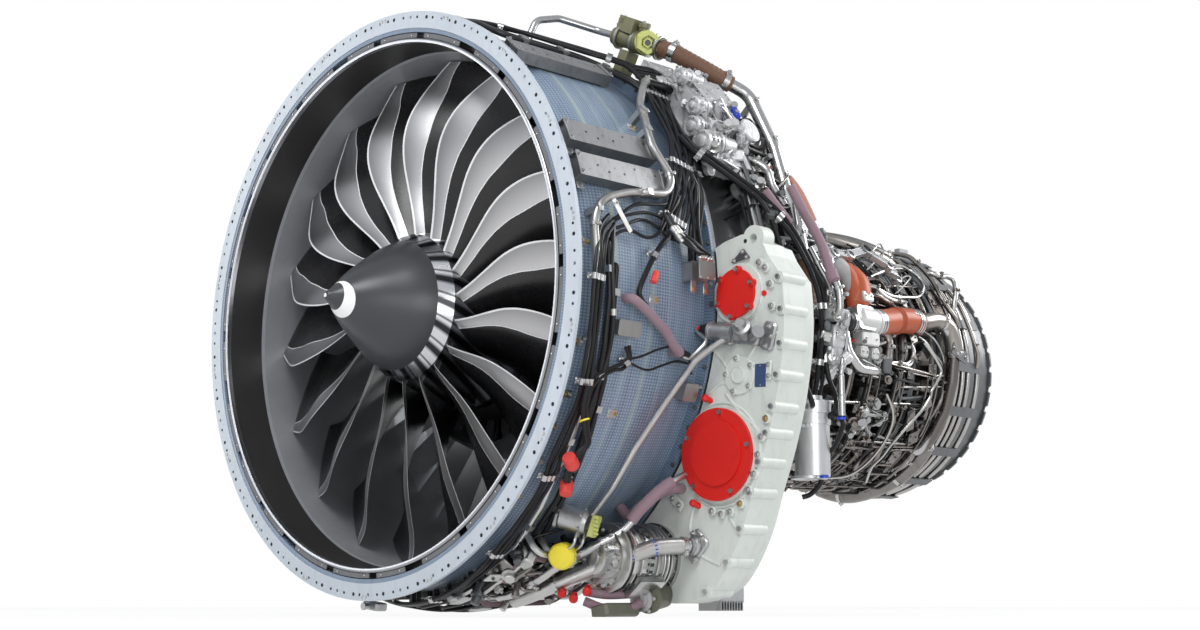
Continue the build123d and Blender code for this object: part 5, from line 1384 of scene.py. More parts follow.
def makeFuelUnit():
    piece = Piece("fuelUnitFittings", "fuelCast", "plainSteel", "blackCable", "bluePlug", "brightTube",
        "castAluminium")
    angle, station = unitSettings["angle"], unitSettings["station"]
    piece.plate(at(unitSettings["plateRadius"], angle, station), outward(angle), aft, 0.176, 0.150, 0.007,
        0.003)
    piece.look = 1
    long, wide = unitSettings["boltReach"]
    top = at(unitSettings["plateRadius"] + 0.006, angle, station)
    for turn in turns(unitSettings["bolts"]):
        place = top + aft * math.cos(turn) * long + around(angle) * math.sin(turn) * wide
        piece.bolt(place, outward(angle), 0.0048)
    # each port: end cap, bolted collars and lengthwise ribs
    for radius, turn, start, size, length in unitSettings["ports"]:
        front = at(radius, turn, start)
        tip = front - aft * (length - 0.016)
        piece.look = 0
        piece.turned(tip, forward, ((size, -0.010), (size + 0.001, 0.0), (size + 0.001, 0.007),
            (size - 0.004, 0.009), (size - 0.010, 0.009), (size - 0.012, 0.005), (size - 0.020, 0.005),
            (size - 0.020, 0.012), (size - 0.024, 0.014)), 28)
        for share, proud in ((0.22, 0.005), (0.42, 0.003), (0.62, 0.006), (0.78, 0.003)):
            spot = tip + aft * (length * share)
            piece.look = 0 if proud > 0.004 else 5
            piece.turned(spot, aft, band(size, proud, 0.005, 0.001), 28)
        for lean in turns(8, 0.2):
            out = Vector((math.cos(lean), 0, math.sin(lean)))
            piece.look = 0
            piece.plate(tip + aft * (length * 0.32) + out * (size - 0.004), out, aft, length * 0.55, 0.005,
                0.008, 0.001)
            piece.look = 1
            piece.bolt(tip + out * (size - 0.005) + forward * 0.007, forward, 0.0034)
    piece.look = 0
    piece.turned(at(1.232, 31.5, 0.952), outward(22),
        ((0.040, -0.06), (0.040, 0.0), (0.050, 0.002), (0.050, 0.012), (0.044, 0.016)), 32)
    piece.look = 3
    piece.turned(at(1.252, 34.5, 0.905), (0.62, -0.35, -0.68),
        ((0.014, -0.03), (0.014, 0.022), (0.011, 0.028)), 16)
    piece.look = 2
    for turn, start in unitSettings["wires"]:
        foot = at(1.165, turn, start + 0.03)
        piece.tube(bentRoute((foot, foot + forward * 0.05 + outward(turn) * 0.01,
            at(1.150, turn + 2.5, start - 0.085)), 0.03), 0.0155, 14)
    for row in unitSettings["fittings"]:
        fittings(piece, *row)
    piece.place()


iceValveSettings = {"foot": (0.655, 0.795, 1.050), "axis": (0.80, -0.52, -0.30),
                    "bands": (0.030, 0.105, 0.172, 0.224), "stubs": (0.045, 0.140)}


def makeValveCap():
    piece = Piece("iceValveFittings", "oliveMetal", "limeCap", "plainSteel", "darkScrew", "blackCable")
    foot = Vector(iceValveSettings["foot"])
    axis = Vector(iceValveSettings["axis"]).normalized()
    lean = Vector((0.15, -0.3, 0.95)).normalized()
    piece.turned(foot, axis, ((0.036, -0.02), (0.036, 0.030), (0.043, 0.032), (0.043, 0.044)), 30)
    piece.look = 1
    tip = foot + axis * 0.044
    piece.turned(tip, axis, ((0.046, -0.002), (0.050, 0.004), (0.050, 0.028), (0.046, 0.033),
        (0.030, 0.033), (0.029, 0.015), (0.020, 0.014), (0.020, 0.026), (0.012, 0.027)), 6)
    piece.turned(tip, axis, ((0.044, -0.004), (0.048, 0.0), (0.048, 0.006), (0.044, 0.008)), 30)
    piece.look = 3
    piece.turned(tip + axis * 0.018, axis, ((0.0118, 0.0), (0.0118, 0.0095), (0.004, 0.0096)), 16)
    piece.look = 2
    for distance in iceValveSettings["bands"]:
        centre = valveStart + valveAxis * distance
        piece.turned(centre, valveAxis, band(0.044, 0.0038, 0.005, 0.001), 28)
        piece.plate(centre + lean * 0.046, lean, valveAxis, 0.012, 0.026, 0.012)
    piece.look = 0
    up = Vector((0.3, -0.2, 0.9)).normalized()
    for shift in iceValveSettings["stubs"]:
        stub = valveStart + valveAxis * shift
        piece.turned(stub, up, ((0.022, -0.03), (0.022, 0.062), (0.026, 0.064), (0.026, 0.076),
            (0.018, 0.080)), 20)
        piece.look = 2
        piece.bolt(stub + up * 0.079, up, 0.007)
        piece.look = 0
    piece.place()


makeFuelUnit()
makeValveCap()
print("frame accessories made")

# Gearbox: bosses, covers, ribs, plugs and the small valve on its front face

# coverRings: x, z and radius of the raised ring round each cover; ringInner: where the rings begin to show
gearSettings = {
    "face": 0.700, "plugPad": (1.212, -0.325), "padBolts": 0.062, "bossSize": 0.0175, "ribSize": 0.0065,
    "coverRings": ((1.213, -0.033, 0.108), (1.115, -0.601, 0.186)), "ringInner": 1.125,
    "bluePlate": (1.306, -0.334), "sideLug": (1.349, -0.320), "lugBolts": (-0.300, -0.340),
    "bracket": ((1.186, 0.082), (1.268, 0.092), (1.240, 0.126)),
    "bracketBolts": ((1.199, 0.087), (1.256, 0.094), (1.238, 0.115)),
    "redPlugs": ((1.072, -0.405), (1.010, -0.778)), "blank": (0.905, -0.760), "blankLean": (0.75, 0, -0.65),
    "rimBolts": ((1.315, 0.066), (1.342, 0.045), (1.362, -0.016), (1.368, -0.096), (1.335, -0.489),
        (1.312, -0.551), (1.296, -0.612), (1.276, -0.678), (1.249, -0.732), (1.212, -0.779),
        (1.165, -0.806), (1.123, -0.812), (1.080, -0.800), (0.955, -0.905), (0.870, -0.930)),
    "ribs": (((1.030, -0.395), (1.120, -0.345), (1.165, -0.350)),
        ((1.145, -0.385), (1.190, -0.440), (1.290, -0.520), (1.318, -0.560)),
        ((1.250, -0.270), (1.300, -0.210), (1.385, -0.190)),
        ((1.060, -0.200), (1.110, -0.240), (1.150, -0.290)),
        ((0.985, -0.780), (0.960, -0.860), (1.020, -0.960), (1.110, -0.990)),
        ((1.140, -0.800), (1.180, -0.860), (1.200, -0.870))),
}


def onFace(x, z, proud=0.0):
    return Vector((x, gearSettings["face"] - proud, z))


def makeGearboxFittings():
    piece = Piece("gearboxFittings", "gearboxPaint", "plainSteel", "darkScrew", "brassNut", "bluePlate",
        "redCover", "castAluminium", "darkBracket")
    for line in gearSettings["ribs"]:
        piece.tube(bentRoute([onFace(x, z, -0.001) for x, z in line], 0.03, 4), gearSettings["ribSize"], 8)
    for x, z, radius in gearSettings["coverRings"]:
        ring = []
        for turn in (*turns(48), 0):
            ring.append(onFace(x + math.cos(turn) * radius, z + math.sin(turn) * radius, -0.001))
        inside = [point for point in ring if math.hypot(point.x, point.z) > gearSettings["ringInner"]]
        start = 0
        for index in range(1, len(inside) + 1):
            if index == len(inside) or (inside[index] - inside[index - 1]).length > 0.05:
                if index - start > 3:
                    piece.tube(inside[start:index], 0.006, 8)
                start = index
    x, z = gearSettings["plugPad"]
    piece.turned(onFace(x, z, 0.0), forward, ((0.070, -0.002), (0.070, 0.005), (0.067, 0.007)), 36)
    piece.turned(onFace(x, z, 0.006), forward, ((0.030, -0.001), (0.030, 0.0085), (0.027, 0.010),
        (0.024, 0.008)), 36)
    for turn in turns(5, 0.5):
        piece.look = 0
        ring = gearSettings["padBolts"]
        boss = onFace(x + math.cos(turn) * ring, z + math.sin(turn) * ring)
        piece.turned(boss, forward, ((0.0135, -0.002), (0.0135, 0.009), (0.012, 0.011)), 16)
        piece.look = 1
        piece.bolt(boss + forward * 0.010, forward, 0.0065)
    for index, (x, z) in enumerate(gearSettings["rimBolts"]):
        piece.look = 0
        size = gearSettings["bossSize"]
        piece.turned(onFace(x, z), forward, ((size, -0.002), (size, 0.010), (size - 0.002, 0.012)), 18)
        piece.look = 3 if index % 5 == 4 else 1
        piece.bolt(onFace(x, z, 0.011), forward, 0.0085)
        piece.look = 2
        piece.turned(onFace(x, z, 0.0205), forward, ((0.0046, -0.001), (0.0046, 0.0012), (0.0030, 0.0005)),
            10)
    # plain blue plate beside the plug pad, with two rivets
    piece.look = 4
    x, z = gearSettings["bluePlate"]
    piece.plate(onFace(x, z), forward, (0.05, 0, 1), 0.082, 0.050, 0.0025, 0.0008)
    piece.look = 1
    for shift in (-0.034, 0.034):
        piece.screw(onFace(x, z + shift, 0.0025), forward, 0.0032)
    piece.look = 0
    x, z = gearSettings["sideLug"]
    piece.plate(onFace(x, z), forward, (0.1, 0, 1), 0.070, 0.024, 0.010, 0.003)
    piece.look = 1
    for z in gearSettings["lugBolts"]:
        piece.bolt(onFace(x, z, 0.010), forward, 0.0060)
    # triangular bracket under the lifting lug
    piece.look = 7
    piece.skin([[piece.mesh.verts.new(onFace(x, z, proud)) for x, z in gearSettings["bracket"]]
                for proud in (0.001, 0.011)])
    piece.look = 1
    for x, z in gearSettings["bracketBolts"]:
        piece.bolt(onFace(x, z, 0.011), forward, 0.0058)
    piece.look = 2
    piece.turned(onFace(1.245, 0.155, 0.0), forward, ((0.0075, -0.001), (0.0075, 0.0015), (0.005, 0.0010)),
        14)
    # red transit plugs
    piece.look = 5
    for x, z in gearSettings["redPlugs"]:
        piece.turned(onFace(x, z), (-0.3, -0.9, 0.35),
            ((0.011, -0.01), (0.011, 0.016), (0.014, 0.018), (0.014, 0.030), (0.010, 0.036)), 8)
    piece.turned(onFace(1.330, -0.045, 0.002), forward, ((0.010, -0.002), (0.010, 0.004)), 8)
    # oval blank with two bolts
    piece.look = 0
    x, z = gearSettings["blank"]
    lean = gearSettings["blankLean"]
    piece.plate(onFace(x, z), forward, lean, 0.078, 0.040, 0.010, 0.006)
    piece.look = 1
    for shift in (-0.02, 0.02):
        piece.bolt(onFace(x + lean[0] * shift, z + lean[2] * shift, 0.010), forward, 0.0070)
    piece.place()


def makeGearboxValve():
    piece = Piece("gearboxValve", "castAluminium", "plainSteel", "blackCable", "redCover", "brightTube")
    inboard = (-1, -0.15, 0.22)
    piece.plate(onFace(1.262, -0.190), forward, (1, 0, -0.25), 0.120, 0.062, 0.028, 0.006)
    piece.turned(onFace(1.262, -0.180, 0.026), (0.3, -1, 0.5),
        ((0.030, -0.01), (0.030, 0.030), (0.034, 0.032), (0.034, 0.040), (0.022, 0.044), (0.018, 0.060)),
        24)
    piece.turned(onFace(1.285, -0.200, 0.020), (0.9, -0.5, 0.2),
        ((0.018, 0.0), (0.018, 0.05), (0.023, 0.052), (0.023, 0.066)), 20)
    piece.plate(onFace(1.350, -0.200), forward, (0.3, 0, 1), 0.100, 0.060, 0.014, 0.006)
    piece.look = 1
    for x, z in ((1.360, -0.168), (1.368, -0.205), (1.340, -0.235), (1.218, -0.205), (1.305, -0.172)):
        piece.bolt(onFace(x, z, 0.014), forward, 0.0072)
    piece.look = 0
    piece.turned(onFace(1.165, -0.170, 0.030), inboard,
        ((0.034, -0.04), (0.034, 0.0), (0.029, 0.004), (0.029, 0.05), (0.033, 0.052), (0.033, 0.060)), 28)
    piece.plate(onFace(1.160, -0.172), forward, (1, 0, -0.2), 0.090, 0.080, 0.030, 0.006)
    piece.look = 2
    knob = onFace(1.106, -0.158, 0.039)
    piece.turned(knob, inboard, ((0.022, 0.0), (0.022, 0.020), (0.019, 0.022), (0.019, 0.036)), 22)
    piece.look = 3
    piece.turned(knob + Vector((-0.037, -0.006, 0.008)), inboard,
        ((0.011, 0.0), (0.011, 0.012), (0.008, 0.014)), 16)
    piece.look = 4
    tip = knob + Vector((-0.047, -0.008, 0.010))
    swan = (tip, tip + Vector((-0.016, -0.006, 0.0)), at(1.132, -10.0, 0.640), at(1.118, -12.2, 0.610),
        at(1.112, -14.0, 0.575), at(1.104, -13.4, 0.545), at(1.104, -12.6, 0.532))
    piece.tube(bentRoute(swan, 0.03), 0.0085, 12)
    piece.look = 2
    piece.turned(at(1.100, -13.2, 0.560), (0.1, -1, 0.2), ((0.016, -0.02), (0.016, 0.02), (0.012, 0.026)),
        16)
    piece.place()


makeGearboxFittings()
makeGearboxValve()
print("gearbox pieces made")

# Braided hose, pipes and small units below the gearbox and the fan case

lowSettings = {
    "braid": ((0.997, 0.690, -0.922), (0.975, 0.630, -0.922), (0.935, 0.545, -0.929),
        (0.890, 0.480, -0.956), (0.815, 0.425, -0.984), (0.720, 0.385, -1.020), (0.620, 0.350, -1.058),
        (0.520, 0.330, -1.092), (0.440, 0.330, -1.110)),
    "pipe": ((0.905, 0.512, -0.790), (0.862, 0.462, -0.868), (0.800, 0.380, -0.925), (0.709, 0.300, -0.990),
        (0.640, 0.270, -1.035), (0.520, 0.260, -1.085), (0.430, 0.260, -1.100)),
    "braidRadius": 0.0300, "pipeRadius": 0.0165,
}


def makeLowPipes():
    piece = Piece("lowerHoses", "braidMetal", "brightTube", "plainSteel", "castAluminium", "bluePlug",
        "mauveHose")
    braid = softLine(lowSettings["braid"])
    radius = lowSettings["braidRadius"]
    piece.tube(braid[5:], radius, 24)
    piece.look = 1
    piece.tube(braid[:8], radius * 0.84, 20)
    for index in (6, 29, 47):
        bandClamp(piece, braid, index, radius + 0.001, 0.020)
    # rows of dark blue marks round the braid
    piece.look = 4
    for index in (16, 24):
        centre, ahead = braid[index], (braid[index + 1] - braid[index]).normalized()
        side, other = ahead.orthogonal().normalized(), ahead.cross(ahead.orthogonal()).normalized()
        for turn in turns(14):
            out = side * math.cos(turn) + other * math.sin(turn)
            piece.plate(centre + out * (radius - 0.001), out, ahead, 0.010, 0.005, 0.002, 0.0005)
    piece.look = 3
    x, y, z = lowSettings["braid"][0]
    piece.plate(Vector((x, y + 0.010, z)), forward, (0.7, 0, 0.7), 0.110, 0.082, 0.012, 0.006)
    piece.turned((x, y, z), (-0.1, -1, 0), ((0.034, 0.0), (0.034, 0.010), (0.028, 0.014), (0.028, 0.030)),
        26)
    piece.look = 2
    for right, up in ((0.040, 0.028), (-0.040, -0.028), (0.006, -0.046), (-0.006, 0.046)):
        piece.bolt(Vector((x + right, y - 0.002, z + up)), forward, 0.0075)
    piece.look = 1
    pipe = softLine(lowSettings["pipe"])
    piece.tube(pipe, lowSettings["pipeRadius"], 14)
    for index in (14, 34):
        bandClamp(piece, pipe, index, lowSettings["pipeRadius"] + 0.001, 0.016)
    # mauve sleeve that carries the pipe on to the gearbox
    piece.look = 5
    sleeve = softLine(((0.985, 0.655, -0.668), (0.975, 0.610, -0.690), (0.945, 0.560, -0.730),
        (0.905, 0.512, -0.790), (0.880, 0.484, -0.836)))
    piece.tube(sleeve[9:], 0.0215, 18)
    piece.look = 1
    piece.tube(sleeve[:11], 0.0130, 14)
    piece.place()


# bolt circles: station, count and radius; rings: station and half width
unitPlaces = {
    "generator": (0.790, 0.0, -0.963),
    "boltCircles": ((0.412, 14, 0.100), (0.690, 16, 0.122)),
    "rings": ((0.452, 0.007), (0.486, 0.004), (0.512, 0.004), (0.598, 0.010), (0.626, 0.004),
        (0.646, 0.004), (0.664, 0.007)),
    "redPlugs": ((0.750, 0.395, -1.075), (0.706, 0.372, -1.100), (0.668, 0.352, -1.082)),
}


def makeLowUnits():
    piece = Piece("lowerUnits", "castAluminium", "plainSteel", "darkScrew", "yellowCap", "limeCap",
        "redCover", "darkOlive", "blackCable", "brightTube", "mauveHose", "bluePlate")
    # sensor with its square body, white end and yellow-green mounting block
    middle = Vector((0.800, 0.300, -0.838))
    axis = Vector((0.80, 0.46, -0.30)).normalized()
    piece.turned(middle - axis * 0.05, axis, ((0.040, -0.012), (0.044, -0.008), (0.044, 0.072),
        (0.040, 0.076), (0.036, 0.088)), 30)
    piece.plate(middle - axis * 0.064, -axis, (0, 0, 1), 0.088, 0.070, 0.014, 0.003)
    piece.look = 4
    piece.plate(middle + axis * 0.052, axis, (0, 0, 1), 0.078, 0.060, 0.022, 0.003)
    for shift in (-0.028, -0.014, 0.0, 0.014, 0.028):
        piece.plate(middle + axis * 0.062 + Vector((0.030, -0.02, shift)), (0.6, -0.8, 0), axis, 0.018,
            0.006, 0.010, 0.001)
    piece.look = 1
    first, second, _ = frameOf(axis)
    for turn in turns(6):
        spot = middle + axis * 0.020 + (first * math.cos(turn) + second * math.sin(turn)) * 0.047
        piece.bolt(spot, -axis, 0.0048)
    piece.look = 8
    for shift in (-0.02, 0.02):
        piece.tube(bentRoute((middle + Vector((0.02, shift, -0.03)),
            middle + Vector((0.03, shift - 0.03, -0.09)), Vector((0.765, 0.28 + shift, -0.945))), 0.03),
            0.0055, 10)
    # yellow cap
    piece.look = 3
    lean = (0.45, -0.80, -0.15)
    piece.turned((0.762, 0.262, -0.960), lean, ((0.040, -0.03), (0.047, -0.02), (0.047, 0.016),
        (0.040, 0.026), (0.024, 0.032)), 32)
    piece.look = 1
    piece.turned((0.768, 0.290, -0.966), lean, ((0.030, -0.04), (0.030, 0.01)), 24)
    # red plugs
    piece.look = 5
    for place in unitPlaces["redPlugs"]:
        piece.turned(place, (0.6, -0.7, -0.4), ((0.012, -0.02), (0.012, 0.008), (0.016, 0.010),
            (0.016, 0.022), (0.011, 0.027)), 18)
    # generator dress: bolts, cooling slots drawn as dark plates that paint the shade inside them, bright
    # rings, a block and a front cap
    centre = Vector(unitPlaces["generator"])
    for station, count, ring in unitPlaces["boltCircles"]:
        for turn in turns(count):
            piece.look = 1
            piece.bolt(centre + Vector((math.cos(turn) * ring, station, math.sin(turn) * ring)), forward,
                0.0056)
    # painted shade: thin dark plates stand in for the shade inside the cooling slots
    for turn in turns(30):
        out = Vector((math.cos(turn), 0, math.sin(turn)))
        piece.look = 2
        piece.plate(centre + out * 0.1225 + aft * 0.560, out, aft, 0.020, 0.012, 0.003, 0.001)
    piece.look = 1
    for station, wide in unitPlaces["rings"]:
        piece.turned(centre + aft * station, aft, ((0.116, -wide), (0.1245, -wide * 0.8), (0.1265, 0),
            (0.1245, wide * 0.8), (0.116, wide)), 56)
    piece.look = 2
    piece.plate(centre + Vector((0.070, 0.506, -0.098)), (0.55, 0, -0.83), aft, 0.050, 0.040, 0.008, 0.003)
    piece.look = 8
    piece.turned(centre + aft * 0.398, forward, ((0.060, -0.01), (0.060, 0.010), (0.052, 0.014),
        (0.030, 0.014), (0.028, 0.020)), 34)
    # dark drain box, olive cylinder and its mauve pipes below the generator
    piece.look = 6
    piece.turned((0.842, 0.640, -1.098), (0.25, -1, -0.15),
        ((0.050, -0.06), (0.050, 0.03), (0.056, 0.032), (0.056, 0.046), (0.046, 0.050)), 32)
    piece.plate((0.800, 0.480, -1.128), (0.2, 0, -1), aft, 0.170, 0.085, 0.046, 0.006)
    piece.look = 0
    piece.turned((0.836, 0.588, -1.106), (0.25, -1, -0.15),
        ((0.046, 0.0), (0.046, 0.012), (0.030, 0.014), (0.026, 0.030)), 30)
    piece.look = 1
    for turn in turns(6):
        piece.bolt(Vector((0.836 + math.cos(turn) * 0.050, 0.594, -1.106 + math.sin(turn) * 0.050)),
            (0.1, -1, -0.1), 0.0052)
    piece.look = 9
    for lift in (0.0, 0.050):
        piece.tube(softLine(((0.850, 0.580, -1.085 - lift * 0.6), (0.826, 0.520, -1.090 - lift),
            (0.786, 0.450, -1.092 - lift), (0.730, 0.400, -1.080 - lift * 0.7))), 0.0165, 16)
    piece.look = 10
    piece.plate((0.965, 0.800, -1.092), forward, (1, 0, 0), 0.060, 0.034, 0.030, 0.003)
    piece.place()


# rails: angle, start and end; boxes: angle and station; cables: count, pitch, radius, stray and route
bellySettings = {
    "rails": ((-70, 0.30, 0.66), (-79, 0.22, 0.62), (-90, 0.20, 0.60), (-101, 0.24, 0.58),
        (-113, 0.20, 0.50)),
    "boxes": ((-66, 0.36), (-75, 0.20), (-84, 0.44), (-97, 0.14), (-106, 0.34)),
    "cables": (
        (3, 0.018, 0.0075, 0.3, ((1.136, -63, 0.30), (1.140, -70, 0.34), (1.144, -78, 0.38),
            (1.146, -88, 0.36), (1.140, -97, 0.30), (1.132, -106, 0.28))),
        (2, 0.020, 0.0085, 0.4, ((1.136, -60, 0.40), (1.142, -68, 0.46), (1.148, -76, 0.50),
            (1.146, -86, 0.48), (1.140, -98, 0.44), (1.132, -112, 0.46))),
        (1, 0.02, 0.0085, 0.2, ((1.124, -70, 0.150), (1.130, -76, 0.20), (1.132, -80, 0.26),
            (1.134, -78, 0.32), (1.136, -72, 0.36))),
    ),
}


def makeBelly():
    # sheet rails, cable troughs and ties under the fan case
    piece = Piece("bellyStructure", "boxMetal", "plainSteel", "blackCable", "darkBracket", "castAluminium")
    for angle, start, end in bellySettings["rails"]:
        middle = (start + end) / 2
        piece.look = 0
        piece.plate(at(1.118, angle, middle), outward(angle), aft, end - start, 0.070, 0.006)
        for side in (-1, 1):
            foot = at(1.100, angle, middle) + around(angle) * side * 0.033
            piece.plate(foot - outward(angle) * 0.012, around(angle) * side, aft, end - start, 0.034, 0.004)
        for station in (start + 0.03, middle, end - 0.03):
            piece.look = 3
            piece.plate(at(caseSkin(station), angle, station), outward(angle), aft, 0.030, 0.060,
                1.120 - caseSkin(station))
            piece.look = 1
            for side in (-0.022, 0.022):
                piece.bolt(at(1.124, angle, station) + around(angle) * side, outward(angle), 0.0055)
    for angle, station in bellySettings["boxes"]:
        piece.look = 4
        piece.plate(at(1.126, angle, station), outward(angle), around(angle), 0.090, 0.055, 0.030, 0.004)
        piece.turned(at(1.142, angle, station) + forward * 0.027, forward,
            ((0.012, 0.0), (0.012, 0.018), (0.0145, 0.020), (0.0145, 0.030)), 16)
    piece.look = 2
    for count, pitch, radius, wander, route in bellySettings["cables"]:
        bundle(piece, route, count, pitch, radius, wander)
    piece.place()


makeLowPipes()
makeLowUnits()
makeBelly()
print("lower pieces made")

# Core: pipes, wires, brackets, castings and clevis arms over the hot cases

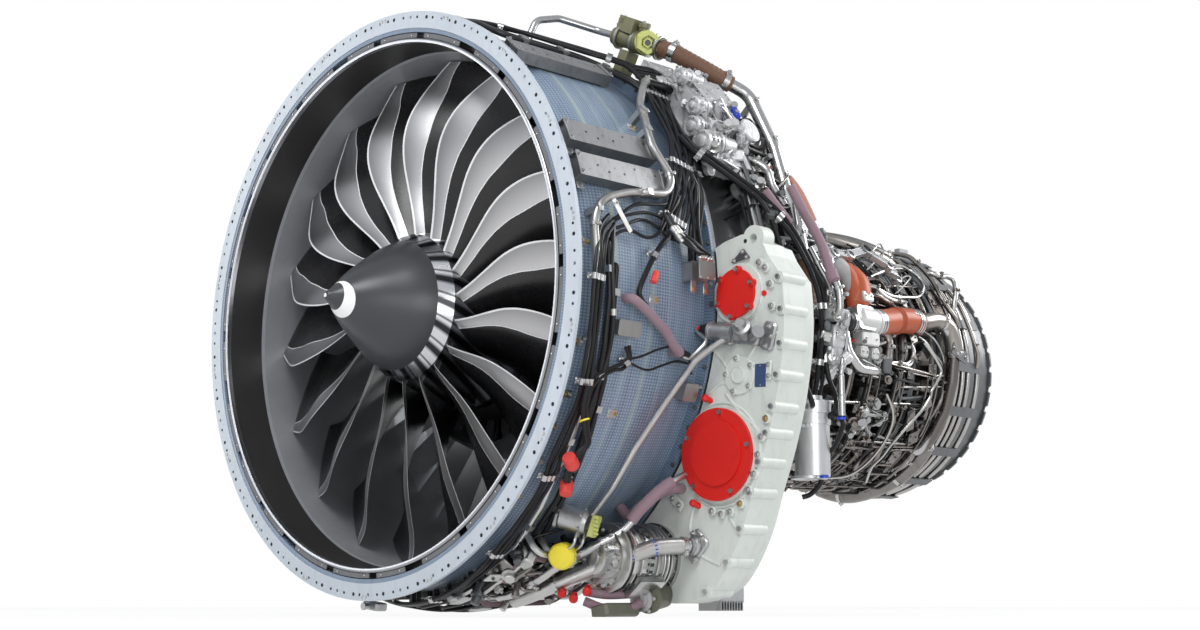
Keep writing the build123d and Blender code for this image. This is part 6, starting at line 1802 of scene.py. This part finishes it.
coreSettings = {
    "thin": (
        (0.0055, ((0.58, 58, 2.585), (0.64, 53.6, 2.615), (0.64, 47.6, 2.637), (0.64, 44.5, 2.676),
            (0.64, 44.3, 2.759), (0.64, 41.8, 2.796), (0.64, 38.5, 2.826), (0.64, 32.9, 2.814),
            (0.62, 27.8, 2.760))),
        (0.0040, ((0.60, 52.7, 2.605), (0.66, 60, 2.75), (0.64, 64.1, 2.850), (0.64, 52.2, 2.698),
            (0.64, 43.7, 2.542), (0.60, 39.6, 2.459))),
        (0.0065, ((0.60, 35.6, 2.452), (0.63, 38.7, 2.563), (0.63, 41.8, 2.668), (0.63, 44.1, 2.788),
            (0.63, 42.4, 2.845), (0.63, 36.4, 2.843), (0.63, 32.2, 2.820), (0.63, 27.1, 2.735),
            (0.63, 25.5, 2.638), (0.63, 24.6, 2.549), (0.63, 24.8, 2.489), (0.63, 27.1, 2.413),
            (0.62, 29.9, 2.344))),
        (0.0040, ((0.60, 28.3, 2.595), (0.64, 33.0, 2.677), (0.64, 37.2, 2.748), (0.64, 36.9, 2.702),
            (0.62, 33.5, 2.607))),
        (0.0065, ((0.64, 5.0, 2.656), (0.64, 1.0, 2.714), (0.64, -3.0, 2.766), (0.64, -6.1, 2.790),
            (0.64, -9.6, 2.769), (0.64, -14.3, 2.734), (0.64, -17.2, 2.729), (0.64, -22.6, 2.697),
            (0.64, -28.9, 2.643), (0.64, -34.7, 2.605), (0.64, -40.1, 2.582), (0.64, -45.8, 2.578),
            (0.64, -51.4, 2.567), (0.64, -56.4, 2.596), (0.62, -65.0, 2.696))),
        (0.0060, ((0.62, -18.4, 2.426), (0.64, -28.5, 2.505), (0.64, -45.4, 2.517), (0.64, -58.1, 2.474),
            (0.62, -64.1, 2.401))),
        (0.0050, ((0.60, 8.7, 2.679), (0.61, 5.6, 2.725), (0.61, 1.8, 2.772), (0.61, -1.3, 2.824),
            (0.60, -4.0, 2.857))),
        (0.0050, ((0.60, 11.8, 2.731), (0.62, 8.4, 2.763), (0.62, 4.6, 2.808), (0.62, 0.0, 2.835),
            (0.60, -2.7, 2.867))),
        (0.0060, ((0.60, 4.5, 2.617), (0.61, 0.2, 2.607), (0.61, -3.5, 2.581), (0.61, -5.0, 2.520),
            (0.60, -4.9, 2.429))),
    ),
    "pipes": (
        (0.0115, ((0.57, 28.7, 2.300), (0.63, 27.4, 2.385), (0.63, 24.1, 2.433), (0.63, 22.3, 2.493),
            (0.63, 22.2, 2.564), (0.61, 24.0, 2.628))),
        (0.0115, ((0.57, 25.1, 2.290), (0.63, 23.0, 2.376), (0.63, 21.5, 2.427), (0.62, 20.9, 2.484),
            (0.60, 20.5, 2.560))),
        (0.0100, ((0.60, 33.2, 2.391), (0.62, 33.6, 2.466), (0.62, 31.9, 2.503), (0.62, 28.4, 2.506),
            (0.60, 25.0, 2.533))),
        (0.0090, ((0.60, -5.9, 2.420), (0.61, -5.0, 2.469), (0.61, -4.9, 2.531), (0.61, -5.4, 2.572),
            (0.61, -3.1, 2.602), (0.61, 1.1, 2.615), (0.60, 4.1, 2.612))),
        (0.0130, ((0.60, -20.4, 2.440), (0.60, -22.3, 2.500), (0.60, -25.7, 2.539), (0.60, -29.9, 2.565),
            (0.60, -36.5, 2.574), (0.60, -43.7, 2.586), (0.60, -50.8, 2.617), (0.60, -59.2, 2.650),
            (0.60, -66.3, 2.654), (0.60, -72.3, 2.649))),
        (0.0100, ((0.58, -28.7, 2.500), (0.58, -33.5, 2.583), (0.58, -42.0, 2.612), (0.58, -50.1, 2.638),
            (0.58, -58.6, 2.678), (0.58, -68.3, 2.710), (0.58, -79.0, 2.763))),
        (0.0080, ((0.56, -36.1, 2.300), (0.60, -37.1, 2.407), (0.60, -38.8, 2.552), (0.60, -40.5, 2.660),
            (0.58, -41.8, 2.744))),
        (0.0140, ((0.57, -41.0, 2.340), (0.60, -43.5, 2.360), (0.60, -47.3, 2.429), (0.60, -51.9, 2.486),
            (0.60, -59.1, 2.546), (0.60, -62.4, 2.545), (0.60, -64.1, 2.495), (0.58, -66.9, 2.450))),
        (0.0090, ((0.58, -55.1, 2.300), (0.60, -54.7, 2.387), (0.60, -55.4, 2.454), (0.58, -57.2, 2.525))),
        (0.0160, ((0.58, -27.9, 2.861), (0.60, -20.6, 2.864), (0.60, -15.4, 2.876), (0.58, -11.0, 2.874))),
        (0.0120, ((0.60, 72, 2.955), (0.64, 58.3, 2.966), (0.64, 50.3, 2.950), (0.64, 42.3, 2.942),
            (0.64, 34.6, 2.928), (0.64, 28.5, 2.918), (0.64, 23.3, 2.933), (0.64, 19.1, 2.961),
            (0.62, 15.9, 3.009))),
        (0.0110, ((0.64, 34, 3.015), (0.64, 30.1, 3.029), (0.64, 25.6, 3.046), (0.64, 17.5, 3.057),
            (0.64, 9.4, 3.075), (0.64, 3.9, 3.094), (0.62, -1.5, 3.108))),
        (0.0130, ((0.68, 37.5, 2.850), (0.70, 35.8, 2.864), (0.70, 35.2, 2.909), (0.70, 36.0, 2.968),
            (0.70, 34.6, 3.002), (0.69, 29.6, 2.985), (0.66, 24.3, 2.965), (0.63, 21.5, 2.964))),
    ),
    "ducts": (
        (0.021, ((0.58, -59.6, 2.844), (0.60, -52.6, 2.846), (0.60, -46.5, 2.850), (0.58, -43.0, 2.870))),
        (0.044, ((0.585, -36.0, 2.880), (0.60, -42.0, 2.905), (0.60, -50.5, 2.915), (0.60, -58.0, 2.912),
            (0.60, -66.0, 2.905), (0.60, -76.0, 2.890), (0.60, -90.0, 2.880), (0.58, -104.0, 2.860))),
        (0.030, ((0.50, 96, 2.060), (0.57, 86, 2.160), (0.60, 76, 2.300), (0.61, 68, 2.450),
            (0.61, 62, 2.600), (0.60, 56, 2.760), (0.57, 52, 2.860))),
        (0.034, ((0.50, 118, 2.100), (0.58, 104, 2.260), (0.61, 92, 2.420), (0.62, 82, 2.580),
            (0.62, 74, 2.740), (0.60, 66, 2.880), (0.57, 62, 2.960))),
        (0.024, ((0.50, 12, 2.330), (0.57, 9, 2.440), (0.575, 5, 2.470), (0.575, -1, 2.462),
            (0.57, -6, 2.455), (0.50, -10, 2.440))),
        (0.020, ((0.50, 13, 2.590), (0.57, 9, 2.594), (0.575, 3, 2.589), (0.57, -4, 2.575),
            (0.50, -9, 2.560))),
        (0.026, ((0.47, -70, 2.080), (0.55, -66, 2.160), (0.57, -60, 2.260), (0.57, -52, 2.300),
            (0.50, -46, 2.310))),
    ),
    "plates": ((6.8, 2.612, 0.050, 0.044, 20), (-20.4, 2.758, 0.055, 0.048, 35),
        (-5.5, 2.753, 0.060, 0.050, 5), (-36.6, 2.752, 0.060, 0.070, 30), (23.9, 2.605, 0.050, 0.060, -20),
        (-28.5, 2.670, 0.050, 0.110, 25), (-47.5, 2.700, 0.050, 0.080, 10), (47, 2.850, 0.050, 0.090, 15),
        (14.5, 2.640, 0.060, 0.090, 0), (-62, 2.560, 0.050, 0.060, 40), (-8.5, 2.585, 0.042, 0.052, 0),
        (29, 2.870, 0.046, 0.080, 10)),
    "boxes": ((37.5, 2.650, 0.150, 0.120), (52, 2.560, 0.110, 0.090)), "straps": 64,
    "fittings": (
        (34, (0.555, 0.625), (-38, -24), (2.27, 2.48), (0, 1, 2), 1.1, 0.6, 0.3),
        (26, (0.560, 0.640), (-9, 3), (2.10, 2.34), (0, 1, 3), 1.0, 0.6, 0.4),
        (40, (0.560, 0.640), (24, 60), (1.98, 2.34), (0, 1, 3), 1.1, 0.6, 0.4),
        (60, (0.520, 0.600), (-70, 90), (2.34, 2.86), (1, 3, 3, 2), 0.8, 0.5, 0.5),
        (50, (0.440, 0.560), (-70, 80), (1.30, 1.95), (0, 1, 3), 1.2, 0.5, 0.5),
    ),
    "redPlugs": ((0.640, 0.6, 2.120), (0.60, -8.0, 2.190), (0.62, -43.6, 2.853)),
    "arms": (((0.700, 30.9, 1.992), (0.705, 33.9, 2.068), (0.715, 33.9, 2.169), (0.715, 39.1, 2.340)),
        ((0.715, 39.1, 2.340), (0.700, 33.8, 2.470), (0.660, 31.5, 2.560))),
}


def strap(piece, angle, station, radius, length, width, turn):
    # a thin bracket with three bolts and a turned-down foot
    up = outward(angle)
    along = aft * math.cos(math.radians(turn)) + around(angle) * math.sin(math.radians(turn))
    across = up.cross(along)
    spot = at(radius, angle, station)
    piece.plate(spot, up, along, length, width, 0.004, 0.001)
    piece.plate(spot + along * (length / 2 - 0.002) - up * 0.050, along, up, 0.104, width * 0.8, 0.004,
        0.001)
    for first, second in ((-0.32, -0.28), (-0.32, 0.28), (0.25, 0.0)):
        piece.bolt(spot + up * 0.004 + along * first * length + across * second * width, up, 0.0042)


# depth: how far below its run a pipe ends; innermost: the radius inside which none ends; the rows give
# looks, count, radii, angles, stations and sizes
plumbSettings = {
    "depth": 0.14, "innermost": 0.365,
    "under": (((0, 0, 1, 2), 56, (0.500, 0.560), (-100, 96), (2.02, 2.56), (0.007, 0.016)),
              ((0, 1, 1, 2), 46, (0.560, 0.600), (-104, 84), (2.56, 2.86), (0.006, 0.013)),
              ((0, 1, 2, 3), 46, (0.440, 0.560), (-80, 80), (1.36, 1.92), (0.006, 0.014))),
    "over": (((0, 1, 1, 2, 3), 44, (0.590, 0.625), (20, 92), (2.06, 2.86), (0.0035, 0.0075)),
             ((0, 1, 1, 3), 34, (0.590, 0.620), (-80, -8), (2.30, 2.86), (0.0035, 0.0070))),
    "belly": (((0, 0, 0, 1, 3, 4), 30, (1.150, 1.195), (-70, -55), (0.18, 0.62), (0.006, 0.012)),
              ((0, 0, 0, 1, 3, 4), 16, (1.125, 1.145), (-88, -68), (0.18, 0.62), (0.005, 0.009))),
}


def plumb(piece, looks, count, radii, angles, stations, sizes):
    # pipes that rise from a case, run along it and round it with bends, and go back in
    for index in range(count):
        radius = random.uniform(*radii)
        angle = random.uniform(*angles)
        station = random.uniform(*stations)
        size = random.uniform(*sizes)
        sunk = max(radius - plumbSettings["depth"], plumbSettings["innermost"])
        corners = [at(sunk, angle, station), at(radius, angle, station)]
        alongFirst = index % 2
        for leg in range(random.choice((1, 2, 2, 3))):
            if (leg + alongFirst) % 2:
                goal = min(max(station + random.choice((-1, 1)) * random.uniform(0.16, 0.50), stations[0]),
                    stations[1])
                if abs(goal - station) > 0.03:
                    station = goal
                    angle += random.uniform(-3, 3)
                    corners.append(at(radius, angle, station))
            else:
                goal = min(max(angle + random.choice((-1, 1)) * random.uniform(18, 58), angles[0]),
                    angles[1])
                parts = max(1, int(abs(goal - angle) / 7))
                for part in range(parts):
                    share = (part + 1) / parts
                    corners.append(at(radius, angle + (goal - angle) * share, station))
                angle = goal
        corners.append(at(sunk, angle, station))
        piece.look = random.choice(looks)
        line = bentRoute(corners, size * 4, 4)
        piece.tube(line, size, 8)
        if index % 2 == 0 and len(line) > 14:
            spot = line[len(line) // 2]
            bandClamp(piece, line, len(line) // 2, size, 0.012)
            up = awayFromAxis(spot)
            piece.plate(spot - up * 0.09, up, aft, 0.012, 0.022, 0.088)


def arm(piece, points, wide):
    # a cast link: bored eyes joined by a waisted, flanged web
    places = [at(*point) for point in points]
    for index, place in enumerate(places):
        up = outward(points[index][1])
        size = wide * (1.25 if index % 3 == 0 else 0.85)
        piece.turned(place - up * 0.014, up, ((size, 0), (size, 0.028), (size * 0.8, 0.030),
            (size * 0.62, 0.030), (size * 0.60, 0.004), (0.0005, 0.004)), 24)
    for first, second in zip(places, places[1:]):
        middle = (first + second) / 2
        up = awayFromAxis(middle)
        span = second - first
        piece.plate(middle - up * 0.009, up, span, span.length - wide * 0.9, wide * 1.15, 0.018, 0.003)
        side = up.cross(span).normalized()
        for turn in (-1, 1):
            piece.plate(middle - up * 0.013 + side * turn * wide * 0.55, up, span, span.length - wide * 1.2,
                0.005, 0.026, 0.0015)


def makeCorePlumbing():
    piece = Piece("corePipes", "plainSteel", "hotTube", "coreSteel", "darkBracket", "blackCable")
    for radius, points in coreSettings["thin"]:
        piece.tube(softRoute(points, 6), radius, 8)
    for index, (radius, points) in enumerate(coreSettings["pipes"]):
        piece.look = 2 if index in (5, 9) else (1 if index % 3 else 0)
        line = softRoute(points, 7)
        piece.tube(line, radius, 14)
        piece.look = 1
        clampsAlong(piece, line, (0.25, 0.7), radius, 0.014)
    for index, (radius, points) in enumerate(coreSettings["ducts"]):
        piece.look = 2 if index % 2 else 1
        line = softRoute(points, 8)
        piece.tube(line, radius, 22)
        piece.look = 0
        clampsAlong(piece, line, (0.12, 0.5, 0.86), radius, 0.018)
    piece.place()
    layer = Piece("coreUnderPipes", "coreSteel", "darkBracket", "hotTube", "blackCable")
    for row in plumbSettings["under"]:
        plumb(layer, *row)
    layer.place()
    upper = Piece("coreOverPipes", "hotTube", "coreSteel", "darkBracket", "blackCable")
    for row in plumbSettings["over"]:
        plumb(upper, *row)
    upper.place()


def makeCoreBrackets():
    piece = Piece("coreBrackets", "coreSteel", "darkBracket", "brassNut")
    for angle, station, length, width, turn in coreSettings["plates"]:
        strap(piece, angle, station, 0.615, length, width, turn)
    for _ in range(coreSettings["straps"]):
        piece.look = random.choice((0, 1, 1))
        angle = random.uniform(-100, 94)
        station = random.uniform(2.04, 2.84)
        reach = 0.50 + random.uniform(0, 0.08) + (0.03 if station > 2.5 else 0)
        strap(piece, angle, station, reach, random.uniform(0.035, 0.08), random.uniform(0.03, 0.07),
            random.uniform(-50, 50))
    # louvred boxes, a can and a block of connectors
    piece.look = 1
    for angle, station, length, width in coreSettings["boxes"]:
        up = outward(angle)
        piece.plate(at(0.545, angle, station), up, aft - around(angle) * 0.45, length, width, 0.055, 0.006)
        for step in range(5):
            piece.plate(at(0.600, angle, station) + Vector((0, (step - 2) * length * 0.17, 0)), up,
                around(angle), width * 0.7, 0.006, 0.004, 0.001)
    first, second = at(0.615, 44, 2.840), at(0.605, 33.5, 2.880)
    axis = second - first
    piece.turned(first, axis, ((0.020, 0), (0.030, 0.003), (0.030, axis.length * 0.9),
        (0.026, axis.length * 0.92), (0.026, axis.length), (0.010, axis.length * 1.01)), 24)
    piece.plate(at(0.585, -6.7, 2.390), outward(-6.7), aft, 0.060, 0.072, 0.050, 0.006)
    piece.place()


def makeCoreCastings():
    piece = Piece("coreCastings", "castAluminium", "coreSteel", "hotTube", "darkBracket", "brassNut",
        "redCover")
    for points in coreSettings["arms"]:
        arm(piece, points, 0.030)
    for row in coreSettings["fittings"]:
        fittings(piece, *row)
    piece.look = 5
    for place in coreSettings["redPlugs"]:
        piece.turned(at(*place), (0.4, -0.8, 0.1), ((0.007, -0.010), (0.007, 0.012), (0.005, 0.015)), 12)
    piece.place()


makeCorePlumbing()
makeCoreBrackets()
makeCoreCastings()
print("core pieces made")

# Strip between the gearbox and the core: sleeves, elbows, the filter's cables

# blocks: angle, station, radius, length and width; filterRings: height, radius and thickness
stripSettings = {
    "mauve": ((1.294, 18.4, 0.980), (1.282, 15.0, 1.030), (1.276, 12.7, 1.070), (1.287, 9.1, 1.100),
        (1.291, 6.0, 1.120), (1.308, 3.3, 1.120), (1.322, 2.1, 1.120)),
    "mauveElbow": ((1.322, 2.1, 1.120), (1.330, 0.7, 1.125), (1.330, -0.9, 1.130), (1.327, -2.4, 1.130),
        (1.300, -3.4, 1.130)),
    "mauveDark": ((1.213, 19.0, 0.930), (1.211, 17.3, 0.960), (1.213, 15.5, 0.990), (1.222, 13.0, 1.020)),
    "redBrown": ((1.160, 27.5, 1.110), (1.199, 25.1, 1.120), (1.201, 24.4, 1.130), (1.214, 20.9, 1.150),
        (1.222, 17.3, 1.160), (1.226, 14.7, 1.170)),
    "darkElbow": ((1.226, 9.0, 1.110), (1.249, 5.1, 1.130), (1.266, 3.2, 1.140), (1.274, 1.5, 1.150),
        (1.274, -0.8, 1.150)),
    "silverBack": ((1.160, 28.0, 0.980), (1.203, 24.5, 1.000), (1.190, 21.4, 1.020), (1.196, 17.4, 1.050)),
    "loop": ((1.352, -18.5, 1.140), (1.400, -19.5, 1.145), (1.400, -21.0, 1.150), (1.390, -23.6, 1.150),
        (1.358, -25.4, 1.150), (1.313, -25.2, 1.140), (1.270, -23.0, 1.130), (1.291, -20.8, 1.100)),
    "loopLow": ((1.306, -20.6, 1.090), (1.290, -22.5, 1.120), (1.304, -24.2, 1.130), (1.318, -25.7, 1.140),
        (1.349, -26.2, 1.150), (1.377, -27.4, 1.150), (1.388, -29.7, 1.150), (1.375, -31.8, 1.140),
        (1.361, -32.7, 1.120)),
    "branch": ((1.283, -10.9, 1.130), (1.301, -13.5, 1.140), (1.341, -16.2, 1.150), (1.352, -18.5, 1.140),
        (1.308, -20.9, 1.110)),
    "blocks": ((-3.0, 1.165, 1.290, 0.100, 0.050), (-6.5, 1.160, 1.285, 0.070, 0.085),
        (-9.6, 1.160, 1.280, 0.060, 0.070)),
    "filter": (1.19, 1.10, 0), "filterRings": ((-0.487, 0.0655, 0.012), (-0.435, 0.060, 0.010),
        (-0.672, 0.0640, 0.010)),
    "teeth": 28,
}


def makeStripSleeves():
    piece = Piece("stripSleeves", "mauveHose", "brightTube", "clayClamp", "plainSteel", "darkBracket")
    line = softRoute(stripSettings["mauve"], 8)
    piece.tube(line, 0.0185, 16)
    piece.tube(line[-12:-2], 0.0235, 16)
    piece.tube(softRoute(stripSettings["mauveDark"], 6), 0.017, 14)
    piece.look = 1
    elbow = softRoute(stripSettings["mauveElbow"], 8)
    piece.tube(elbow, 0.0150, 16)
    silver = softRoute(stripSettings["silverBack"], 6)
    piece.tube(silver, 0.0165, 14)
    dark = softRoute(stripSettings["darkElbow"], 7)
    piece.tube(dark, 0.0130, 14)
    piece.look = 3
    for route, radius in ((elbow, 0.0150), (silver, 0.0165), (dark, 0.0130)):
        clampsAlong(piece, route, (0.2, 0.85), radius, 0.012)
    piece.look = 2
    piece.tube(softRoute(stripSettings["redBrown"], 7), 0.0115, 12)
    piece.place()


def makeStripCastings():
    piece = Piece("stripCastings", "fuelCast", "plainSteel", "brightTube", "bluePlug", "blackCable",
        "darkBracket")
    first = at(1.250, -14.2, 1.150)
    axis = Vector((0.60, 0.42, 0.62)).normalized()
    piece.turned(first, axis, ((0.018, 0), (0.024, 0.004), (0.024, 0.110), (0.0215, 0.113), (0.0215, 0.122),
        (0.0245, 0.125), (0.0245, 0.148), (0.020, 0.152), (0.004, 0.150)), 26)
    for step in range(4):
        piece.turned(first + axis * (0.020 + step * 0.022), axis,
            ((0.024, 0), (0.0252, 0.002), (0.0252, 0.006), (0.024, 0.008)), 26)
    for angle, station, radius, length, width in stripSettings["blocks"]:
        piece.plate(at(radius - 0.03, angle, station), outward(angle), aft, length, width, 0.060, 0.006)
        for shift in (-1, 1):
            piece.look = 1
            piece.bolt(at(radius + 0.030, angle, station + shift * length * 0.3), outward(angle), 0.005)
            piece.look = 0
    fittings(piece, 40, (1.230, 1.300), (-14, 1), (1.120, 1.210), (0, 0, 2, 1, 5), 0.9, 0.6, 0.4)
    # castellated ring, upper caps and foot ring of the filter
    head = Vector(stripSettings["filter"])
    for height, radius, tall in stripSettings["filterRings"]:
        piece.look = 0
        piece.turned(head + Vector((0, 0, height)), (0, 0, 1),
            ((radius - 0.008, -0.002), (radius, 0), (radius, tall), (radius - 0.008, tall + 0.002)), 40)
    for turn in turns(stripSettings["teeth"]):
        reach = Vector((math.cos(turn), math.sin(turn), 0))
        piece.plate(head + Vector((0, 0, -0.478)) + reach * 0.0640, reach, (0, 0, 1), 0.014, 0.008, 0.005,
            0.001)
    piece.look = 3
    for place, lean in ((at(1.262, -14.6, 1.130), (0.1, 0, 1)), (at(1.392, -19.0, 1.142), (0.1, 0, 1)),
            (at(1.43, -27.8, 1.10), (0, 0, -1))):
        piece.turned(place, lean, ((0.0155, -0.006), (0.0165, -0.005), (0.0165, 0.004), (0.0155, 0.005)),
            18)
    piece.look = 2
    for start, end, size in ((at(1.352, -12.5, 1.140), at(1.392, -18.6, 1.142), 0.0135),
            (at(1.345, -10.0, 1.150), at(1.352, -12.5, 1.140), 0.0105)):
        span = end - start
        piece.turned(start, span, ((size * 0.8, 0), (size, 0.004), (size, span.length * 0.5),
            (size * 1.2, span.length * 0.52), (size * 1.2, span.length * 0.62), (size, span.length * 0.64),
            (size, span.length)), 18)
    piece.place()


def makeStripCables():
    piece = Piece("stripCables", "blackCable", "brightTube", "darkScrew")
    for route in ("loop", "loopLow", "branch"):
        piece.tube(softRoute(stripSettings[route], 8), 0.0095, 12)
    for place in (at(1.290, -20.8, 1.100), at(1.262, -14.8, 1.128)):
        piece.look = 1
        piece.turned(place + Vector((0, 0, 0.02)), (0, 0, -1),
            ((0.016, 0), (0.018, 0.004), (0.018, 0.022), (0.014, 0.030), (0.014, 0.040)), 18)
    piece.place()


makeStripSleeves()
makeStripCastings()
makeStripCables()
print("strip pieces made")

# Red rubber caps on a loose connector pair, clutter behind the gearbox and below the case, and the
# long tube, wires and lid on the case

capSettings = {
    "cable": ((1.150, -20.5, 0.085), (1.152, -24.5, 0.090), (1.156, -28.0, 0.125), (1.160, -30.5, 0.150),
        (1.160, -32.6, 0.128), (1.160, -35.5, 0.120), (1.158, -38.0, 0.140)),
    "caps": (((1.162, -34.0, 0.108), (0.35, -0.75, 0.55), 0.0255, 0.052),
        ((1.160, -39.3, 0.150), (0.25, -0.35, -0.90), 0.0235, 0.050)),
    "tie": (1.154, -26.5, 0.105),
}


def makeRedCaps():
    piece = Piece("redCaps", "blackCable", "redRubber", "yellowCap", "darkScrew")
    for shift in (-0.007, 0.007):
        piece.tube([point + aft * shift for point in softRoute(capSettings["cable"], 7)], 0.0085, 12)
    piece.look = 1
    for place, axis, radius, tall in capSettings["caps"]:
        axis = Vector(axis).normalized()
        outline = ((radius * 0.9, 0), (radius, 0.004), (radius, tall * 0.55), (radius * 0.93, tall * 0.58),
                   (radius * 0.93, tall * 0.94), (radius * 0.84, tall))
        piece.turned(at(*place) - axis * tall * 0.5, axis, outline, 30)
        piece.look = 3
        piece.turned(at(*place) - axis * tall * 0.56, axis,
            ((radius * 0.7, -0.012), (radius * 0.8, 0.0), (radius * 0.8, 0.006)), 24)
        piece.look = 1
    piece.look = 2
    tie = at(*capSettings["tie"])
    piece.turned(tie, (0.25, 0.2, -0.95), band(0.016, 0.0025, 0.002, 0.001), 20)
    piece.place()


def makeFrameClutter():
    piece = Piece("frameClutter", "blackCable", "coreSteel", "darkBracket", "plainSteel", "castAluminium",
        "limeCap")
    plumb(piece, (0, 0, 1, 2, 3), 34, (1.150, 1.185), (10, 38), (0.86, 1.13), (0.005, 0.0095))
    fittings(piece, 44, (1.130, 1.175), (10, 36), (0.90, 1.13), (1, 2, 2, 3, 4), 1.0, 0.6, 0.4)
    piece.look = 4
    arm(piece, ((1.140, 20.5, 0.880), (1.150, 15.5, 0.905), (1.150, 11.5, 0.890)), 0.030)
    piece.look = 5
    piece.turned(at(1.165, 11.0, 0.935), (0.5, -0.6, 0.5),
        ((0.020, -0.02), (0.026, -0.008), (0.026, 0.010), (0.018, 0.022)), 24)
    piece.place()


def makeBellyClutter():
    piece = Piece("bellyClutter", "blackCable", "coreSteel", "darkBracket", "plainSteel", "mauveHose",
        "braidMetal")
    for row in plumbSettings["belly"]:
        plumb(piece, *row)
    fittings(piece, 56, (1.130, 1.185), (-69, -54), (0.16, 0.62), (1, 2, 2, 3, 5), 1.1, 0.6, 0.5)
    for angle, start, end in ((-62, 0.10, 0.58), (-70, 0.16, 0.60)):
        piece.look = 3
        piece.plate(at(1.168, angle, (start + end) / 2), outward(angle), aft, end - start, 0.045, 0.006,
            0.001)
        for step in range(9):
            piece.look = 2
            piece.bolt(at(1.174, angle, start + (end - start) * (step + 0.5) / 9), outward(angle), 0.005)
    piece.place()


caseTrimSettings = {
    "tube": ((1.158, 45.9, 0.690), (1.158, 45.9, 0.650), (1.158, 43, 0.590), (1.138, 37, 0.505),
        (1.152, 33, 0.470), (1.152, 25.5, 0.428), (1.152, 19, 0.486), (1.150, 15.4, 0.440),
        (1.140, 14.4, 0.245), (1.128, 12.2, 0.120), (1.112, 8.6, 0.084), (1.106, 0, 0.092),
        (1.104, -8, 0.100), (1.104, -17, 0.106), (1.104, -27, 0.120), (1.104, -36, 0.126)),
    "jumpers": ((0.428, 8.6, 0.556), (0.440, 8.0, 0.568), (0.452, 7.4, 0.582), (0.446, 8.8, 0.598),
        (0.460, 8.2, 0.612)),
    "lugs": ((-0.6, 0.556), (-0.6, 0.622)), "box": (1.156, 2.4, 0.590), "tubeRadius": 0.0148,
    "strap": (1.162, 8.9, 0.168), "strapLean": (0, 0.60, -1),
}


def makeCaseTrim():
    piece = Piece("caseTrim", "plainSteelWorn", "blackCable", "plainSteel", "boxMetal", "redRubber",
        "brassNut")
    line = bentRoute([at(*point) for point in caseTrimSettings["tube"]], 0.055, 9)
    piece.tube(line, caseTrimSettings["tubeRadius"], 18)
    piece.look = 2
    clampsAlong(piece, line, (0.10, 0.23, 0.42, 0.62, 0.80), 0.0150, 0.012)
    for station, angle, end in caseTrimSettings["jumpers"]:
        piece.look = 1
        wire = softRoute(((1.150, angle + 3.0, station - 0.030), (1.158, angle, station),
            (1.172, angle - 2.2, (station + end) / 2), (1.166, 4.9, end - 0.012), (1.152, 4.3, end)), 6)
        piece.tube(wire, 0.0068, 10)
        piece.look = 2
        for spot in (5, len(wire) - 6):
            axis = wire[spot + 1] - wire[spot]
            piece.turned(wire[spot], axis, ((0.0085, 0), (0.0125, 0.004), (0.0125, 0.020), (0.0100, 0.022),
                (0.0100, 0.034), (0.0080, 0.036)), 16)
    # lid, screws and lugs of the silver box beside the gearbox
    radius, angle, station = caseTrimSettings["box"]
    up, box = outward(angle), at(radius, angle, station)
    piece.look = 3
    piece.plate(box, up, aft, 0.086, 0.074, 0.006, 0.001)
    piece.look = 2
    for turn in (-1, 1):
        for step in (-1, 0, 1):
            piece.bolt(box + up * 0.006 + aft * (step * 0.036) + around(angle) * turn * 0.031, up, 0.0032)
    for angle, station in caseTrimSettings["lugs"]:
        piece.look = 3
        piece.plate(at(1.118, angle, station), outward(angle), around(angle), 0.046, 0.026, 0.006, 0.002)
        piece.look = 5
        piece.turned(at(1.122, angle - 0.5, station), outward(angle),
            ((0.0085, 0), (0.0095, 0.005), (0.0070, 0.006)), 16)
    piece.look = 0
    radius, angle, station = caseTrimSettings["strap"]
    along = Vector(caseTrimSettings["strapLean"]).normalized()
    piece.plate(at(radius, angle, station), outward(angle), along, 0.130, 0.022, 0.004, 0.001)
    for reach in (-0.048, 0.048):
        piece.bolt(at(radius + 0.004, angle, station) + along * reach, outward(angle), 0.0042)
    piece.look = 4
    piece.turned(at(1.150, -1.6, 0.322), (-0.1, 0.45, 0.9),
        ((0.009, 0), (0.0125, 0.003), (0.0125, 0.036), (0.0105, 0.040), (0.0105, 0.046)), 20)
    piece.place()


makeCaseTrim()
makeRedCaps()
makeFrameClutter()
makeBellyClutter()
print("caps, clutter and case trim made")
